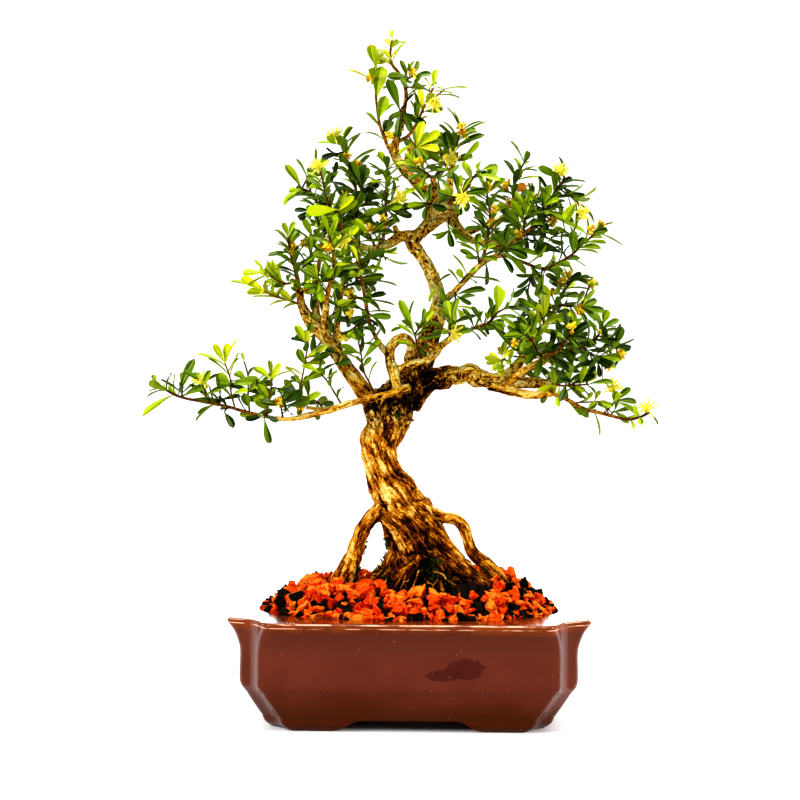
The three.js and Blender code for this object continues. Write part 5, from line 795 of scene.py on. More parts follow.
  ['left_low', 'mid', 1.3, [[-66, 267, -3], [-58, 272, -9], [-50, 277, -12]], [[0.5, -43, 270, 60, 20],
    [0.4, -62, 288, 40], [1, -37, 283, 30], [0.9, -52, 291, 40], [0.6, -54, 262, 50], [0.3, -75, 276, 50, 15]], [],
    0],
  ['left_rear', 'mid', 2.4, [[-49.3, 278.5, 26.8], [-46, 299, 42], [-44, 316, 52], [-47, 330, 60]],
    [[1, -38, 342, 40], [0.8, -58, 333, 40]], [['buds', -48, 331, 63]], 4],
  ['left_rear', 'old', 1.2, [[-47, 293, 38], [-40, 296, 48], [-34, 301, 57]], [[1, -24, 308, 50]], [], 3],
  # The crown: the leader's tip and the shoots around it.
  ['leader', 'new', 2, [[-4.4, 414.6, -1], [-3, 427, -1], [-5.5, 437, -2], [-9, 442.5, -2], [-12, 446, -3],
    [-14, 451, -3], [-13.5, 459, -4], [-12.5, 464, -4]], [[0.72, -18, 462, 30, 12], [0.7, -23, 448, 30, 11],
    [0.88, -8, 464, 20, 9, 1.3], [0.9, -17, 465, 20, 9, 1.3], [0.95, -3, 462, 70, 11], [1, -12, 471, 40, 8],
    [0.75, -9, 457, 60, 9]], [], 0],
  ['leader', 'mid', 1.1, [[-5, 435, -2], [-2, 437, -5], [1, 438.5, -8]], [[0.8, -16, 438.5, 10, 18, 1.1],
    [1, 14.5, 440.5, 30, 14, 1.1], [0.5, -7, 450, 40, 12], [0.7, -1.5, 448, 50, 10]], [['buds', 2, 441, -9]], 0],
  ['leader', 'old', 1.1, [[-3.8, 419, -1], [-6, 417, -6], [-7, 414.5, -10]], [[1, -16, 437, 15, 23, 1.1],
    [0.8, -15, 408, 35, 12, 1.1], [0.6, 0, 400, 25, 17], [0.4, 3, 427, 60, 14]], [], 0],
  ['left_shoot', 'new', 1.6, [[-16.3, 392, -2.7], [-21, 405, -5], [-23.3, 419, -5], [-24.2, 433, -5.5],
    [-24.5, 446, -6]], [[1, -27.5, 461, 5, 15, 1.3], [1, -20.5, 463, 5, 16, 1.3], [0.58, -20, 446, 5, 20, 1.4],
    [0.33, -17, 428, 10, 18, 1.3], [0.1, -14, 409, 10, 14, 1.4], [0.35, -11, 420, 60, 13], [0.8, -44, 444, 75, 22],
    [0.05, -31, 401, 80, 15], [0.2, -31, 414, 60, 12]], [['buds', -27, 438, -6], ['buds', -15, 398, -8]], 0],
  ['right_shoot', 'new', 1.8, [[-8, 394, -1], [-1, 398.5, -5], [5, 408, -7], [9, 417, -9], [13, 426, -10],
    [16, 431, -11]], [[1, 17.5, 444, 20, 13], [0.62, 6, 430, 20, 13], [0.4, 4, 422, 15, 15],
    [0.95, 10, 438, 80, 13], [0.35, 12, 412, 60, 9]], [['bloom', 16, 421, -12]], 0],
  ['right_shoot', 'new', 0.8, [[12, 423.5, -9.8], [18, 425.5, -12], [24, 430.5, -14]], [[1, 39.5, 431.5, 70, 16],
    [0.9, 17, 432, 60, 8]], [], 0],
  ['right_shoot', 'new', 1, [[-1.5, 398, -5], [2, 393, -12], [5, 390, -17]], [[0.9, 9, 408, 20, 18, 1.2],
    [1, 20.5, 401, 25, 17, 1.2], [1, 20, 391, 30, 16, 1.2], [0.8, 12, 383, 40, 14], [0.6, -8, 385, 50, 13]], [], 0],
  ['crown_rear', 'mid', 1.8, [[0.6, 389.7, 20.6], [5, 390, 33], [10, 387, 42]], [[1, 20, 394, 40]], [], 4],
  ['crown_stem', 'mid', 1.8, [[29.2, 377.6, 4], [30.7, 388, 4], [33, 396, 3], [35, 402, 2]],
    [[0.45, 51, 399, 40, 20], [0.7, 23, 408, 70, 14], [0.75, 52, 408, 70, 19], [1, 30, 415, 75, 12],
    [0.1, 24, 401, 15, 20, 1.5], [0.3, 19, 394, 30, 15], [0.1, 41, 384, 20, 13, 1.3]], [['buds', 35, 404, 1],
    ['buds', 36, 399, 1], ['bloom', 28.6, 382, -1.5]], 0],
  ['crown_right', 'mid', 1.3, [[40.7, 365.6, -13.6], [45, 371, -19], [49, 374, -22]], [[1, 60, 377, 30, 14],
    [0.8, 47, 380, 40, 11], [0.2, 36, 380, 20, 14], [0.1, 25, 370, 50, 17], [0.6, 62, 367, 40]], [], 0],
  ['crown_front', 'mid', 1.5, [[15.1, 368.8, -24.7], [10, 373, -31], [5, 376, -34]], [[1, -10, 379, 60, 15],
    [0.7, 20, 379, 70, 14], [0.4, 8, 362, 50], [0.5, 27, 374, 60], [1, -4, 386, 40, 13], [0.3, 0, 368, 60],
    [0.2, 26, 364, 60]], [['buds', 6, 379, -34]], 0],
  ['crown_front_right', 'mid', 1.5, [[26, 351, -5], [31, 356, -17], [36, 358, -27]], [[1, 51, 357, 50, 16],
    [0.8, 40, 346, 20, 15, 1.2], [0.5, 22, 365, 50], [0.9, 42, 370, 50, 14], [0.4, 20, 351, 60, 15],
    [0.7, 30, 373, 40]], [['bloom', 36, 356, -30]], 0],
  ['crown_rear_right', 'mid', 1.6, [[28, 371, 38.5], [23, 380, 50], [20, 387, 56]], [[1, 10, 394, 40]],
    [['buds', 22, 386, 57]], 4],
  ['knot_left', 'mid', 1.2, [[16, 351, -5], [12, 351, -12], [9, 352, -16]], [[0.6, -2, 349, 40, 16],
    [1, -4, 362, 60, 16], [0.8, 3, 365, 40, 15], [0.3, 15, 366, 30, 14]], [], 0],
  ['knot_below', 'mid', 0.9, [[27, 341.5, -1], [26, 336, -5], [27, 332, -7]], [[1, 17.5, 327, 20, 12],
    [0.6, 32, 326, 60, 9]], [], 0],
  # The upper right.
  ['rise_small', 'mid', 1.1, [[34, 294.5, -5.8], [37, 300, -10], [40, 303, -13]], [[0.5, 32, 306, 10, 11, 1.2],
    [1, 47, 307, 30, 9, 1.2], [0.1, 26, 306, 75, 15], [0.7, 62, 297, 75, 23], [0.9, 29, 316, 75, 17]], [], 0],
  ['rise_low', 'mid', 1.1, [[31, 291.5, -5], [31, 286, -10], [32, 279, -14]], [[0.3, 52, 292, 40, 21],
    [0.6, 44, 288, 50], [1, 37, 271, 30, 13], [0.8, 22, 281, 60], [1, 29, 265, 20, 14], [0.9, 47, 276, 70]], [], 0],
  ['rise_up', 'mid', 1.8, [[49, 310, -8], [53, 326, -12], [55, 343, -14], [54, 351, -15], [52.5, 359, -15]],
    [[1, 58, 379, 15, 18, 1.3], [0.75, 44, 347, 60, 12], [0.78, 54, 356, 5, 13, 1.2], [0.97, 65, 369, 30, 15],
    [0.9, 41, 363, 40, 14], [0.85, 63, 352, 50], [1, 45, 374, 50], [0.7, 41, 354, 50, 16], [0.45, 44, 346, 20, 18],
    [0.5, 37, 333, 50, 16]], [['buds', 53, 362, -17], ['buds', 56, 338, -16], ['buds', 58, 347, -16]], 0],
  ['east_fan', 'old', 2.2, [[65.6, 323, -0.3], [77, 329, -5], [87, 338, -9], [95, 349, -12], [99, 358, -14],
    [104, 365, -16], [107, 368.5, -17]], [[0.97, 88, 376, 40, 20], [0.9, 116, 352, 30, 18], [0.75, 90, 361, 50],
    [0.6, 99, 336, 50, 15], [0.7, 82, 352, 40], [0.8, 104, 343, 40], [0.55, 93, 330, 40]],
    [['bloom', 104, 372, -18], ['buds', 98, 339, -12]], 0],
  ['east_fan', 'mid', 1.2, [[77.5, 329.5, -5.2], [78, 336, -11], [80, 343, -15]], [[0.9, 80, 361, 30, 19],
    [1, 85, 362, 40, 19], [0.6, 70, 353, 30, 18, 1.2], [0.4, 63, 348, 20, 19, 1.2], [0.5, 95, 338, 40],
    [0.3, 65, 336, 50], [1, 72, 359, 40]], [['buds', 76, 331, -11]], 0],
  ['east_fan', 'mid', 1.1, [[89, 340.5, -9.8], [90, 345, -15], [92, 350, -19]], [[1, 97, 364, 20, 18, 1.1],
    [0.8, 90, 363, 40, 16], [0.6, 113, 339, 40, 24], [0.5, 122, 330, 60, 38], [0.9, 102, 354, 50]], [], 0],
  ['east_fan', 'mid', 0.9, [[102, 362, -15.2], [109, 357, -18], [115, 352.5, -20]], [[1, 106, 340, 15, 16, 1.3],
    [1, 127, 335, 60, 23]], [['bloom', 118, 346, -21]], 0],
  ['east_top', 'mid', 1.6, [[75, 327.5, -4], [74, 340, 3], [71, 352, 7], [71, 362, 8], [74, 370, 7.5],
    [78.5, 380, 6]], [[1, 69, 394, 70, 19], [0.9, 72.5, 382, 40, 12], [0.97, 81, 385, 50, 8],
    [0.85, 86, 377, 70, 13], [0.65, 80, 363, 10, 13, 1.5], [0.6, 60, 360, 40, 14], [0.5, 84, 355, 30, 17],
    [0.4, 59, 350, 30]], [['buds', 67, 364, 6], ['buds', 70, 352, 4]], 0],
  ['east_reach', 'mid', 1.7, [[64.6, 315.7, -9], [78, 310.6, -11], [90, 306.4, -13], [98, 308.3, -14],
    [111, 315.6, -16], [118, 322.6, -17], [125, 328.5, -18], [129, 334, -19]], [[0.95, 136, 332, 20, 16, 1.2],
    [0.75, 131, 321, 35, 20], [0.68, 112, 333, 10, 19, 1.2], [0.72, 120, 330, 15, 13, 1.2], [1, 140, 338, 70, 11],
    [0.55, 117, 314, 40, 15], [0.5, 98, 315, 40, 9], [0.58, 112, 303, 60, 12], [0.25, 90, 297, 10, 14, 1.1],
    [0.97, 147, 322, 80, 21]], [['buds', 131, 336, -20], ['buds', 125, 333, -20]], 0],
  ['east_low', 'mid', 1.1, [[60, 315, -8.5], [63, 319, -14], [66, 321, -18]], [[0.9, 81, 314, 20, 17, 1.3],
    [0.6, 80, 303, 40, 21], [0.3, 70, 303, 40, 17], [0.8, 88, 316, 50, 20], [0.5, 50, 322, 50], [1, 76, 331, 50],
    [0.7, 56, 330, 50]], [], 0],
  ['east_low_left', 'mid', 1, [[47.5, 308.7, -8], [47, 314, -13], [46, 318, -16]], [[0.5, 38, 314.5, 20, 11],
    [1, 31, 325, 80, 17], [0.6, 60, 312, 50, 15]], [], 0],
  ['east_rear', 'mid', 1.8, [[60.6, 340, 30.5], [70, 344, 40], [77, 347, 46], [88, 354, 55]], [[1, 96, 362, 40],
    [0.3, 62, 352, 40]], [['buds', 86, 355, 57]], 4],
  ['east_rear_low', 'mid', 1.4, [[52, 336, 22], [58, 333, 30], [66, 327, 38]], [[1, 78, 322, 40]], [], 4],
  # The lower right limb.
  ['limb_yellow', 'new', 1.2, [[71.5, 237.5, 4.4], [66, 243, -5], [62, 243.5, -12]], [[1, 54, 247, 20, 10, 1.2],
    [1, 57, 236, 15, 9, 1.2], [0.9, 62, 232.5, 15, 11, 1.2], [0.7, 60, 251, 50, 11], [0.4, 71, 251, 40, 13]],
    [['buds', 64, 250, -6]], 0],
  ['limb_top', 'mid', 2.3, [[85.2, 256.7, 9.7], [94, 269, 11], [101, 281, 13], [106, 291, 10], [112, 299, 7]],
    [[0.95, 124, 301, 40, 13], [0.7, 117, 288, 30], [0.5, 88, 288, 40], [0.8, 96, 299, 20, 14, 1.2],
    [1, 130, 295, 40, 20], [0.9, 97, 311, 40, 16], [0.4, 84, 283, 40]], [['buds', 99, 290, 8],
    ['buds', 110, 301, 5], ['buds', 105, 297, 5]], 0],
  ['limb_top', 'new', 1.2, [[87.5, 260, 10], [89, 264, 3], [92, 269, -1]], [[1, 92, 295, 15, 26, 1.1],
    [1, 109, 273, 15, 18, 1.3], [0.6, 88, 282, 10, 19], [0.4, 105, 258, 50, 20], [0.8, 80, 278, 40],
    [0.4, 76, 268, 50]], [], 0],
  ['limb_top', 'mid', 1.1, [[101, 281, 13], [110, 280.5, 6], [118, 280, 0]], [[1, 129, 284, 20, 13, 1.3],
    [0.8, 120, 291, 40, 12], [0.5, 113, 270, 40], [0.9, 128, 270, 40]], [['buds', 116, 278, -2],
    ['buds', 124, 296, 2]], 0],
  ['limb_end', 'mid', 1.8, [[104.6, 249.1, -1.2], [119, 253, -7], [128, 258, -10], [133, 268, -13]],
    [[1, 136, 278, 15, 12, 1.4], [0.8, 122, 271, 50], [0.9, 144, 271, 30, 13], [0.75, 141, 256, 20, 14, 1.5],
    [0.95, 127, 276, 20, 11], [0.4, 114, 264, 50]], [['buds', 132, 263, -14]], 0],
  ['limb_end', 'old', 0.9, [[127, 257.5, -9.8], [136, 256, -14], [143, 252, -17]], [[0.9, 146, 266, 15, 16, 1.2],
    [1, 150, 247, 60, 9], [0.5, 133, 266, 20, 13]], [], 0],
  ['limb_end', 'mid', 1, [[119, 253, -7], [124, 248, -12], [131, 245.5, -16]], [[1, 146.5, 244, 25, 16, 1.3],
    [0.8, 142, 257, 50], [0.5, 117, 242, 40], [1, 136, 240, 50, 10]], [['buds', 145, 248, -19],
    ['buds', 137, 240, -18]], 0],
  ['limb_low_right', 'new', 1.4, [[98.6, 226.6, -7.1], [105, 225.5, -14], [110, 226, -19]],
    [[1, 129, 234, 15, 20, 1.3], [0.9, 111, 242, 15, 16], [0.8, 119, 217, 40, 14], [0.3, 94, 217.5, 0, 11, 2],
    [0.4, 102, 211, 50, 15], [0.6, 108, 215, 40, 12], [0.2, 87, 221, 40, 13]], [], 0],
  ['limb_low_right', 'mid', 0.8, [[109, 226, -18], [116, 226, -22], [123, 226.5, -25]], [[1, 140, 228, 50, 18],
    [0.9, 128, 220, 60, 9], [0.6, 121, 239, 50]], [], 0],
  ['trail', 'mid', 2.1, [[97.6, 220.3, -11.9], [108, 216, -14], [120, 209.5, -16], [134, 206, -17],
    [149, 202.3, -19], [158, 203.8, -20], [165, 207, -21]], [[0.9, 159, 199, 30, 11], [0.8, 154, 195, 40, 12],
    [0.87, 154, 212, 30, 10], [0.15, 123, 203.5, 25, 20], [0.13, 118, 205, 50, 16], [0.6, 131, 214, 60, 12],
    [1, 171, 199, 70, 11]], [['bloom', 164, 209, -21]], 0],
  ['trail', 'mid', 0.8, [[133, 206.2, -17], [138, 211, -20], [141, 215, -22]], [[0.9, 143, 224, 20, 10, 1.5],
    [1, 156, 214.5, 35, 16], [0.9, 152, 224, 30, 14], [1, 158, 205, 50, 20]], [['bloom', 140, 223, -24]], 0],
  ['trail', 'new', 0.8, [[112, 213.8, -14.7], [119, 214, -17], [127, 214.5, -20]], [[1, 131, 222, 40, 9],
    [1, 137, 213, 40, 10], [0.6, 126, 221, 40, 9]], [], 0],
  ['limb_front', 'old', 2.1, [[87, 241.3, -27.2], [95, 246.5, -35], [102, 250, -40], [110, 261, -52]],
    [[1, 118, 272, 50], [0.8, 98, 264, 40], [0.6, 113, 246, 40], [0.95, 104, 274, 50], [0.9, 122, 257, 40],
    [0.5, 100, 235, 50]], [['buds', 111, 265, -53]], 1],
  ['limb_front', 'mid', 1.2, [[91, 244, -31.5], [87, 250, -37], [84, 257, -42]], [[1, 75, 268, 40],
    [0.8, 95, 268, 40], [0.5, 74, 252, 40], [0.9, 88, 275, 50], [0.3, 80, 240, 50]], [['buds', 73, 255, -40]], 0],
  ['limb_rear', 'mid', 2.1, [[92.6, 242.2, 26.4], [106, 249, 41], [110, 256, 48], [113, 265, 54]],
    [[1, 106, 280, 40]], [['buds', 115, 267, 55]], 4],
  ['limb_rear_low', 'mid', 1.4, [[84, 238.3, 16.5], [82, 247, 26], [80, 256, 34]], [[1, 72, 268, 40]], [], 4],
  # The branch that crosses in front, the bright rosette and the leaves on the leading stem.
  ['front_reach', 'mid', 1.9, [[34.6, 261.8, -22.6], [45, 265.8, -29], [54, 269, -37], [60, 276, -47]],
    [[1, 60, 295, 15, 19, 1.2], [0.75, 54, 287, 50, 19], [0.65, 74, 249, 20, 26, 1.2], [0.7, 66, 267, 40, 14],
    [0.35, 50, 277, 60, 12], [0.3, 36, 279, 50, 14], [0.2, 48, 257, 80, 14], [0.5, 42, 280, 40, 13]], [], 0],
  ['front_low', 'mid', 1.1, [[27, 257.8, -19.8], [27, 264, -26], [28, 271, -30]], [[1, 33, 286, 30, 15],
    [0.8, 20, 279, 50, 14], [0.6, 38, 262, 20, 14, 1.3], [0.3, 15, 262, 40, 13]], [['bloom', 30, 262, -28]], 0],
  ['rosette', 'mid', 1.3, [[8, 242.2, -16.8], [5, 252, -22], [3, 261, -26]], [[1, -7.5, 285, 5, 22, 1.2],
    [1, 15.5, 278, 10, 18, 1.2], [0.8, 21, 260, 30, 18], [0.6, 10, 246, 20, 12], [0.5, -10, 256, 40, 15],
    [0.9, -9, 268, 40, 13], [0.9, 14, 266, 40, 12]], [], 0],
  ['stem_leaves', 'mid', 0.9, [[17, 296.5, -3], [18, 296, -8], [18.5, 295, -11]], [[0.8, 25, 283, 15, 15],
    [1, 13, 283, 50, 14], [0.5, 28, 303, 60, 12]], [], 0],
]


# Curves and tubes.
def smooth_path(points, step):
    """A curve through every given point, with a point about every step. Further columns follow along."""
    points = np.asarray(points, float)
    ends = np.vstack([2 * points[0] - points[1], points, 2 * points[-1] - points[-2]])
    made = []
    for k in range(1, len(ends) - 2):
        a, b, c, d = ends[k - 1:k + 3]
        count = max(1, math.ceil(np.linalg.norm((c - b)[:3]) / step))
        for t in np.arange(count) / count:
            made.append(0.5 * (2 * b + (c - a) * t + (2 * a - 5 * b + 4 * c - d) * t ** 2
                               + (3 * b - a - 3 * c + d) * t ** 3))
    made.append(points[-1])
    return np.array(made)


def path_lengths(path):
    return np.concatenate([[0], np.cumsum(np.linalg.norm(np.diff(path, axis=0), axis=1))])


def frames(path):
    """Unit vectors along a path, and two across it that turn as little as they can."""
    along = np.gradient(path, axis=0)
    along /= np.maximum(np.linalg.norm(along, axis=1, keepdims=True), 1e-9)
    side = np.cross([0.0, 1.0, 0.0], along[0])
    if np.linalg.norm(side) < 0.2:
        side = np.cross([1.0, 0.0, 0.0], along[0])
    across = np.zeros_like(path)
    for k in range(len(path)):
        side = unit(side - along[k] * (side @ along[k]))
        across[k] = side
    return along, across, np.cross(along, across)


def ring_faces(rings, count):
    """Quads between rings of equal count, and a face over each end."""
    faces = []
    for k in range(rings - 1):
        for i in range(count):
            a, b = k * count + i, k * count + (i + 1) % count
            faces.append((a, b, b + count, a + count))
    faces.append(tuple(range(count - 1, -1, -1)))
    faces.append(tuple(range((rings - 1) * count, rings * count)))
    return faces


def tube(path, radii, sides):
    """Points and faces of a closed round tube. radii has one number for each ring, or one for each point."""
    _, across, third = frames(path)
    angle = 2 * math.pi * np.arange(sides) / sides
    radii = np.asarray(radii, float).reshape(len(path), -1)
    ring = across[:, None] * np.cos(angle)[None, :, None] + third[:, None] * np.sin(angle)[None, :, None]
    points = path[:, None] + ring * radii[:, :, None]
    return points.reshape(-1, 3), ring_faces(len(path), sides)


# The wood.
# How golden each way of WOOD is, from 0 for black bark to 1 for bare pale wood.
WOOD_TONES = [
    0.56, 0.61, 0.54, 0.46, 0.40, 0.44, 0.45, 0.45,
    0.56, 0.6, 0.62, 0.55, 0.58,
    0.6, 0.68, 0.85, 0.66,
    0.56, 0.52, 0.5, 0.5,
    0.92, 0.86,
    0.60, 0.52, 0.55, 0.5, 0.5, 0.52,
    0.58, 0.52,
    0.52, 0.52, 0.5, 0.52, 0.55, 0.52,
]
VOXEL = 0.95
TRUNK_STEP = 2.0
TRUNK_SIDES = 72
TRUNK_RIDGES = 5
RIDGE_DEPTH = 0.07
RIDGE_TWIST = 0.012
BRANCH_STEP = 1.6
# The ways of WOOD that are lumpier than the rest: the leading stem, its knot and the right limb.
LEADING_STEM, KNOT, RIGHT_LIMB = 8, 9, 23
KNOT_HEIGHT = 335
LUMPS = 0.09
KNOBBLY_LUMPS = 0.16
# Strand coordinates run along each branch from a start of its own, so that no two share their strands.
MAP_STEP = 1.5
BRANCH_START = 61
TRUNK_START = 900
STRAND_TWIST = 0.02
# How far the trunk reaches out over a branch's surface where the two meet.
TRUNK_OVERLAP = 0.4
# How much of a distance past the trunk's end counts as distance from it.
PAST_TRUNK_END = 0.8
LOOK_BATCH = 4000
# How far the bark breaks into flakes instead of strands, from 0 to 1.
PLAIN_FLAKES, KNOT_FLAKES, LIMB_FLAKES = 0.15, 0.8, 0.85
CRUMBLY_HEIGHTS, CRUMBLY_FLAKES = [212, 240], [0, 0.8]
TRUNK_FLAKES_FROM, TRUNK_FLAKES_OVER, LEAST_TRUNK_FLAKES = 186, 16, 0.05
TRUNK_TONES = [[70, 105, 125, 150, 190, 205, 225], [0.42, 0.45, 0.54, 0.62, 0.62, 0.5, 0.4]]
# How much paler the bark is painted on top, as painted light from above, and how it varies over patches of so many
# millimetres.
PAINTED_LIGHT_ON_TOP = 0.10
TONE_VARIES, TONE_PATCH = 0.07, 14
# Sizes of the noise cells across and along the strands, and how far the strands themselves are bent.
WARP_CELLS, WARP_REACH = [6, 6, 11], [1.5, 1.5, 3.0]
FIBRE_CELLS = [3.6, 3.6, 17], [1.9, 1.9, 10]
FLAKE_CELLS = [2.8, 2.8, 4.6], [1.6, 1.6, 2.6]
BREAK_CELLS = [4.6, 4.6, 5.5]
SMALL_LUMP_CELLS = [3.4, 3.4, 5]
LUMP_CELL, SWELLING_CELL = 9, 7.5
LUMP_SHARE = 0.07
# From this radius on the lumps grow no further.
LUMPS_GROW_TO, SMALL_LUMPS_GROW_TO = 12, 9
CREASE_SLOPE, CREASE_POWER = 2.8, 0.8
# The shares of the coarse and fine fibres, and how far the fibres hold where they break.
COARSE_FIBRES, FINE_FIBRES = 0.58, 0.42
HELD_AT_BREAKS = 0.62
# The relief that lies on the smooth skin: lower is cut in, higher is raised.
RELIEF_LEVEL = 0.6
# Depth of the bark's relief by the radius of the wood.
RELIEF_DEPTHS = [[1.5, 3, 5, 9, 14, 30], [0.25, 0.65, 1.15, 1.9, 2.5, 3.0]]
# Patches on the bark: drawn x, height and depth of the middle, reach across and up, and change of tone.
BARK_PATCHES = [
    [10, 231, -10, 13, 9, -0.8], [22, 222, -6, 10, 5, -0.4], [0, 211, -14, 20, 8, -0.2],
    [9, 100, -30, 9, 20, -0.6], [30, 88, -30, 14, 9, -0.6], [-4, 84, -30, 14, 7, -0.4],
    [-14, 98, -16, 6, 12, -0.25], [-27, 100, -6, 5, 12, -0.35], [-35, 96, -14, 5, 12, -0.35],
    # The patch at x -30, height 184 is a painted highlight on a ridge.
    [10, 122, -22, 3.5, 16, -0.3], [18, 126, -19, 3, 14, -0.2], [-30, 184, -8, 3, 14, 0.2],
    [-12, 188, -12, 4, 14, 0.22], [-18.8, 157, -14, 1.1, 5, 0.5], [-16.8, 151, -14.5, 1.3, 5, 0.6],
    [-14.6, 145, -15, 1.1, 5, 0.5], [30, 136, -8, 12, 3, 0.2], [15, 296, -3, 12, 24, 0.3],
    [22, 350, 0, 12, 10, 0.12], [16, 260, 0, 9, 12, -0.4], [16, 240, 0, 9, 8, -0.2], [38, 94, -20, 7, 4, 0.1],
    [-46, 90, -12, 9, 10, -0.2], [-8, 214, -14, 24, 11, -0.24], [-12, 219, -10, 14, 7, -0.2],
    [66, 86, -14, 14, 18, -0.5], [44, 108, -8, 4, 8, -0.35], [-50, 82, -14, 9, 12, -0.2],
    [24, 108, -26, 4, 12, -0.25], [30, 224, 4, 14, 4, -0.2], [52, 224, -2, 16, 3, -0.2],
]


def trunk_way(step):
    """The trunk's sections, and unit vectors along it, to its side and to its back."""
    rows = smooth_path([[*placed(way), way[3], way[4], way[1]] for way in TRUNK], step)
    along = np.gradient(rows[:, :3], axis=0)
    along /= np.linalg.norm(along, axis=1, keepdims=True)
    side = np.array([1.0, 0, 0]) - along * along[:, :1]
    side /= np.linalg.norm(side, axis=1, keepdims=True)
    return rows, along, side, np.cross(along, side)


def trunk_tube():
    rows, _, side, back = trunk_way(TRUNK_STEP)
    angle = 2 * math.pi * np.arange(TRUNK_SIDES) / TRUNK_SIDES
    ridge = 1 + RIDGE_DEPTH * np.cos(TRUNK_RIDGES * (angle[None] + RIDGE_TWIST * rows[:, 5:6]))
    points = (rows[:, None, :3] + side[:, None] * (rows[:, 3:4] * ridge * np.cos(angle))[:, :, None]
              + back[:, None] * (rows[:, 4:5] * ridge * np.sin(angle))[:, :, None])
    return points.reshape(-1, 3), ring_faces(len(rows), TRUNK_SIDES)


def components(vectors, *axes):
    """The component of each vector along each of its axes."""
    return [np.einsum("ij,ij->i", vectors, axis) for axis in axes]


class BranchMap:
    """Finds, for points on the wood, where along and around which branch they lie."""

    def __init__(self):
        kept = []
        for index, way in enumerate(WOOD):
            rows = smooth_path([[*placed(p), p[3]] for p in way], MAP_STEP)
            reach = path_lengths(rows[:, :3]) + BRANCH_START * index
            tones = np.full(len(rows), WOOD_TONES[index])
            branch = np.full(len(rows), index)
            kept.append((rows[:, :3], rows[:, 3], *frames(rows[:, :3]), reach, tones, branch))
        (self.centres, self.radii, self.along, self.across, self.third, self.reach, self.tones,
         self.branch) = (np.concatenate(column) for column in zip(*kept))
        self.trunk = trunk_way(MAP_STEP)

    def look(self, points):
        """Strand coordinates, radius, tone and flakiness of each point."""
        batches = [self.look_at(points[low:low + LOOK_BATCH]) for low in range(0, len(points), LOOK_BATCH)]
        return [np.concatenate(column) for column in zip(*batches)]

    def look_at(self, points):
        height = points[:, 2]
        far = np.linalg.norm(points[:, None] - self.centres[None], axis=2)
        best = np.argmin(far - self.radii[None], axis=1)
        radius = self.radii[best]
        outside = far[np.arange(len(points)), best] - radius
        right, back, further = components(points - self.centres[best], self.across[best], self.third[best],
                                          self.along[best])
        branch = self.branch[best]
        flake = np.where(branch == RIGHT_LIMB, LIMB_FLAKES, PLAIN_FLAKES)
        flake = np.where((branch == KNOT) | (branch == LEADING_STEM) & (height > KNOT_HEIGHT), KNOT_FLAKES, flake)

        rows, along, side, behind = self.trunk
        near = np.argmin(np.linalg.norm(points[:, None] - rows[None, :, :3], axis=2), axis=1)
        wide, deep = rows[near, 3], rows[near, 4]
        t_right, t_back, t_further = components(points - rows[near, :3], side[near], behind[near], along[near])
        mean = (wide + deep) / 2
        t_outside = (np.hypot(t_right / wide, t_back / deep) - 1) * mean + np.abs(t_further) * PAST_TRUNK_END
        on_trunk = t_outside < outside + TRUNK_OVERLAP

        reach = np.where(on_trunk, MAP_STEP * near + t_further + TRUNK_START, self.reach[best] + further)
        twist = np.where(on_trunk, np.arctan2(t_back / deep, t_right / wide), np.arctan2(back, right))
        twist = twist + STRAND_TWIST * reach
        radius = np.where(on_trunk, mean, radius)
        trunk_flake = np.clip((height - TRUNK_FLAKES_FROM) / TRUNK_FLAKES_OVER, LEAST_TRUNK_FLAKES, 1)
        flake = np.where(on_trunk, trunk_flake, flake)
        tone = np.where(on_trunk, np.interp(height, *TRUNK_TONES), self.tones[best])
        return np.stack([radius * np.cos(twist), radius * np.sin(twist), reach], axis=1), radius, tone, flake


def creased(points, seed):
    """From 0 in narrow creases to 1 on the rounded ridges between them."""
    return np.clip(np.abs(lattice_noise(points, seed)) * CREASE_SLOPE, 0, 1) ** CREASE_POWER


def add_strands(piece, strand):
    layer = piece.data.attributes.new("strand", "FLOAT_VECTOR", "POINT")
    layer.data.foreach_set("vector", strand.astype(np.float32).ravel())


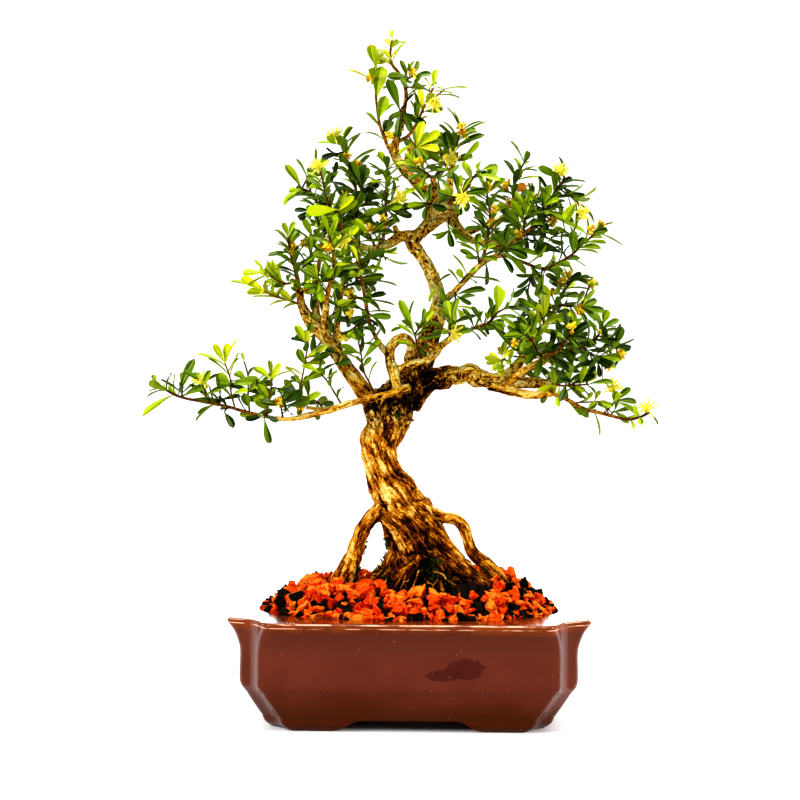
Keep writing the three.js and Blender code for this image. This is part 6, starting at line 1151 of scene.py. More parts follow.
def wood_piece(bark):
    """Trunk, roots and limbs fused into one skin, with fibres, flakes and lumps raised from it."""
    body = Body()
    body.add(*trunk_tube())
    for index, way in enumerate(WOOD):
        rows = smooth_path([[*placed(p), p[3]] for p in way], BRANCH_STEP)
        path, radii = rows[:, :3], rows[:, 3]
        sides = int(np.clip(4 * radii.max(), 12, 40))
        lump = lattice_noise(tube(path, radii, sides)[0] / SWELLING_CELL, 5 + index).reshape(len(path), sides)
        lumpy = KNOBBLY_LUMPS if index in (LEADING_STEM, KNOT, RIGHT_LIMB) else LUMPS
        body.add(*tube(path, radii[:, None] * (1 + lumpy * lump), sides))
    piece = body.made("tree_wood_bark", [bark], 180)
    fused = piece.modifiers.new("fused", "REMESH")
    fused.mode = "VOXEL"
    fused.voxel_size = VOXEL * MM
    mesh = evaluated(piece)
    count = len(mesh.vertices)
    flat = np.zeros(3 * count)
    mesh.vertices.foreach_get("co", flat)
    points = flat.reshape(-1, 3) / MM
    mesh.vertices.foreach_get("normal", flat)
    normals = flat.reshape(-1, 3).copy()
    strand, radius, tone, flake = BranchMap().look(points)
    flake = np.maximum(flake, np.interp(points[:, 2], CRUMBLY_HEIGHTS, CRUMBLY_FLAKES))
    warp = np.stack([lattice_noise(strand / WARP_CELLS, seed) for seed in (14, 15, 16)], axis=1)
    bent = strand + warp * WARP_REACH
    fibres = (COARSE_FIBRES * creased(bent / FIBRE_CELLS[0], 3)
              + FINE_FIBRES * creased(bent / FIBRE_CELLS[1], 4))
    flakes = 0.5 * creased(bent / FLAKE_CELLS[0], 6) + 0.5 * creased(bent / FLAKE_CELLS[1], 7)
    breaks = creased(bent / BREAK_CELLS, 9)
    fibres = fibres * (HELD_AT_BREAKS + (1 - HELD_AT_BREAKS) * breaks)
    relief = fibres * (1 - flake) + flakes * flake
    depth = np.interp(radius, *RELIEF_DEPTHS)
    lump = LUMP_SHARE * np.minimum(radius, LUMPS_GROW_TO) * lattice_noise(points / LUMP_CELL, 21)
    lump += LUMP_SHARE * np.minimum(radius, SMALL_LUMPS_GROW_TO) * lattice_noise(bent / SMALL_LUMP_CELLS, 22)
    points = points + normals * (depth * (relief - RELIEF_LEVEL) + lump)[:, None]
    # Painted light: the bark is paler where it faces up.
    tone = tone + PAINTED_LIGHT_ON_TOP * normals[:, 2] + TONE_VARIES * lattice_noise(points / TONE_PATCH, 12)
    for x, z, y, wide, tall, change in BARK_PATCHES:
        away = (points - placed([x, z, y])) / [wide, 1.2 * wide + 5, tall]
        tone = tone + change * np.exp(-np.sum(away ** 2, axis=1))
    mesh.vertices.foreach_set("co", (points * MM).ravel())
    for name, values in (("relief", relief), ("tone", tone), ("flake", flake)):
        mesh.attributes.new(name, "FLOAT", "POINT").data.foreach_set("value", values.astype(np.float32))
    add_strands(piece, strand)
    finish_mesh(piece, [bark], 180)
    return stand_in(piece, "bark", "tree_wood")


# Leaves.
BLADE_THICKNESS = 0.36
BLADE_MIDDLE = 0.12
RIB_SHARE = 0.1
RIB_RAISE = 0.22
PETAL_THINNESS = 0.6
# A blade's breadth: at its foot, where along it widens, and where it closes to the tip.
FOOT_BREADTH = 0.11
WIDENS_FROM, WIDENS_OVER, WIDENING_POWER = 0.03, 0.66, 0.85
CLOSES_FROM, CLOSES_OVER, CLOSING_POWER = 0.70, 0.31, 2.5
# How deep the tip is notched and how far its corners are rounded off, as shares of the length.
TIP_NOTCH, TIP_ROUNDING = 0.035, 0.03
ARCH_VARIES, CURL_VARIES, BEND_VARIES = 0.05, 0.5, 0.05
GROOVE_DEPTH = 0.10
WAVE_HEIGHT, WAVES = 0.06, 9


def blade_breadth(t):
    rise = np.clip((t - WIDENS_FROM) / WIDENS_OVER, 0, 1)
    body = FOOT_BREADTH + (1 - FOOT_BREADTH) * (rise * rise * (3 - 2 * rise)) ** WIDENING_POWER
    tip = np.sqrt(np.clip(1 - (np.clip(t - CLOSES_FROM, 0, 1) / CLOSES_OVER) ** CLOSING_POWER, 0.1, 1))
    return body * tip


def blade_faces(rows, columns):
    """The faces of a blade with that many rows and columns of points, over it and under it."""
    total = rows * columns
    faces = []
    for r in range(rows - 1):
        for c in range(columns - 1):
            a = r * columns + c
            faces.append((a, a + 1, a + columns + 1, a + columns))
            faces.append((total + a, total + a + columns, total + a + columns + 1, total + a + 1))
    rim = list(range(columns))
    rim += [r * columns + columns - 1 for r in range(1, rows)]
    rim += [(rows - 1) * columns + c for c in range(columns - 2, -1, -1)]
    rim += [r * columns for r in range(rows - 2, 0, -1)]
    for k, a in enumerate(rim):
        b = rim[(k + 1) % len(rim)]
        faces.append((a, total + a, total + b, b))
    return faces


class BladeGrid:
    """Where a blade's points lie along and across it, and its faces."""

    def __init__(self, rows, columns):
        self.along = np.repeat(np.array(rows), len(columns))
        self.across = np.tile(np.array(columns), len(rows))
        self.faces = blade_faces(len(rows), len(columns))


DRAWN_BLADE = BladeGrid([0, 0.07, 0.17, 0.30, 0.44, 0.58, 0.71, 0.82, 0.91, 0.97, 1.0],
                        [-1, -0.62, -0.2, 0, 0.2, 0.62, 1.0])
FILL_BLADE = BladeGrid([0, 0.1, 0.28, 0.5, 0.69, 0.84, 0.95, 1.0], [-1, -0.55, 0, 0.55, 1.0])


def add_blade(body, root, along, normal, length, width, key, kind, tone, withered=0.0, cup=0.16, petal=False,
              grid=DRAWN_BLADE):
    """One leaf or petal, with a groove along its middle, raised margins and a slight bend of its own."""
    left = np.cross(normal, along)
    t, s = grid.along, grid.across
    aside = np.abs(s)
    on_rib = aside < RIB_SHARE
    half = width / 2 * blade_breadth(t)
    reach = t - TIP_NOTCH * (t > 0.99) * on_rib - TIP_ROUNDING * (t > 0.95) * aside ** 3
    arch = LEAF_ARCH + ARCH_VARIES * (chance(key, 31) - 0.4)
    curl = CURL_VARIES * (chance(key, 32) - 0.6)
    bend = BEND_VARIES * (chance(key, 33) - 0.5)
    lift = 4 * arch * length * t * (1 - t) + curl * t ** 3 * 2
    rise = cup * half * aside ** 1.6 - GROOVE_DEPTH * on_rib * np.sqrt(half)
    rise += WAVE_HEIGHT * np.sin(WAVES * t + 6 * chance(key, 34)) * aside * half
    middle = (root + along * (reach * length)[:, None] + normal * (lift + rise)[:, None]
              + left * (half * s + bend * length * t * t)[:, None])
    thick = BLADE_THICKNESS * np.clip(1.15 - 0.7 * aside ** 2, 0.4, 1) * (PETAL_THINNESS if petal else 1)
    thick = thick + RIB_RAISE * on_rib * (1 - 0.8 * t)
    top = middle + normal * BLADE_MIDDLE
    bottom = middle - normal * (thick - BLADE_MIDDLE)[:, None]
    body.add(np.concatenate([top, bottom]), grid.faces, kind, along=np.tile(t, 2), across=np.tile(s, 2), tone=tone,
             shade=chance(key, 35), under=np.repeat([0.0, 1.0], len(t)), withered=withered)


def share_of_path(path, share):
    lengths = path_lengths(path)
    at = min(max(share, 0.0), 0.999) * lengths[-1]
    return np.array([np.interp(at, lengths, path[:, k]) for k in range(3)])


def stem_at(path, share):
    """A point of a stem, the way it runs there and a unit vector across it."""
    stem = unit(share_of_path(path, min(share + 0.05, 1)) - share_of_path(path, share - 0.05))
    across = np.cross(UP, stem)
    if across @ across <= 0.01:
        across = np.cross(IN_FRONT, stem)
    return share_of_path(path, share), stem, unit(across)


# How a leaf may lie: as given, or flipped, turned in degrees or moved up in millimetres.
LEANS = [
    [0, 0, 0], [1, 0, 0], [0, 25, 0], [0, -25, 0], [1, 25, 0], [0, 0, 2.5], [0, 0, -2.5], [1, -25, 2.5],
    [1, 0, -2.5], [0, 50, 2], [0, 0, 5], [0, 0, -5],
]


def drawn_leaf(path, leaf, order, lean):
    """Root, way, normal, length and width of a leaf drawn by the place of its tip."""
    share, tip_x, tip_z, turn = leaf[:4]
    length = leaf[4] if len(leaf) > 4 else LEAF_LENGTH
    wide = leaf[5] if len(leaf) > 5 else 1
    flip, twist, lift = lean
    root = share_of_path(path, share)
    on_plane = placed([tip_x, tip_z + lift, root[1]])
    seen = np.linalg.norm(on_plane - root)
    depth = math.sqrt(max(length ** 2 - seen ** 2, 0)) * (1 if (order + flip) % 2 else -1)
    tip = placed([tip_x, tip_z + lift, root[1] + depth])
    along = tip - root
    reach = np.linalg.norm(along)
    along = along / reach
    front = unit(IN_FRONT - along * (IN_FRONT @ along))
    edge = np.cross(along, front)
    edge = -edge if edge[2] < 0 else edge
    angle = math.radians(turn + twist)
    normal = front * math.cos(angle) + edge * math.sin(angle)
    width = LEAF_WIDTH * wide * (reach / LEAF_LENGTH) ** WIDTH_POWER
    return root, along, normal, reach, width


# The leaves in pairs: how far one may turn, in degrees, how far it leans out and along the stem, and its length.
ROUND_TURNS = 40
ROUND_OUT, ROUND_ON, ROUND_ON_BY_LIFT = 0.8, 0.6, 0.04
ROUND_LENGTH = (0.82, 0.3)
ROUND_LENGTH_TURN = 10


def round_leaf(path, key, pair, pairs, side, lean):
    """Root, way, normal, length and width of a leaf of one of the pairs round a stem's end."""
    flip, twist, lift = lean
    root, stem, across = stem_at(path, 1 - (pair + 0.3) / (pairs + 0.6))
    turn = (90 if pair % 2 else 0) + ROUND_TURNS * chance(key, pair) + 180 * side + twist + 30 * flip
    out = turned(across, stem, math.radians(turn))
    along = unit(ROUND_OUT * out + (ROUND_ON + ROUND_ON_BY_LIFT * lift) * stem)
    normal = unit(stem - along * (stem @ along))
    length = LEAF_LENGTH * ranged(ROUND_LENGTH, key, ROUND_LENGTH_TURN + 2 * pair + side)
    return root, along, normal, length, LEAF_WIDTH * (length / LEAF_LENGTH) ** WIDTH_POWER


PLAIN_TIP_HALF = 0.21
PLAIN_HALF_THICKNESS = 0.35
SAME_CORNER = 0.12


def tip_corners(blade):
    """The corners of the plain solid's tip, by which a leaf of the frame is recognised."""
    root, along, normal, length, width = blade
    left = np.cross(normal, along)
    end = root + along * length
    return [end + left * side * PLAIN_TIP_HALF * width + normal * face * PLAIN_HALF_THICKNESS
            for side in (1, -1) for face in (1, -1)]


def as_in_frame(tree, make):
    """A leaf with the lean that it has in the frame, or with the first lean where it isn't there."""
    for lean in LEANS:
        blade = make(lean)
        if all(tree.find(Vector(corner) * MM)[2] < SAME_CORNER * MM for corner in tip_corners(blade)):
            return blade
    return make(LEANS[0])


# Each stem has so many keys for its leaves: first the drawn ones, then from these on the pairs and the fill leaves.
LEAF_KEYS, ROUND_LEAF_KEYS, FILL_LEAF_KEYS = 1000, 500, 700
HEAD_KEYS = 50
SHOOT_KEYS, SHOOTS_PER_SPRAY = 400, 10
AGES = {"old": 0.12, "mid": 0.40, "new": 0.72}
STEM_AGES = {"old": 0.1, "mid": 0.4, "new": 0.9}
TONE_SPREAD = 0.46
YOUNGER_OUT = 0.26
# Leaves gone orange: 2 for a whole leaf, up to 1 for how orange the end of one is.
WITHERED = {("east_top", 78.5, 4): 2.0, ("left_shoot", -24.5, 0): 0.5, ("left_shoot", -24.5, 1): 0.4}


def leaf_tone(age, key, share):
    """A leaf's tone by its stem's age and by how far out on the stem it sits."""
    young = YOUNGER_OUT * (share - 0.6)
    return float(np.clip(AGES[age] + TONE_SPREAD * (chance(key, 41) - 0.5) + young, 0, 1))


BUD_CORNERS = np.array([[1, 0, 0], [0, 1, 0], [-1, 0, 0], [0, -1, 0], [0, 0, 1], [0, 0, -1.0]])
BUD_SIDES = [(0, 1, 4), (1, 2, 4), (2, 3, 4), (3, 0, 4), (1, 0, 5), (2, 1, 5), (3, 2, 5), (0, 3, 5)]


def ball():
    """A round ball of 32 faces."""
    points = [tuple(c) for c in BUD_CORNERS]
    faces = []

    def between(a, b):
        middle = unit(np.array(points[a]) + np.array(points[b]))
        points.append(tuple(middle))
        return len(points) - 1

    for a, b, c in BUD_SIDES:
        ab, bc, ca = between(a, b), between(b, c), between(c, a)
        faces += [(a, ab, ca), (ab, b, bc), (ca, bc, c), (ab, bc, ca)]
    return np.array(points), faces


BALL_POINTS, BALL_FACES = ball()


def direction(key, turn):
    """A repeatable unit vector, even over the ball."""
    z = 2 * chance(key, turn) - 1
    angle = 2 * math.pi * chance(key, turn + 100)
    flat = math.sqrt(1 - z * z)
    return np.array([flat * math.cos(angle), flat * math.sin(angle), z])


STALK_RADIUS = 0.62
STALK_STEPS = 5
STALK_TONE = 0.75
# Each flower has so many keys for its parts, and its threads and petals start at these.
FLOWER_KEYS, THREAD_KEYS, PETAL_KEYS = 97, 40, 80
# How many buds and threads a cluster of buds has, then an open bloom. The threads are scales or stamens.
CLUSTER_BUDS, OPEN_BUDS = 24, 8
SCALES, STAMENS = 5, 20
# The least of each size, and how much more it may be.
BUD_RADIUS = (0.62, 0.42)
BUD_STRETCH = (1.4, 0.7)
BUD_REACH, OPEN_BUD_REACH = (1.0, 2.6), 1.5
BUD_TONE, OPEN_BUD_TONE = (0.15, 0.75), (0.6, 0.2)
BUD_SHADES, THREAD_SHADE, ANTHER_SHADE = 0.3, 0.7, 0.2
# How far buds, stamens and scales are drawn to the flower's own way out.
BUDS_OUT, THREADS_OUT, SCALES_BACK = 0.35, 0.55, 0.2
THREAD_SHARES = (0.1, 0.4, 0.7, 1.0)
STAMEN_TONE, ANTHER_TONE, PETAL_TONE = (0.8, 0.2), (0.62, 0.25), 0.9
SCALE_LENGTH = (3.5, 1.1)
STAMEN_LENGTH = (5.6, 2.2)
SCALE_RADII = [0.5, 0.5, 0.4, 0.2]
STAMEN_RADII = [0.62, 0.58, 0.55, 0.62]
ANTHER = (0.5, 0.5, 0.65)
PETALS = 5
PETAL_SIZE = (5.4, 3.0)
PETAL_CUP = 0.3


def add_flower(body, path, head, key):
    """A cluster of round buds with short scales, or an open head of stamens over small petals."""
    kind, x, z, y = head
    middle = placed([x, z, y])
    foot = min((share_of_path(path, k / 50) for k in range(51)), key=lambda p: np.linalg.norm(p - middle))
    out = unit(middle - foot) if np.linalg.norm(middle - foot) > 0.5 else UP
    steps = np.linspace(0, 1, STALK_STEPS)[:, None]
    stalk = foot * (1 - steps) + middle * steps
    body.add(*tube(stalk, np.full(STALK_STEPS, STALK_RADIUS), 6), 1, tone=STALK_TONE)
    is_open = kind == "bloom"
    for k in range(OPEN_BUDS if is_open else CLUSTER_BUDS):
        bud_key = FLOWER_KEYS * key + k
        away = unit(direction(bud_key, 1) + BUDS_OUT * out)
        centre = middle + away * (OPEN_BUD_REACH if is_open else ranged(BUD_REACH, bud_key, 3))
        points = BALL_POINTS * ranged(BUD_RADIUS, bud_key, 2)
        points = points + np.outer(points @ away * (ranged(BUD_STRETCH, bud_key, 5) - 1), away)
        tone = ranged(OPEN_BUD_TONE if is_open else BUD_TONE, bud_key, 4)
        body.add(points + centre, BALL_FACES, 2, tone=tone, shade=BUD_SHADES * chance(bud_key, 6))
    for k in range(STAMENS if is_open else SCALES):
        thread_key = FLOWER_KEYS * key + THREAD_KEYS + k
        away = unit(direction(thread_key, 1) + THREADS_OUT * out - (0 if is_open else SCALES_BACK) * out)
        reach = ranged(STAMEN_LENGTH if is_open else SCALE_LENGTH, thread_key, 2)
        sag = direction(thread_key, 3)
        way = [middle + away * reach * t + sag * t * t for t in THREAD_SHARES]
        thick = STAMEN_RADII if is_open else SCALE_RADII
        body.add(*tube(np.array(way), thick, 5), 2, tone=ranged(STAMEN_TONE, thread_key, 4), shade=THREAD_SHADE)
        if is_open:
            tip = BALL_POINTS * ANTHER + way[-1]
            body.add(tip, BALL_FACES, 2, tone=ranged(ANTHER_TONE, thread_key, 5), shade=ANTHER_SHADE)
    if is_open:
        start = turned(unit(np.cross(out, IN_FRONT + 0.1)), out, 6 * chance(key, 7))
        for k in range(PETALS):
            spread = turned(start, out, 2 * math.pi * k / PETALS)
            along = unit(spread + 0.5 * out)
            normal = unit(out - along * (out @ along))
            petal_key = FLOWER_KEYS * key + PETAL_KEYS + k
            add_blade(body, middle, along, normal, *PETAL_SIZE, petal_key, 2, PETAL_TONE, cup=PETAL_CUP,
                      petal=True)


# Swellings where leaves sit, lumps between them, and the tip against the rest.
NODE_SWELLING, NODE_CLOSENESS = 0.10, 9.4
STEM_LUMPS, STEM_LUMP_CELL = 0.08, 3
STEM_TIP = 0.6
# Stems of this radius begin to look like bark, and do so wholly when they are thicker by so much.
BARK_FROM, BARK_OVER = 0.9, 0.5


def stem_tube(body, path, radius, age, key):
    """A stem with small swellings where leaves sit, slimmer than the plain solid's."""
    rows = smooth_path(path, STEM_STEP)
    shares = path_lengths(rows) / path_lengths(rows)[-1]
    count = len(path) - 1
    radii = STEM_SLIMMING * np.maximum(radius * (1 - STEM_TAPER * shares), STEM_MINIMUM)
    radii *= 1 + NODE_SWELLING * np.maximum(0, np.sin(shares * count * NODE_CLOSENESS + key)) ** 6
    radii *= 1 + STEM_LUMPS * lattice_noise(rows / STEM_LUMP_CELL, 31)
    radii[-1] *= STEM_TIP
    thick = np.repeat(np.clip((radii - BARK_FROM) / BARK_OVER, 0, 1), STEM_SIDES)
    body.add(*tube(rows, radii, STEM_SIDES), 1, tone=STEM_AGES[age], thick=thick)


# How many of the places along a stem carry leaves besides the drawn ones: fewer where the spray is open.
OPEN_SPRAYS = {
    "low_left_end": 0.12, "low_left_gold": 0.2, "low_left_pair": 0.2, "low_left_up": 0.2, "low_left_back": 0.3,
    "limb_low": 0.2, "limb_mid": 0.3, "left_far": 0.25, "leader": 0.25, "left_shoot": 0.15, "right_shoot": 0.2,
    "thin_stem": 0.35, "shoot_between": 0.3, "trail": 0.12, "limb_low_right": 0.3, "stem_leaves": 0.3,
    "rosette": 0.2, "east_reach": 0.35, "rise_low": 0.4, "rise_small": 0.4,
}
USUAL_FILLING = 0.92
NODE_SPACING = 3.7
BLADE_SLIMMING = 0.88
# How broad the drawn leaves of a few sprays are against the usual.
BLADE_WIDTHS = {"rosette": 0.68, "stem_leaves": 0.8, "left_shoot": 1.15}
FILL_WIDTH = 0.82
FILL_WIDTH_POWER = 0.8
FILL_START = 0.16
FILL_LENGTH = (11, 8)
# How far a pair of leaves may turn from the cross of the pair before, and a face about its leaf, in degrees.
PAIR_TURNS, FACE_TURNS = 50, 50
# How far each leaf leans away from its stem, and how far along it.
LEANS_OUT, LEANS_ON = (0.75, 0.3), (0.35, 0.5)
FILL_DARKER = 0.04
WOOD_CLEARANCE = 3.5


def fill_leaves(body, path, spray, age, key, wood_tree, box):
    """Pairs of smaller leaves between the drawn ones, each pair crossing the one before it."""
    span = path_lengths(path)[-1]
    share_kept = OPEN_SPRAYS.get(spray, USUAL_FILLING)
    for node in range(int(span / NODE_SPACING) + 1):
        share = (FILL_START * span + (node + 0.5) * NODE_SPACING) / span
        if share > 1.0:
            break
        root, stem, across = stem_at(path, share)
        for side in (0, 1):
            leaf_key = LEAF_KEYS * key + FILL_LEAF_KEYS + 2 * node + side
            if chance(leaf_key, 1) > share_kept:
                continue
            turn = 90 * (node % 2) + 180 * side + PAIR_TURNS * (chance(leaf_key, 2) - 0.5)
            out = turned(across, stem, math.radians(turn))
            along = unit(ranged(LEANS_OUT, leaf_key, 3) * out + ranged(LEANS_ON, leaf_key, 4) * stem)
            length = ranged(FILL_LENGTH, leaf_key, 5)
            tip = root + along * length
            off_wood = wood_tree.find_nearest(Vector(tip * MM))[3]
            if off_wood < WOOD_CLEARANCE * MM or np.any(tip * MM < box[0]) or np.any(tip * MM > box[1]):
                continue
            normal = unit(stem - along * (stem @ along))
            normal = turned(normal, along, math.radians(FACE_TURNS * (chance(leaf_key, 6) - 0.5)))
            width = FILL_WIDTH * LEAF_WIDTH * (length / LEAF_LENGTH) ** FILL_WIDTH_POWER
            tone = leaf_tone(age, leaf_key, share) - FILL_DARKER
            add_blade(body, root, along, normal, length, width, leaf_key, 0, max(tone, 0.0), grid=FILL_BLADE)


# Ends of further side shoots: x, height, how far behind the stem that each one leaves, and age.
SIDE_SHOOTS = [
  [84, 331, 6, "old"], [93, 325, -6, "mid"], [80, 322, -4, "old"], [105, 331, 4, "mid"], [100, 321, 8, "old"],
  [88, 297, -4, "old"], [80, 289, 5, "old"], [92, 303, 8, "mid"], [70, 277, -5, "mid"],
  [77, 270, 3, "old"], [88, 276, -8, "old"], [105, 281, 6, "old"], [52, 311, 6, "mid"],
  [120, 250, 8, "mid"], [126, 240, -8, "old"], [118, 236, 2, "old"], [120, 262, 4, "mid"], [126, 255, -6, "old"],
  [102, 276, 6, "old"], [110, 270, -4, "mid"], [88, 335, 0, "mid"], [82, 327, 10, "old"], [100, 240, -7, "old"],
  [74, 258, -9, "mid"], [108, 236, 8, "mid"], [110, 227, -5, "old"], [96, 226, 9, "old"], [-53, 284, 8, "mid"],
  [-60, 258, 6, "old"], [-38, 330, -7, "mid"], [-16, 372, 5, "mid"], [-14, 398, 4, "mid"], [-20, 352, 8, "mid"],
  [-32, 262, 6, "old"], [-30, 272, -5, "mid"], [-28, 254, 0, "mid"], [-120, 228, 3, "mid"], [-3, 268, 2, "mid"],
  [10, 268, -3, "mid"], [-44, 268, 9, "old"],
  [86, 284, 5, "old"], [90, 262, -6, "mid"], [72, 260, 4, "old"], [-104, 206, 3, "mid"], [-98, 203, -5, "old"],
  [-104, 226, -3, "mid"], [-68, 240, 5, "mid"], [-70, 256, -6, "old"], [-30, 310, 6, "mid"], [-14, 345, 6, "old"],
  [104, 297, -6, "old"], [88, 246, -10, "old"], [95, 239, 5, "mid"], [104, 247, -4, "old"], [112, 238, 5, "old"],
  [122, 245, -5, "old"], [105, 227, -8, "mid"], [98, 233, 8, "old"], [111, 222, 4, "mid"], [91, 230, 10, "mid"],
  [139, 208, 5, "mid"], [128, 213, -5, "mid"], [-66, 382, 6, "mid"], [-52, 385, -6, "old"], [-45, 374, 4, "old"],
  [-52, 364, -5, "old"], [-33, 351, 5, "old"], [-17, 347, -4, "mid"], [-29, 340, 0, "old"], [-17, 312, -5, "mid"],
  [-51, 295, -6, "old"], [-34, 277, 4, "mid"], [-67, 262, 5, "mid"], [-38, 262, -4, "mid"], [-66, 245, 0, "mid"],
  [-47, 280, -8, "old"], [-36, 300, 6, "old"], [-155, 225, 4, "mid"], [-138, 228, -4, "mid"], [-129, 219, 5, "old"],
  [-119, 225, -5, "mid"], [-102, 228, 5, "mid"], [-110, 221, -6, "old"], [-96, 214, 4, "mid"], [-87, 222, -4, "old"],
  [-84, 211, 5, "mid"], [20, 364, 6, "mid"], [36, 382, -4, "mid"], [18, 378, 5, "old"], [-8, 439, 3, "mid"],
  [1, 430, -5, "mid"], [11, 428, 4, "mid"], [-5, 411, -4, "old"], [9, 413, 5, "mid"], [-22, 330, 8, "old"],
]


def side_shoots():
    """The side shoots of each spray: from the nearest point of its stems, bowed up to the given end."""
    stems = [(row[0], np.array([placed(p) for p in row[3]])) for row in SPRAYS]
    found = {}
    for x, z, behind, age in SIDE_SHOOTS:
        nearest = None
        for spray, path in stems:
            for share in np.linspace(0.15, 1, 12):
                foot = share_of_path(path, share)
                end = placed([x, z, 0])
                end[1] = foot[1] + behind
                gap = np.linalg.norm(end - foot)
                if nearest is None or gap < nearest[0]:
                    nearest = gap, spray, foot, end
        gap, spray, foot, end = nearest
        middle = (foot + end) / 2 + UP * SHOOT_BOW * gap
        found.setdefault(spray, []).append((np.array([foot, (foot + middle) / 2, middle, end]), age))
    return found


def spray_pieces(leaf, twig, flower, wood_tree):
    """Each spray of the frame again, with its stems, drawn leaves, fill leaves, flowers and side shoots."""
    shoots = side_shoots()
    low, high = (np.array(corner) for corner in cad_box)
    box = low + 0.001, high - 0.001
    names = list(dict.fromkeys(row[0] for row in SPRAYS))
    for place, name in enumerate(names):
        body = Body("along", "across", "tone", "shade", "under", "withered", "thick")
        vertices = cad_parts[name].data.vertices
        tree = KDTree(len(vertices))
        for k, vertex in enumerate(vertices):
            tree.insert(vertex.co, k)
        tree.balance()
        for key, (spray, age, radius, way, leaves, heads, pairs) in enumerate(SPRAYS):
            if spray != name:
                continue
            path = np.array([placed(p) for p in way])
            stem_tube(body, path, radius, age, key)
            slimming = BLADE_SLIMMING * BLADE_WIDTHS.get(name, 1)
            for order, drawn in enumerate(leaves):
                *blade, width = as_in_frame(tree, lambda lean: drawn_leaf(path, drawn, order, lean))
                leaf_key = LEAF_KEYS * key + order
                withered = WITHERED.get((name, way[-1][0], order), 0.0)
                add_blade(body, *blade, slimming * width, leaf_key, 0, leaf_tone(age, leaf_key, drawn[0]), withered)
            for pair in range(pairs):
                for side in (0, 1):
                    *blade, width = as_in_frame(tree, lambda lean: round_leaf(path, key, pair, pairs, side, lean))
                    leaf_key = LEAF_KEYS * key + ROUND_LEAF_KEYS + 2 * pair + side
                    add_blade(body, *blade, BLADE_SLIMMING * width, leaf_key, 0, leaf_tone(age, leaf_key, 0.7))
            fill_leaves(body, path, spray, age, key, wood_tree, box)
            for number, head in enumerate(heads):
                add_flower(body, path, head, HEAD_KEYS * key + number)
        for number, (path, age) in enumerate(shoots.get(name, [])):
            key = SHOOT_KEYS + SHOOTS_PER_SPRAY * place + number
            stem_tube(body, path, SHOOT_RADIUS, age, key)
            fill_leaves(body, path, None, age, key, wood_tree, box)
        piece = body.made(name + "_foliage", [leaf, twig, flower], 50)
        stand_in(piece, "leaf", name)


# The pot.
def pot_outline(offset):
    """The wall's plan: straight sides and a hollow notch at each corner, with rounded folds."""
    half_length = BODY_HALF_LENGTH + offset
    half_width = BODY_HALF_WIDTH + offset
    shift = -FLARE_OF_FOLDS * offset if offset > 0 else offset
    front_fold = np.array([BODY_HALF_LENGTH - CORNER_FOLD + shift, half_width])
    side_fold = np.array([half_length, BODY_HALF_WIDTH - SIDE_FOLD + shift])
    hollow = np.array([front_fold[0] + NOTCH_DEPTH, side_fold[1] + NOTCH_DEPTH])
    t = np.linspace(0, 1, NOTCH_POINTS)[:, None]
    notch = side_fold * (1 - t) ** 2 + 2 * hollow * t * (1 - t) + front_fold * t ** 2
    side = np.linspace(0, 1, SIDE_POINTS)[:-1, None] * [0, side_fold[1]] + [half_length, 0]
    front = np.linspace(1, 0, FRONT_POINTS)[1:, None] * [front_fold[0], 0] + [0, half_width]
    quarter = np.vstack([side, notch, front])
    left = (quarter * [-1, 1])[::-1][1:]
    half = np.vstack([quarter, left])
    whole = np.vstack([half, (half * [1, -1])[::-1][1:-1]])
    for _ in range(3):
        whole = 0.5 * whole + 0.25 * (np.roll(whole, 1, axis=0) + np.roll(whole, -1, axis=0))
    return whole


def opening_radius(angle, inset=0.0):
    """From the middle to the edge of the rounded opening, or that far inside it."""
    c = np.abs(np.cos(angle)) / (OPENING_HALF_LENGTH - inset)
    s = np.abs(np.sin(angle)) / (OPENING_HALF_WIDTH - inset)
    return (c ** OPENING_POWER + s ** OPENING_POWER) ** (-1 / OPENING_POWER)


def opening_plan(inset, count):
    angle = 2 * math.pi * np.arange(count) / count
    r = opening_radius(angle, inset)
    return np.stack([r * np.cos(angle), r * np.sin(angle)], axis=1)


def at_height(plan, z):
    return np.column_stack([plan, np.full(len(plan), z)]) + SHIFT


def ringed(name, rings):
    """A closed helper solid from rings of equal count."""
    body = Body()
    body.add(np.vstack(rings), ring_faces(len(rings), len(rings[0])))
    return body.made(name, [], 180)


def arch_block(half_span, along_x):
    """The gap between two feet, with S-shaped ends."""
    top = POT_UNDERSIDE - ARCH_BAND
    bend = half_span + 0.4 * ARCH_CURL
    t = np.linspace(0, 1, 13)[:, None]
    start = np.array([-half_span - ARCH_CURL, -0.2])
    curve = (start * (1 - t) ** 3 + 3 * np.array([-bend, 1]) * t * (1 - t) ** 2
             + 3 * np.array([-bend, top - 0.4]) * t ** 2 * (1 - t) + np.array([-half_span, top]) * t ** 3)
    curve = np.vstack([[start[0], -PAST_CUT], curve])
    plan = np.vstack([curve, (curve * [-1, 1])[::-1]])
    rings = []
    for reach in (ARCH_REACH, -ARCH_REACH):
        end = np.full(len(plan), reach)
        columns = [end, plan[:, 0], plan[:, 1]] if along_x else [plan[:, 0], -end, plan[:, 1]]
        rings.append(np.column_stack(columns) + SHIFT)
    return ringed("arch", rings)


def cut(piece, other, operation):
    change = piece.modifiers.new("cut", "BOOLEAN")
    change.object = other
    change.operation = operation
    change.solver = "MANIFOLD"
    evaluated(piece)
    bpy.data.objects.remove(other)


def drain_hole(x):
    angle = 2 * math.pi * np.arange(DRAIN_POINTS) / DRAIN_POINTS
    plan = DRAIN_HOLE_RADIUS * np.stack([np.cos(angle), np.sin(angle)], axis=1) + [x, 0]
    return ringed("drain", [at_height(plan, z) for z in DRAIN_CUT])


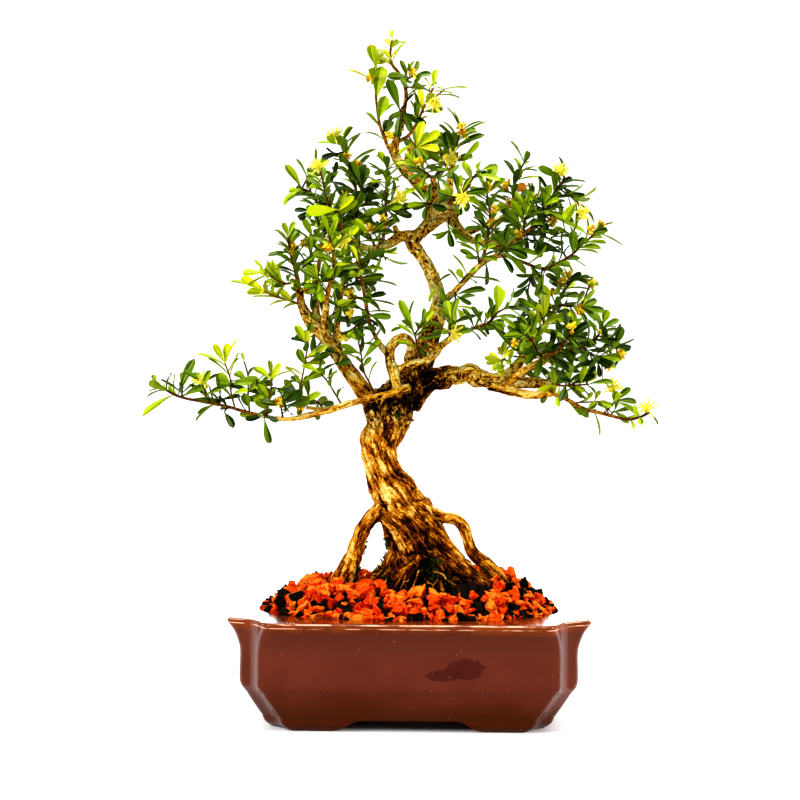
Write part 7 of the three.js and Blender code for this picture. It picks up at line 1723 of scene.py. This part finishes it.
def pot_piece(glaze):
    """The pot: its flared wall on an arched foot, hollowed, with its mouth and drain holes cut out."""
    wall = smooth_path([[0, offset, z] for z, offset in OUTER_WALL], WALL_STEP)
    piece = ringed("pot_glazed", [at_height(pot_outline(offset), z) for _, offset, z in wall])
    foot_wall = smooth_path([[0, offset, z] for z, offset in FOOT_WALL], FOOT_STEP)
    foot = ringed("foot", [at_height(pot_outline(offset), z) for _, offset, z in foot_wall])
    inner = at_height(pot_outline(FOOT_WALL[0][1] - FOOT_BAND), -PAST_CUT)
    cut(foot, ringed("foot_inside", [inner, inner + [0, 0, POT_UNDERSIDE + PAST_CUT]]), "DIFFERENCE")
    for half_span, along_x in ((FRONT_ARCH_HALF_SPAN, False), (SIDE_ARCH_HALF_SPAN, True)):
        cut(foot, arch_block(half_span, along_x), "DIFFERENCE")
    cut(piece, foot, "UNION")
    cut(piece, ringed("hollow", [at_height(pot_outline(offset), z) for z, offset in HOLLOW_WALL]), "DIFFERENCE")
    cut(piece, ringed("mouth", [at_height(opening_plan(inset, MOUTH_POINTS), z) for z, inset in LIP]), "DIFFERENCE")
    for x in (-DRAIN_HOLE_X, DRAIN_HOLE_X):
        cut(piece, drain_hole(x), "DIFFERENCE")
    finish_mesh(piece, [glaze], POT_SHARPNESS)
    even = piece.modifiers.new("even", "WEIGHTED_NORMAL")
    even.keep_sharp = True
    return stand_in(piece, "glaze", "pot")


# What fills the pot.
def mound_height(x, y):
    """The soil's height, and how far a point is on the way from the middle to the opening's edge."""
    share = np.hypot(x, y) / opening_radius(np.arctan2(y, x))
    from_heap = ((x - HEAP_MIDDLE[0]) ** 2 + (y - HEAP_MIDDLE[1]) ** 2) / (2 * HEAP_REACH ** 2)
    rise = MOUND_RISE + HEAP_RISE * np.exp(-from_heap)
    return SOIL_EDGE + rise * (1 - np.minimum(share, 1) ** MOUND_POWER), share


BARE_MIDDLE = (21, -33)
BARE_REACH = (38, 15)
STONE_PITCH = 6.6
STONE_SIZES = (3.2, 3.8)
UPPER_STONES = 0.56
EDGE_ROWS = (0.90, 0.925, 0.95, 0.972)
EDGE_STONES = 78
EDGE_KEYS = 20000
# How far a stone of the edge may be moved along its row and across it, and the most of it against the others.
ALONG_ROW, ACROSS_ROW, EDGE_SIZES = 0.8, 0.012, 0.7
# Above 1, more stones are small.
MORE_SMALL = 1.4
# The share of black lumps: everywhere, and how much more there is near the mound's ends and its edge.
BLACK_SHARE, MORE_AT_ENDS, MORE_AT_EDGE = 0.085, 0.22, 0.30
ENDS_BEGIN, EDGE_BEGINS = 82, 0.94
# How ragged the bare patch's edge is, and the shares of lumps and of all stones that stray onto it.
RAGGED_EDGE, STRAY_LUMPS, STRAY_STONES = 0.35, 0.6, 0.07
# How much of its size each stone keeps clear of the wood, and the share of stones that lie flat.
CLEAR_OF_WOOD, LYING_FLAT = 0.55, 0.4
# How far from the middle a stone may lie, as its size over this counts as part of the way to the edge.
STONE_MARGIN = 130
CRUMBS = 2600
MOSS_KEYS = 5000
LAYER_KEYS = 7919
# How high a stone's middle lies over the soil: at least, by its size, and more for one of the upper layer.
STONE_LIFT, STONE_LIFT_BY_SIZE, UPPER_LIFT = 1.2, 0.25, (1.5, 1.6)
# How far the stones at the edge may stand over the pot's rim.
OVER_RIM = 3.2


def bareness(x, y):
    """Above 1 where lava chips lie, below 1 on the bare soil at the trunk's foot."""
    return np.hypot((x - BARE_MIDDLE[0]) / BARE_REACH[0], (y - BARE_MIDDLE[1]) / BARE_REACH[1])


def soil_piece(soil):
    """Dark crumbly soil over the whole mound, down to the bottom of the pot's hollow."""
    body = Body()
    levels = [z for z, _ in HOLLOW_WALL]
    levels[0] += 0.3
    levels[-1] -= 0.3
    rings = [at_height(pot_outline(offset - SOIL_GAP), z) for z, (_, offset) in zip(levels, HOLLOW_WALL)]
    body.add(np.vstack(rings), ring_faces(len(rings), len(rings[0])))
    plan = opening_plan(SOIL_GAP, SOIL_POINTS)
    tops = [at_height(plan, LIP_BOTTOM - 4)]
    for share in np.linspace(*SOIL_SHARES, SOIL_RINGS):
        x, y = plan[:, 0] * share, plan[:, 1] * share
        z, _ = mound_height(x, y)
        points = np.column_stack([x, y, z + SOIL_RAISE])
        rough = (COARSE_SOIL[0] * lattice_noise(points / COARSE_SOIL[1], 8)
                 + FINE_SOIL[0] * lattice_noise(points / FINE_SOIL[1], 9))
        points[:, 2] += rough * min(1, (1 - share) * 12 + 0.2)
        tops.append(points + SHIFT)
    body.add(np.vstack(tops), ring_faces(len(tops), SOIL_POINTS))
    piece = body.made("soil_crumbly", [soil], 60)
    return stand_in(piece, "soil", "soil_mound")


def quartered(points, faces):
    """Each triangle cut into four flat ones that share their points with their neighbours."""
    points = list(points)
    seen = {}
    made = []

    def between(a, b):
        edge = (min(a, b), max(a, b))
        if edge not in seen:
            points.append(tuple((np.array(points[a]) + np.array(points[b])) / 2))
            seen[edge] = len(points) - 1
        return seen[edge]

    for a, b, c in faces:
        ab, bc, ca = between(a, b), between(b, c), between(c, a)
        made += [(a, ab, ca), (ab, b, bc), (ca, bc, c), (ab, bc, ca)]
    return np.array(points), made


CHIP_POINTS = 12
CHIP_ROUGHNESS = 0.04
CHIP_PROPORTIONS = [1.08, 0.84, 0.6]
CHIP_REACH = (0.86, 0.14)
CHIP_KINDS, CHIP_KEYS = 48, 6100


def chip_shape(key):
    """A broken stone: the hull of scattered points, with its faces cut in four and a little rough."""
    mesh = bmesh.new()
    for k in range(CHIP_POINTS):
        way = direction(key, 10 + k)
        reach = ranged(CHIP_REACH, key, 30 + k) / np.sum(way ** 4) ** 0.25
        mesh.verts.new(way * reach * CHIP_PROPORTIONS)
    hull = bmesh.ops.convex_hull(mesh, input=mesh.verts)
    unused = [item for item in hull["geom_interior"] if isinstance(item, bmesh.types.BMVert)]
    bmesh.ops.delete(mesh, geom=unused, context="VERTS")
    mesh.verts.index_update()
    points, faces = quartered([tuple(v.co) for v in mesh.verts],
                              [tuple(v.index for v in face.verts) for face in mesh.faces])
    mesh.free()
    rough = lattice_noise(points * 2.7 + key % 89, 2)
    return points * (1 + CHIP_ROUGHNESS * rough)[:, None], faces


CHIP_SHAPES = [chip_shape(CHIP_KEYS + number) for number in range(CHIP_KINDS)]


def random_turn(key):
    a, b = direction(key, 51), direction(key, 53)
    third = unit(np.cross(a, b))
    return np.array([a, np.cross(third, a), third])


def stone_places():
    """Middle, size and layer of each stone: two staggered layers, then close rows down the mound's edge."""
    places = []
    columns = int(2 * OPENING_HALF_LENGTH / STONE_PITCH) + 2
    rows = int(2 * OPENING_HALF_WIDTH / STONE_PITCH) + 2
    for layer in range(2):
        for j in range(rows):
            for i in range(columns):
                key = LAYER_KEYS * layer + j * columns + i
                x = (i - columns / 2 + 0.5 * (j % 2) + chance(key, 61) - 0.5) * STONE_PITCH
                y = (j - rows / 2 + chance(key, 62) - 0.5) * STONE_PITCH
                if layer and chance(key, 64) > UPPER_STONES:
                    continue
                places.append((key, x, y, STONE_SIZES[0] + STONE_SIZES[1] * chance(key, 63) ** MORE_SMALL, layer))
    for row, share in enumerate(EDGE_ROWS):
        for number in range(EDGE_STONES):
            key = EDGE_KEYS + EDGE_STONES * row + number
            angle = 2 * math.pi * (number + ALONG_ROW * chance(key, 61)) / EDGE_STONES
            reach = opening_radius(angle) * (share + ACROSS_ROW * (chance(key, 62) - 0.5))
            size = STONE_SIZES[0] + EDGE_SIZES * STONE_SIZES[1] * chance(key, 63)
            places.append((key, reach * math.cos(angle), reach * math.sin(angle), size, 0))
    return places


def stone_pieces(lava, wood_tree):
    """Orange lava chips with black lumps among them, in a loose layer over the soil."""
    red = Body("tone", "shade")
    black = Body("tone", "shade")
    for key, x, y, size, layer in stone_places():
        height, share = mound_height(x, y)
        if share + size / STONE_MARGIN > 1.0:
            continue
        bare = bareness(x, y) + RAGGED_EDGE * (chance(key, 65) - 0.5)
        black_share = BLACK_SHARE + MORE_AT_ENDS * (abs(x) > ENDS_BEGIN) + MORE_AT_EDGE * (share > EDGE_BEGINS)
        is_black = chance(key, 66) < black_share
        strays = is_black and chance(key, 67) < STRAY_LUMPS or chance(key, 68) <= STRAY_STONES
        if bare < 1 and not strays:
            continue
        lift = STONE_LIFT_BY_SIZE * size
        centre = np.array([x, y, height + STONE_LIFT + lift + layer * ranged(UPPER_LIFT, key, 69)])
        if share > 0.9:
            centre[2] = min(centre[2], POT_HEIGHT - 0.6 * size + OVER_RIM)
        centre = centre + SHIFT
        nearest, outward, _, distance = wood_tree.find_nearest(Vector(centre * MM))
        if (Vector(centre * MM) - nearest).dot(outward) < 0 or distance < CLEAR_OF_WOOD * size * MM:
            continue
        turn = random_turn(key)
        if chance(key, 70) < LYING_FLAT:
            tilt = unit(np.array([0.6 * (chance(key, 71) - 0.5), 0.6 * (chance(key, 72) - 0.5), 1]))
            first = unit(np.cross(tilt, turn[0]))
            turn = np.array([first, np.cross(tilt, first), tilt])
        shape, faces = CHIP_SHAPES[int(chance(key, 74) * len(CHIP_SHAPES))]
        (black if is_black else red).add(shape @ turn * size + centre, faces, tone=float(is_black),
                                         shade=chance(key, 73))
    for name, body in (("lava_chips", red), ("black_lumps", black)):
        stand_in(body.made(name, [lava], None), "lava", "top_dressing")


# How far round the bare patch half of the crumbs lie, and how near the mound's edge any may.
CRUMBS_ROUND_PATCH, CRUMBS_TO_EDGE = 2.5, 0.97
CRUMB_SIZE, CRUMB_FLATNESS, CRUMB_ROUGHNESS = (0.5, 1.1), 0.7, 0.3
CRUMB_LIFT, CRUMB_LIFT_BY_SIZE = 1.3, 0.3


def crumb_piece(soil):
    """Loose crumbs of soil between the chips and on the bare patch."""
    body = Body()
    for key in range(CRUMBS):
        if key < CRUMBS / 2:
            x = BARE_MIDDLE[0] + (chance(key, 81) - 0.5) * CRUMBS_ROUND_PATCH * BARE_REACH[0]
            y = BARE_MIDDLE[1] + (chance(key, 82) - 0.5) * CRUMBS_ROUND_PATCH * BARE_REACH[1]
        else:
            x = (chance(key, 81) - 0.5) * 2 * OPENING_HALF_LENGTH
            y = (chance(key, 82) - 0.5) * 2 * OPENING_HALF_WIDTH
        height, share = mound_height(x, y)
        if share > CRUMBS_TO_EDGE:
            continue
        size = CRUMB_SIZE[0] + CRUMB_SIZE[1] * chance(key, 83) ** 2
        centre = np.array([x, y, height + CRUMB_LIFT + CRUMB_LIFT_BY_SIZE * size]) + SHIFT
        points = BALL_POINTS * (1 + CRUMB_ROUGHNESS * lattice_noise(BALL_POINTS * 2 + key, 5)[:, None]) * size
        body.add(points @ random_turn(key) * [1, 1, CRUMB_FLATNESS] + centre, BALL_FACES)
    piece = body.made("soil_crumbs", [soil], None)
    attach(piece, "root")


# Tufts of moss: drawn x, height and depth of the middle, reach and number of threads.
MOSS_TUFTS = [
    [-22, 96, -14, 6, 130], [-17, 90, -20, 5, 90], [-36, 96, -14, 5, 90], [-38, 88, -14, 5, 80],
    [-24, 112, -8, 5, 80], [-17, 118, -10, 4, 50], [14, 96, -30, 6, 120], [24, 90, -32, 7, 110],
    [10, 88, -34, 5, 70], [32, 88, -26, 5, 60], [16, 104, -24, 5, 80], [5, 214, -18, 5, 60],
    [-8, 205, -17, 4, 30], [52, 98, -14, 5, 40], [-10, 104, 24, 7, 90], [18, 100, 26, 7, 90],
    [40, 92, 6, 7, 60], [-30, 92, 10, 6, 60],
]
MOSS_LENGTH = (0.9, 1.6)
MOSS_RADII = [0.42, 0.36, 0.1]
KEYS_PER_TUFT = 400
# How far from its place in the tuft, over the tuft's reach, a thread may find the wood, and how it may lean.
MOSS_TO_WOOD, MOSS_LEAN = 1.3, 0.7


def moss_piece(moss, wood_tree):
    """Tufts of short moss on the roots and at the trunk's foot."""
    body = Body("shade")
    for number, (x, z, y, reach, count) in enumerate(MOSS_TUFTS):
        middle = placed([x, z, y])
        for k in range(count):
            key = MOSS_KEYS + KEYS_PER_TUFT * number + k
            target = middle + direction(key, 1) * reach * chance(key, 2) ** 0.5
            location, normal, _, _ = wood_tree.find_nearest(Vector(target * MM))
            foot = np.array(location) / MM
            if np.linalg.norm(foot - target) > MOSS_TO_WOOD * reach:
                continue
            grow = unit(np.array(normal) + MOSS_LEAN * direction(key, 3))
            length = ranged(MOSS_LENGTH, key, 4)
            way = [foot - grow * 0.3, foot + grow * length * 0.5, foot + grow * length + UP * 0.3]
            body.add(*tube(np.array(way), MOSS_RADII, 4), shade=chance(key, 5))
    piece = body.made("root_moss", [moss], 60)
    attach(piece, "root")


# Thin roots: drawn x, height and depth of the start and of the end, and radius.
ROOTLETS = [
    [-14, 100, -22, -19, 84, -30, 0.9], [-5, 96, -27, -3, 80, -34, 0.8], [-1, 92, -29, -9, 79, -36, 0.7],
    [6, 98, -28, 2, 80, -36, 0.7], [16, 97, -29, 34, 84, -42, 0.9], [22, 94, -31, 12, 80, -40, 0.6],
    [-24, 98, -15, -29, 82, -22, 0.9], [-38, 100, -14, -30, 82, -18, 0.8], [-44, 96, -15, -43, 80, -21, 0.9],
    [36, 99, -20, 44, 84, -28, 0.7], [30, 92, -26, 22, 80, -38, 0.6], [46, 96, -20, 56, 84, -26, 0.6],
    [-9, 92, -28, -16, 78, -35, 0.6], [26, 99, -26, 30, 82, -36, 0.7], [10, 92, -32, 20, 79, -42, 0.6],
    [-10, 100, 22, -18, 82, 34, 0.9], [10, 98, 26, 18, 82, 38, 0.9], [30, 96, 18, 42, 82, 26, 0.8],
]
ROOTLET_SLIMMING = 0.72
ROOTLET_ENDS = (1.1, 0.5)
ROOTLET_SIDES = 7
ROOTLET_STEP = 1.2
ROOTLET_KEYS = 900
ROOTLET_WANDER, ROOTLET_BOW = 1.4, 2.2
ROOTLET_TONE, ROOTLET_RELIEF, ROOTLET_FLAKES = (0.38, 0.4), 0.62, 0.3


def rootlet_piece(bark):
    """Thin roots that run down the trunk's foot into the soil."""
    body = Body("tone", "relief", "flake")
    for key, (x0, z0, y0, x1, z1, y1, radius) in enumerate(ROOTLETS):
        a, b = placed([x0, z0, y0]), placed([x1, z1, y1])
        way = []
        for t in np.linspace(0, 1, 7):
            wander = direction(ROOTLET_KEYS + key, int(t * 6)) * ROOTLET_WANDER * math.sin(math.pi * t)
            way.append(a * (1 - t) + b * t + wander + UP * ROOTLET_BOW * math.sin(math.pi * t))
        rows = smooth_path(way, ROOTLET_STEP)
        body.add(*tube(rows, ROOTLET_SLIMMING * radius * np.linspace(*ROOTLET_ENDS, len(rows)), ROOTLET_SIDES),
                 tone=ranged(ROOTLET_TONE, key, 3), relief=ROOTLET_RELIEF, flake=ROOTLET_FLAKES)
    piece = body.made("fine_roots", [bark], 180)
    points = np.concatenate(body.points)
    add_strands(piece, points * [1, 1, 0.5])
    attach(piece, "root")


# The stage.
AMBIENT_LIGHT = 0.25
FLOOR_REACH = 1.0
FLOOR_POINTS = 96
AIM = (0, 0, 0.18)
SENSOR = 36
WHITE = (1, 1, 1, 1)
# Name, place, width and height, and power of each soft light, all aimed at the trunk.
SOFTBOXES = [
    ("key_left", (-1.5, -1.25, 1.25), (0.5, 1.1), 29),
    ("fill_right", (1.75, -0.75, 0.75), (0.35, 1.1), 18),
    ("overhead", (0.2, 0.1, 2.0), (1.2, 1.0), 22),
    ("low_back", (0.0, 1.6, 0.34), (2.6, 0.5), 16),
]


def stage_and_light():
    """A round white floor, a studio that lights from all sides and four soft lights."""
    mesh = bpy.data.meshes.new("floor")
    rim = [(FLOOR_REACH * math.cos(angle), FLOOR_REACH * math.sin(angle), 0)
           for angle in 2 * math.pi * np.arange(FLOOR_POINTS) / FLOOR_POINTS]
    mesh.from_pydata(rim, [], [tuple(range(len(rim)))])
    floor = bpy.data.objects.new("floor", mesh)
    bpy.context.scene.collection.objects.link(floor)
    mesh.materials.append(floor_material())

    world = bpy.data.worlds.new("studio")
    world.use_nodes = True
    tree = world.node_tree
    around = tree.nodes["Background"]
    around.inputs["Color"].default_value = WHITE
    around.inputs["Strength"].default_value = AMBIENT_LIGHT
    backdrop = tree.nodes.new("ShaderNodeBackground")
    backdrop.inputs["Color"].default_value = WHITE
    seen = tree.nodes.new("ShaderNodeLightPath")
    both = tree.nodes.new("ShaderNodeMixShader")
    tree.links.new(seen.outputs["Is Camera Ray"], both.inputs[0])
    tree.links.new(around.outputs[0], both.inputs[1])
    tree.links.new(backdrop.outputs[0], both.inputs[2])
    tree.links.new(both.outputs[0], tree.nodes["World Output"].inputs[0])
    bpy.context.scene.world = world

    for name, place, size, power in SOFTBOXES:
        light = bpy.data.lights.new(name, "AREA")
        light.shape = "RECTANGLE"
        light.size, light.size_y = size
        light.energy = power
        holder = bpy.data.objects.new(name, light)
        bpy.context.scene.collection.objects.link(holder)
        holder.location = place
        aim = Vector(AIM) - Vector(place)
        holder.rotation_euler = aim.to_track_quat("-Z", "Y").to_euler()
        holder.visible_camera = False


def camera():
    """The photo's own view: level, with the horizon kept by a small shift and the photo's slight roll."""
    data = bpy.data.cameras.new("view")
    data.sensor_width = SENSOR
    data.lens = SENSOR * FOCAL_PIXELS / IMAGE_PIXELS
    data.shift_y = (HORIZON_PIXEL - IMAGE_PIXELS / 2) / IMAGE_PIXELS
    holder = bpy.data.objects.new("view", data)
    bpy.context.scene.collection.objects.link(holder)
    c, s = math.cos(DRAWING_TURN), math.sin(DRAWING_TURN)
    eye = (np.array([EYE_X, -EYE_DISTANCE, EYE_HEIGHT]) + SHIFT) * MM
    holder.matrix_world = Matrix(((c, -s, 0, eye[0]), (0, 0, -1, eye[1]), (s, c, 0, eye[2]), (0, 0, 0, 1)))
    bpy.context.scene.camera = holder


camera()
stage_and_light()
bpy.context.scene.view_settings.view_transform = "Standard"
bpy.context.scene.view_settings.look = "High Contrast"

GLAZE, SOIL, LAVA, NET = glaze_material(), soil_material(), lava_material(), net_material()
BARK, TWIG, LEAF, FLOWER, MOSS = (bark_material(), twig_material(), leaf_material(), flower_material(),
                                  moss_material())

pot_piece(GLAZE)
soil_piece(SOIL)
wood = wood_piece(BARK)
wood_tree = BVHTree.FromPolygons([v.co for v in wood.data.vertices], [p.vertices for p in wood.data.polygons])
stone_pieces(LAVA, wood_tree)
crumb_piece(SOIL)
moss_piece(MOSS, wood_tree)
rootlet_piece(BARK)
spray_pieces(LEAF, TWIG, FLOWER, wood_tree)
for net in ("drain_mesh_left", "drain_mesh_right"):
    finish_mesh(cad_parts[net], [NET], None)
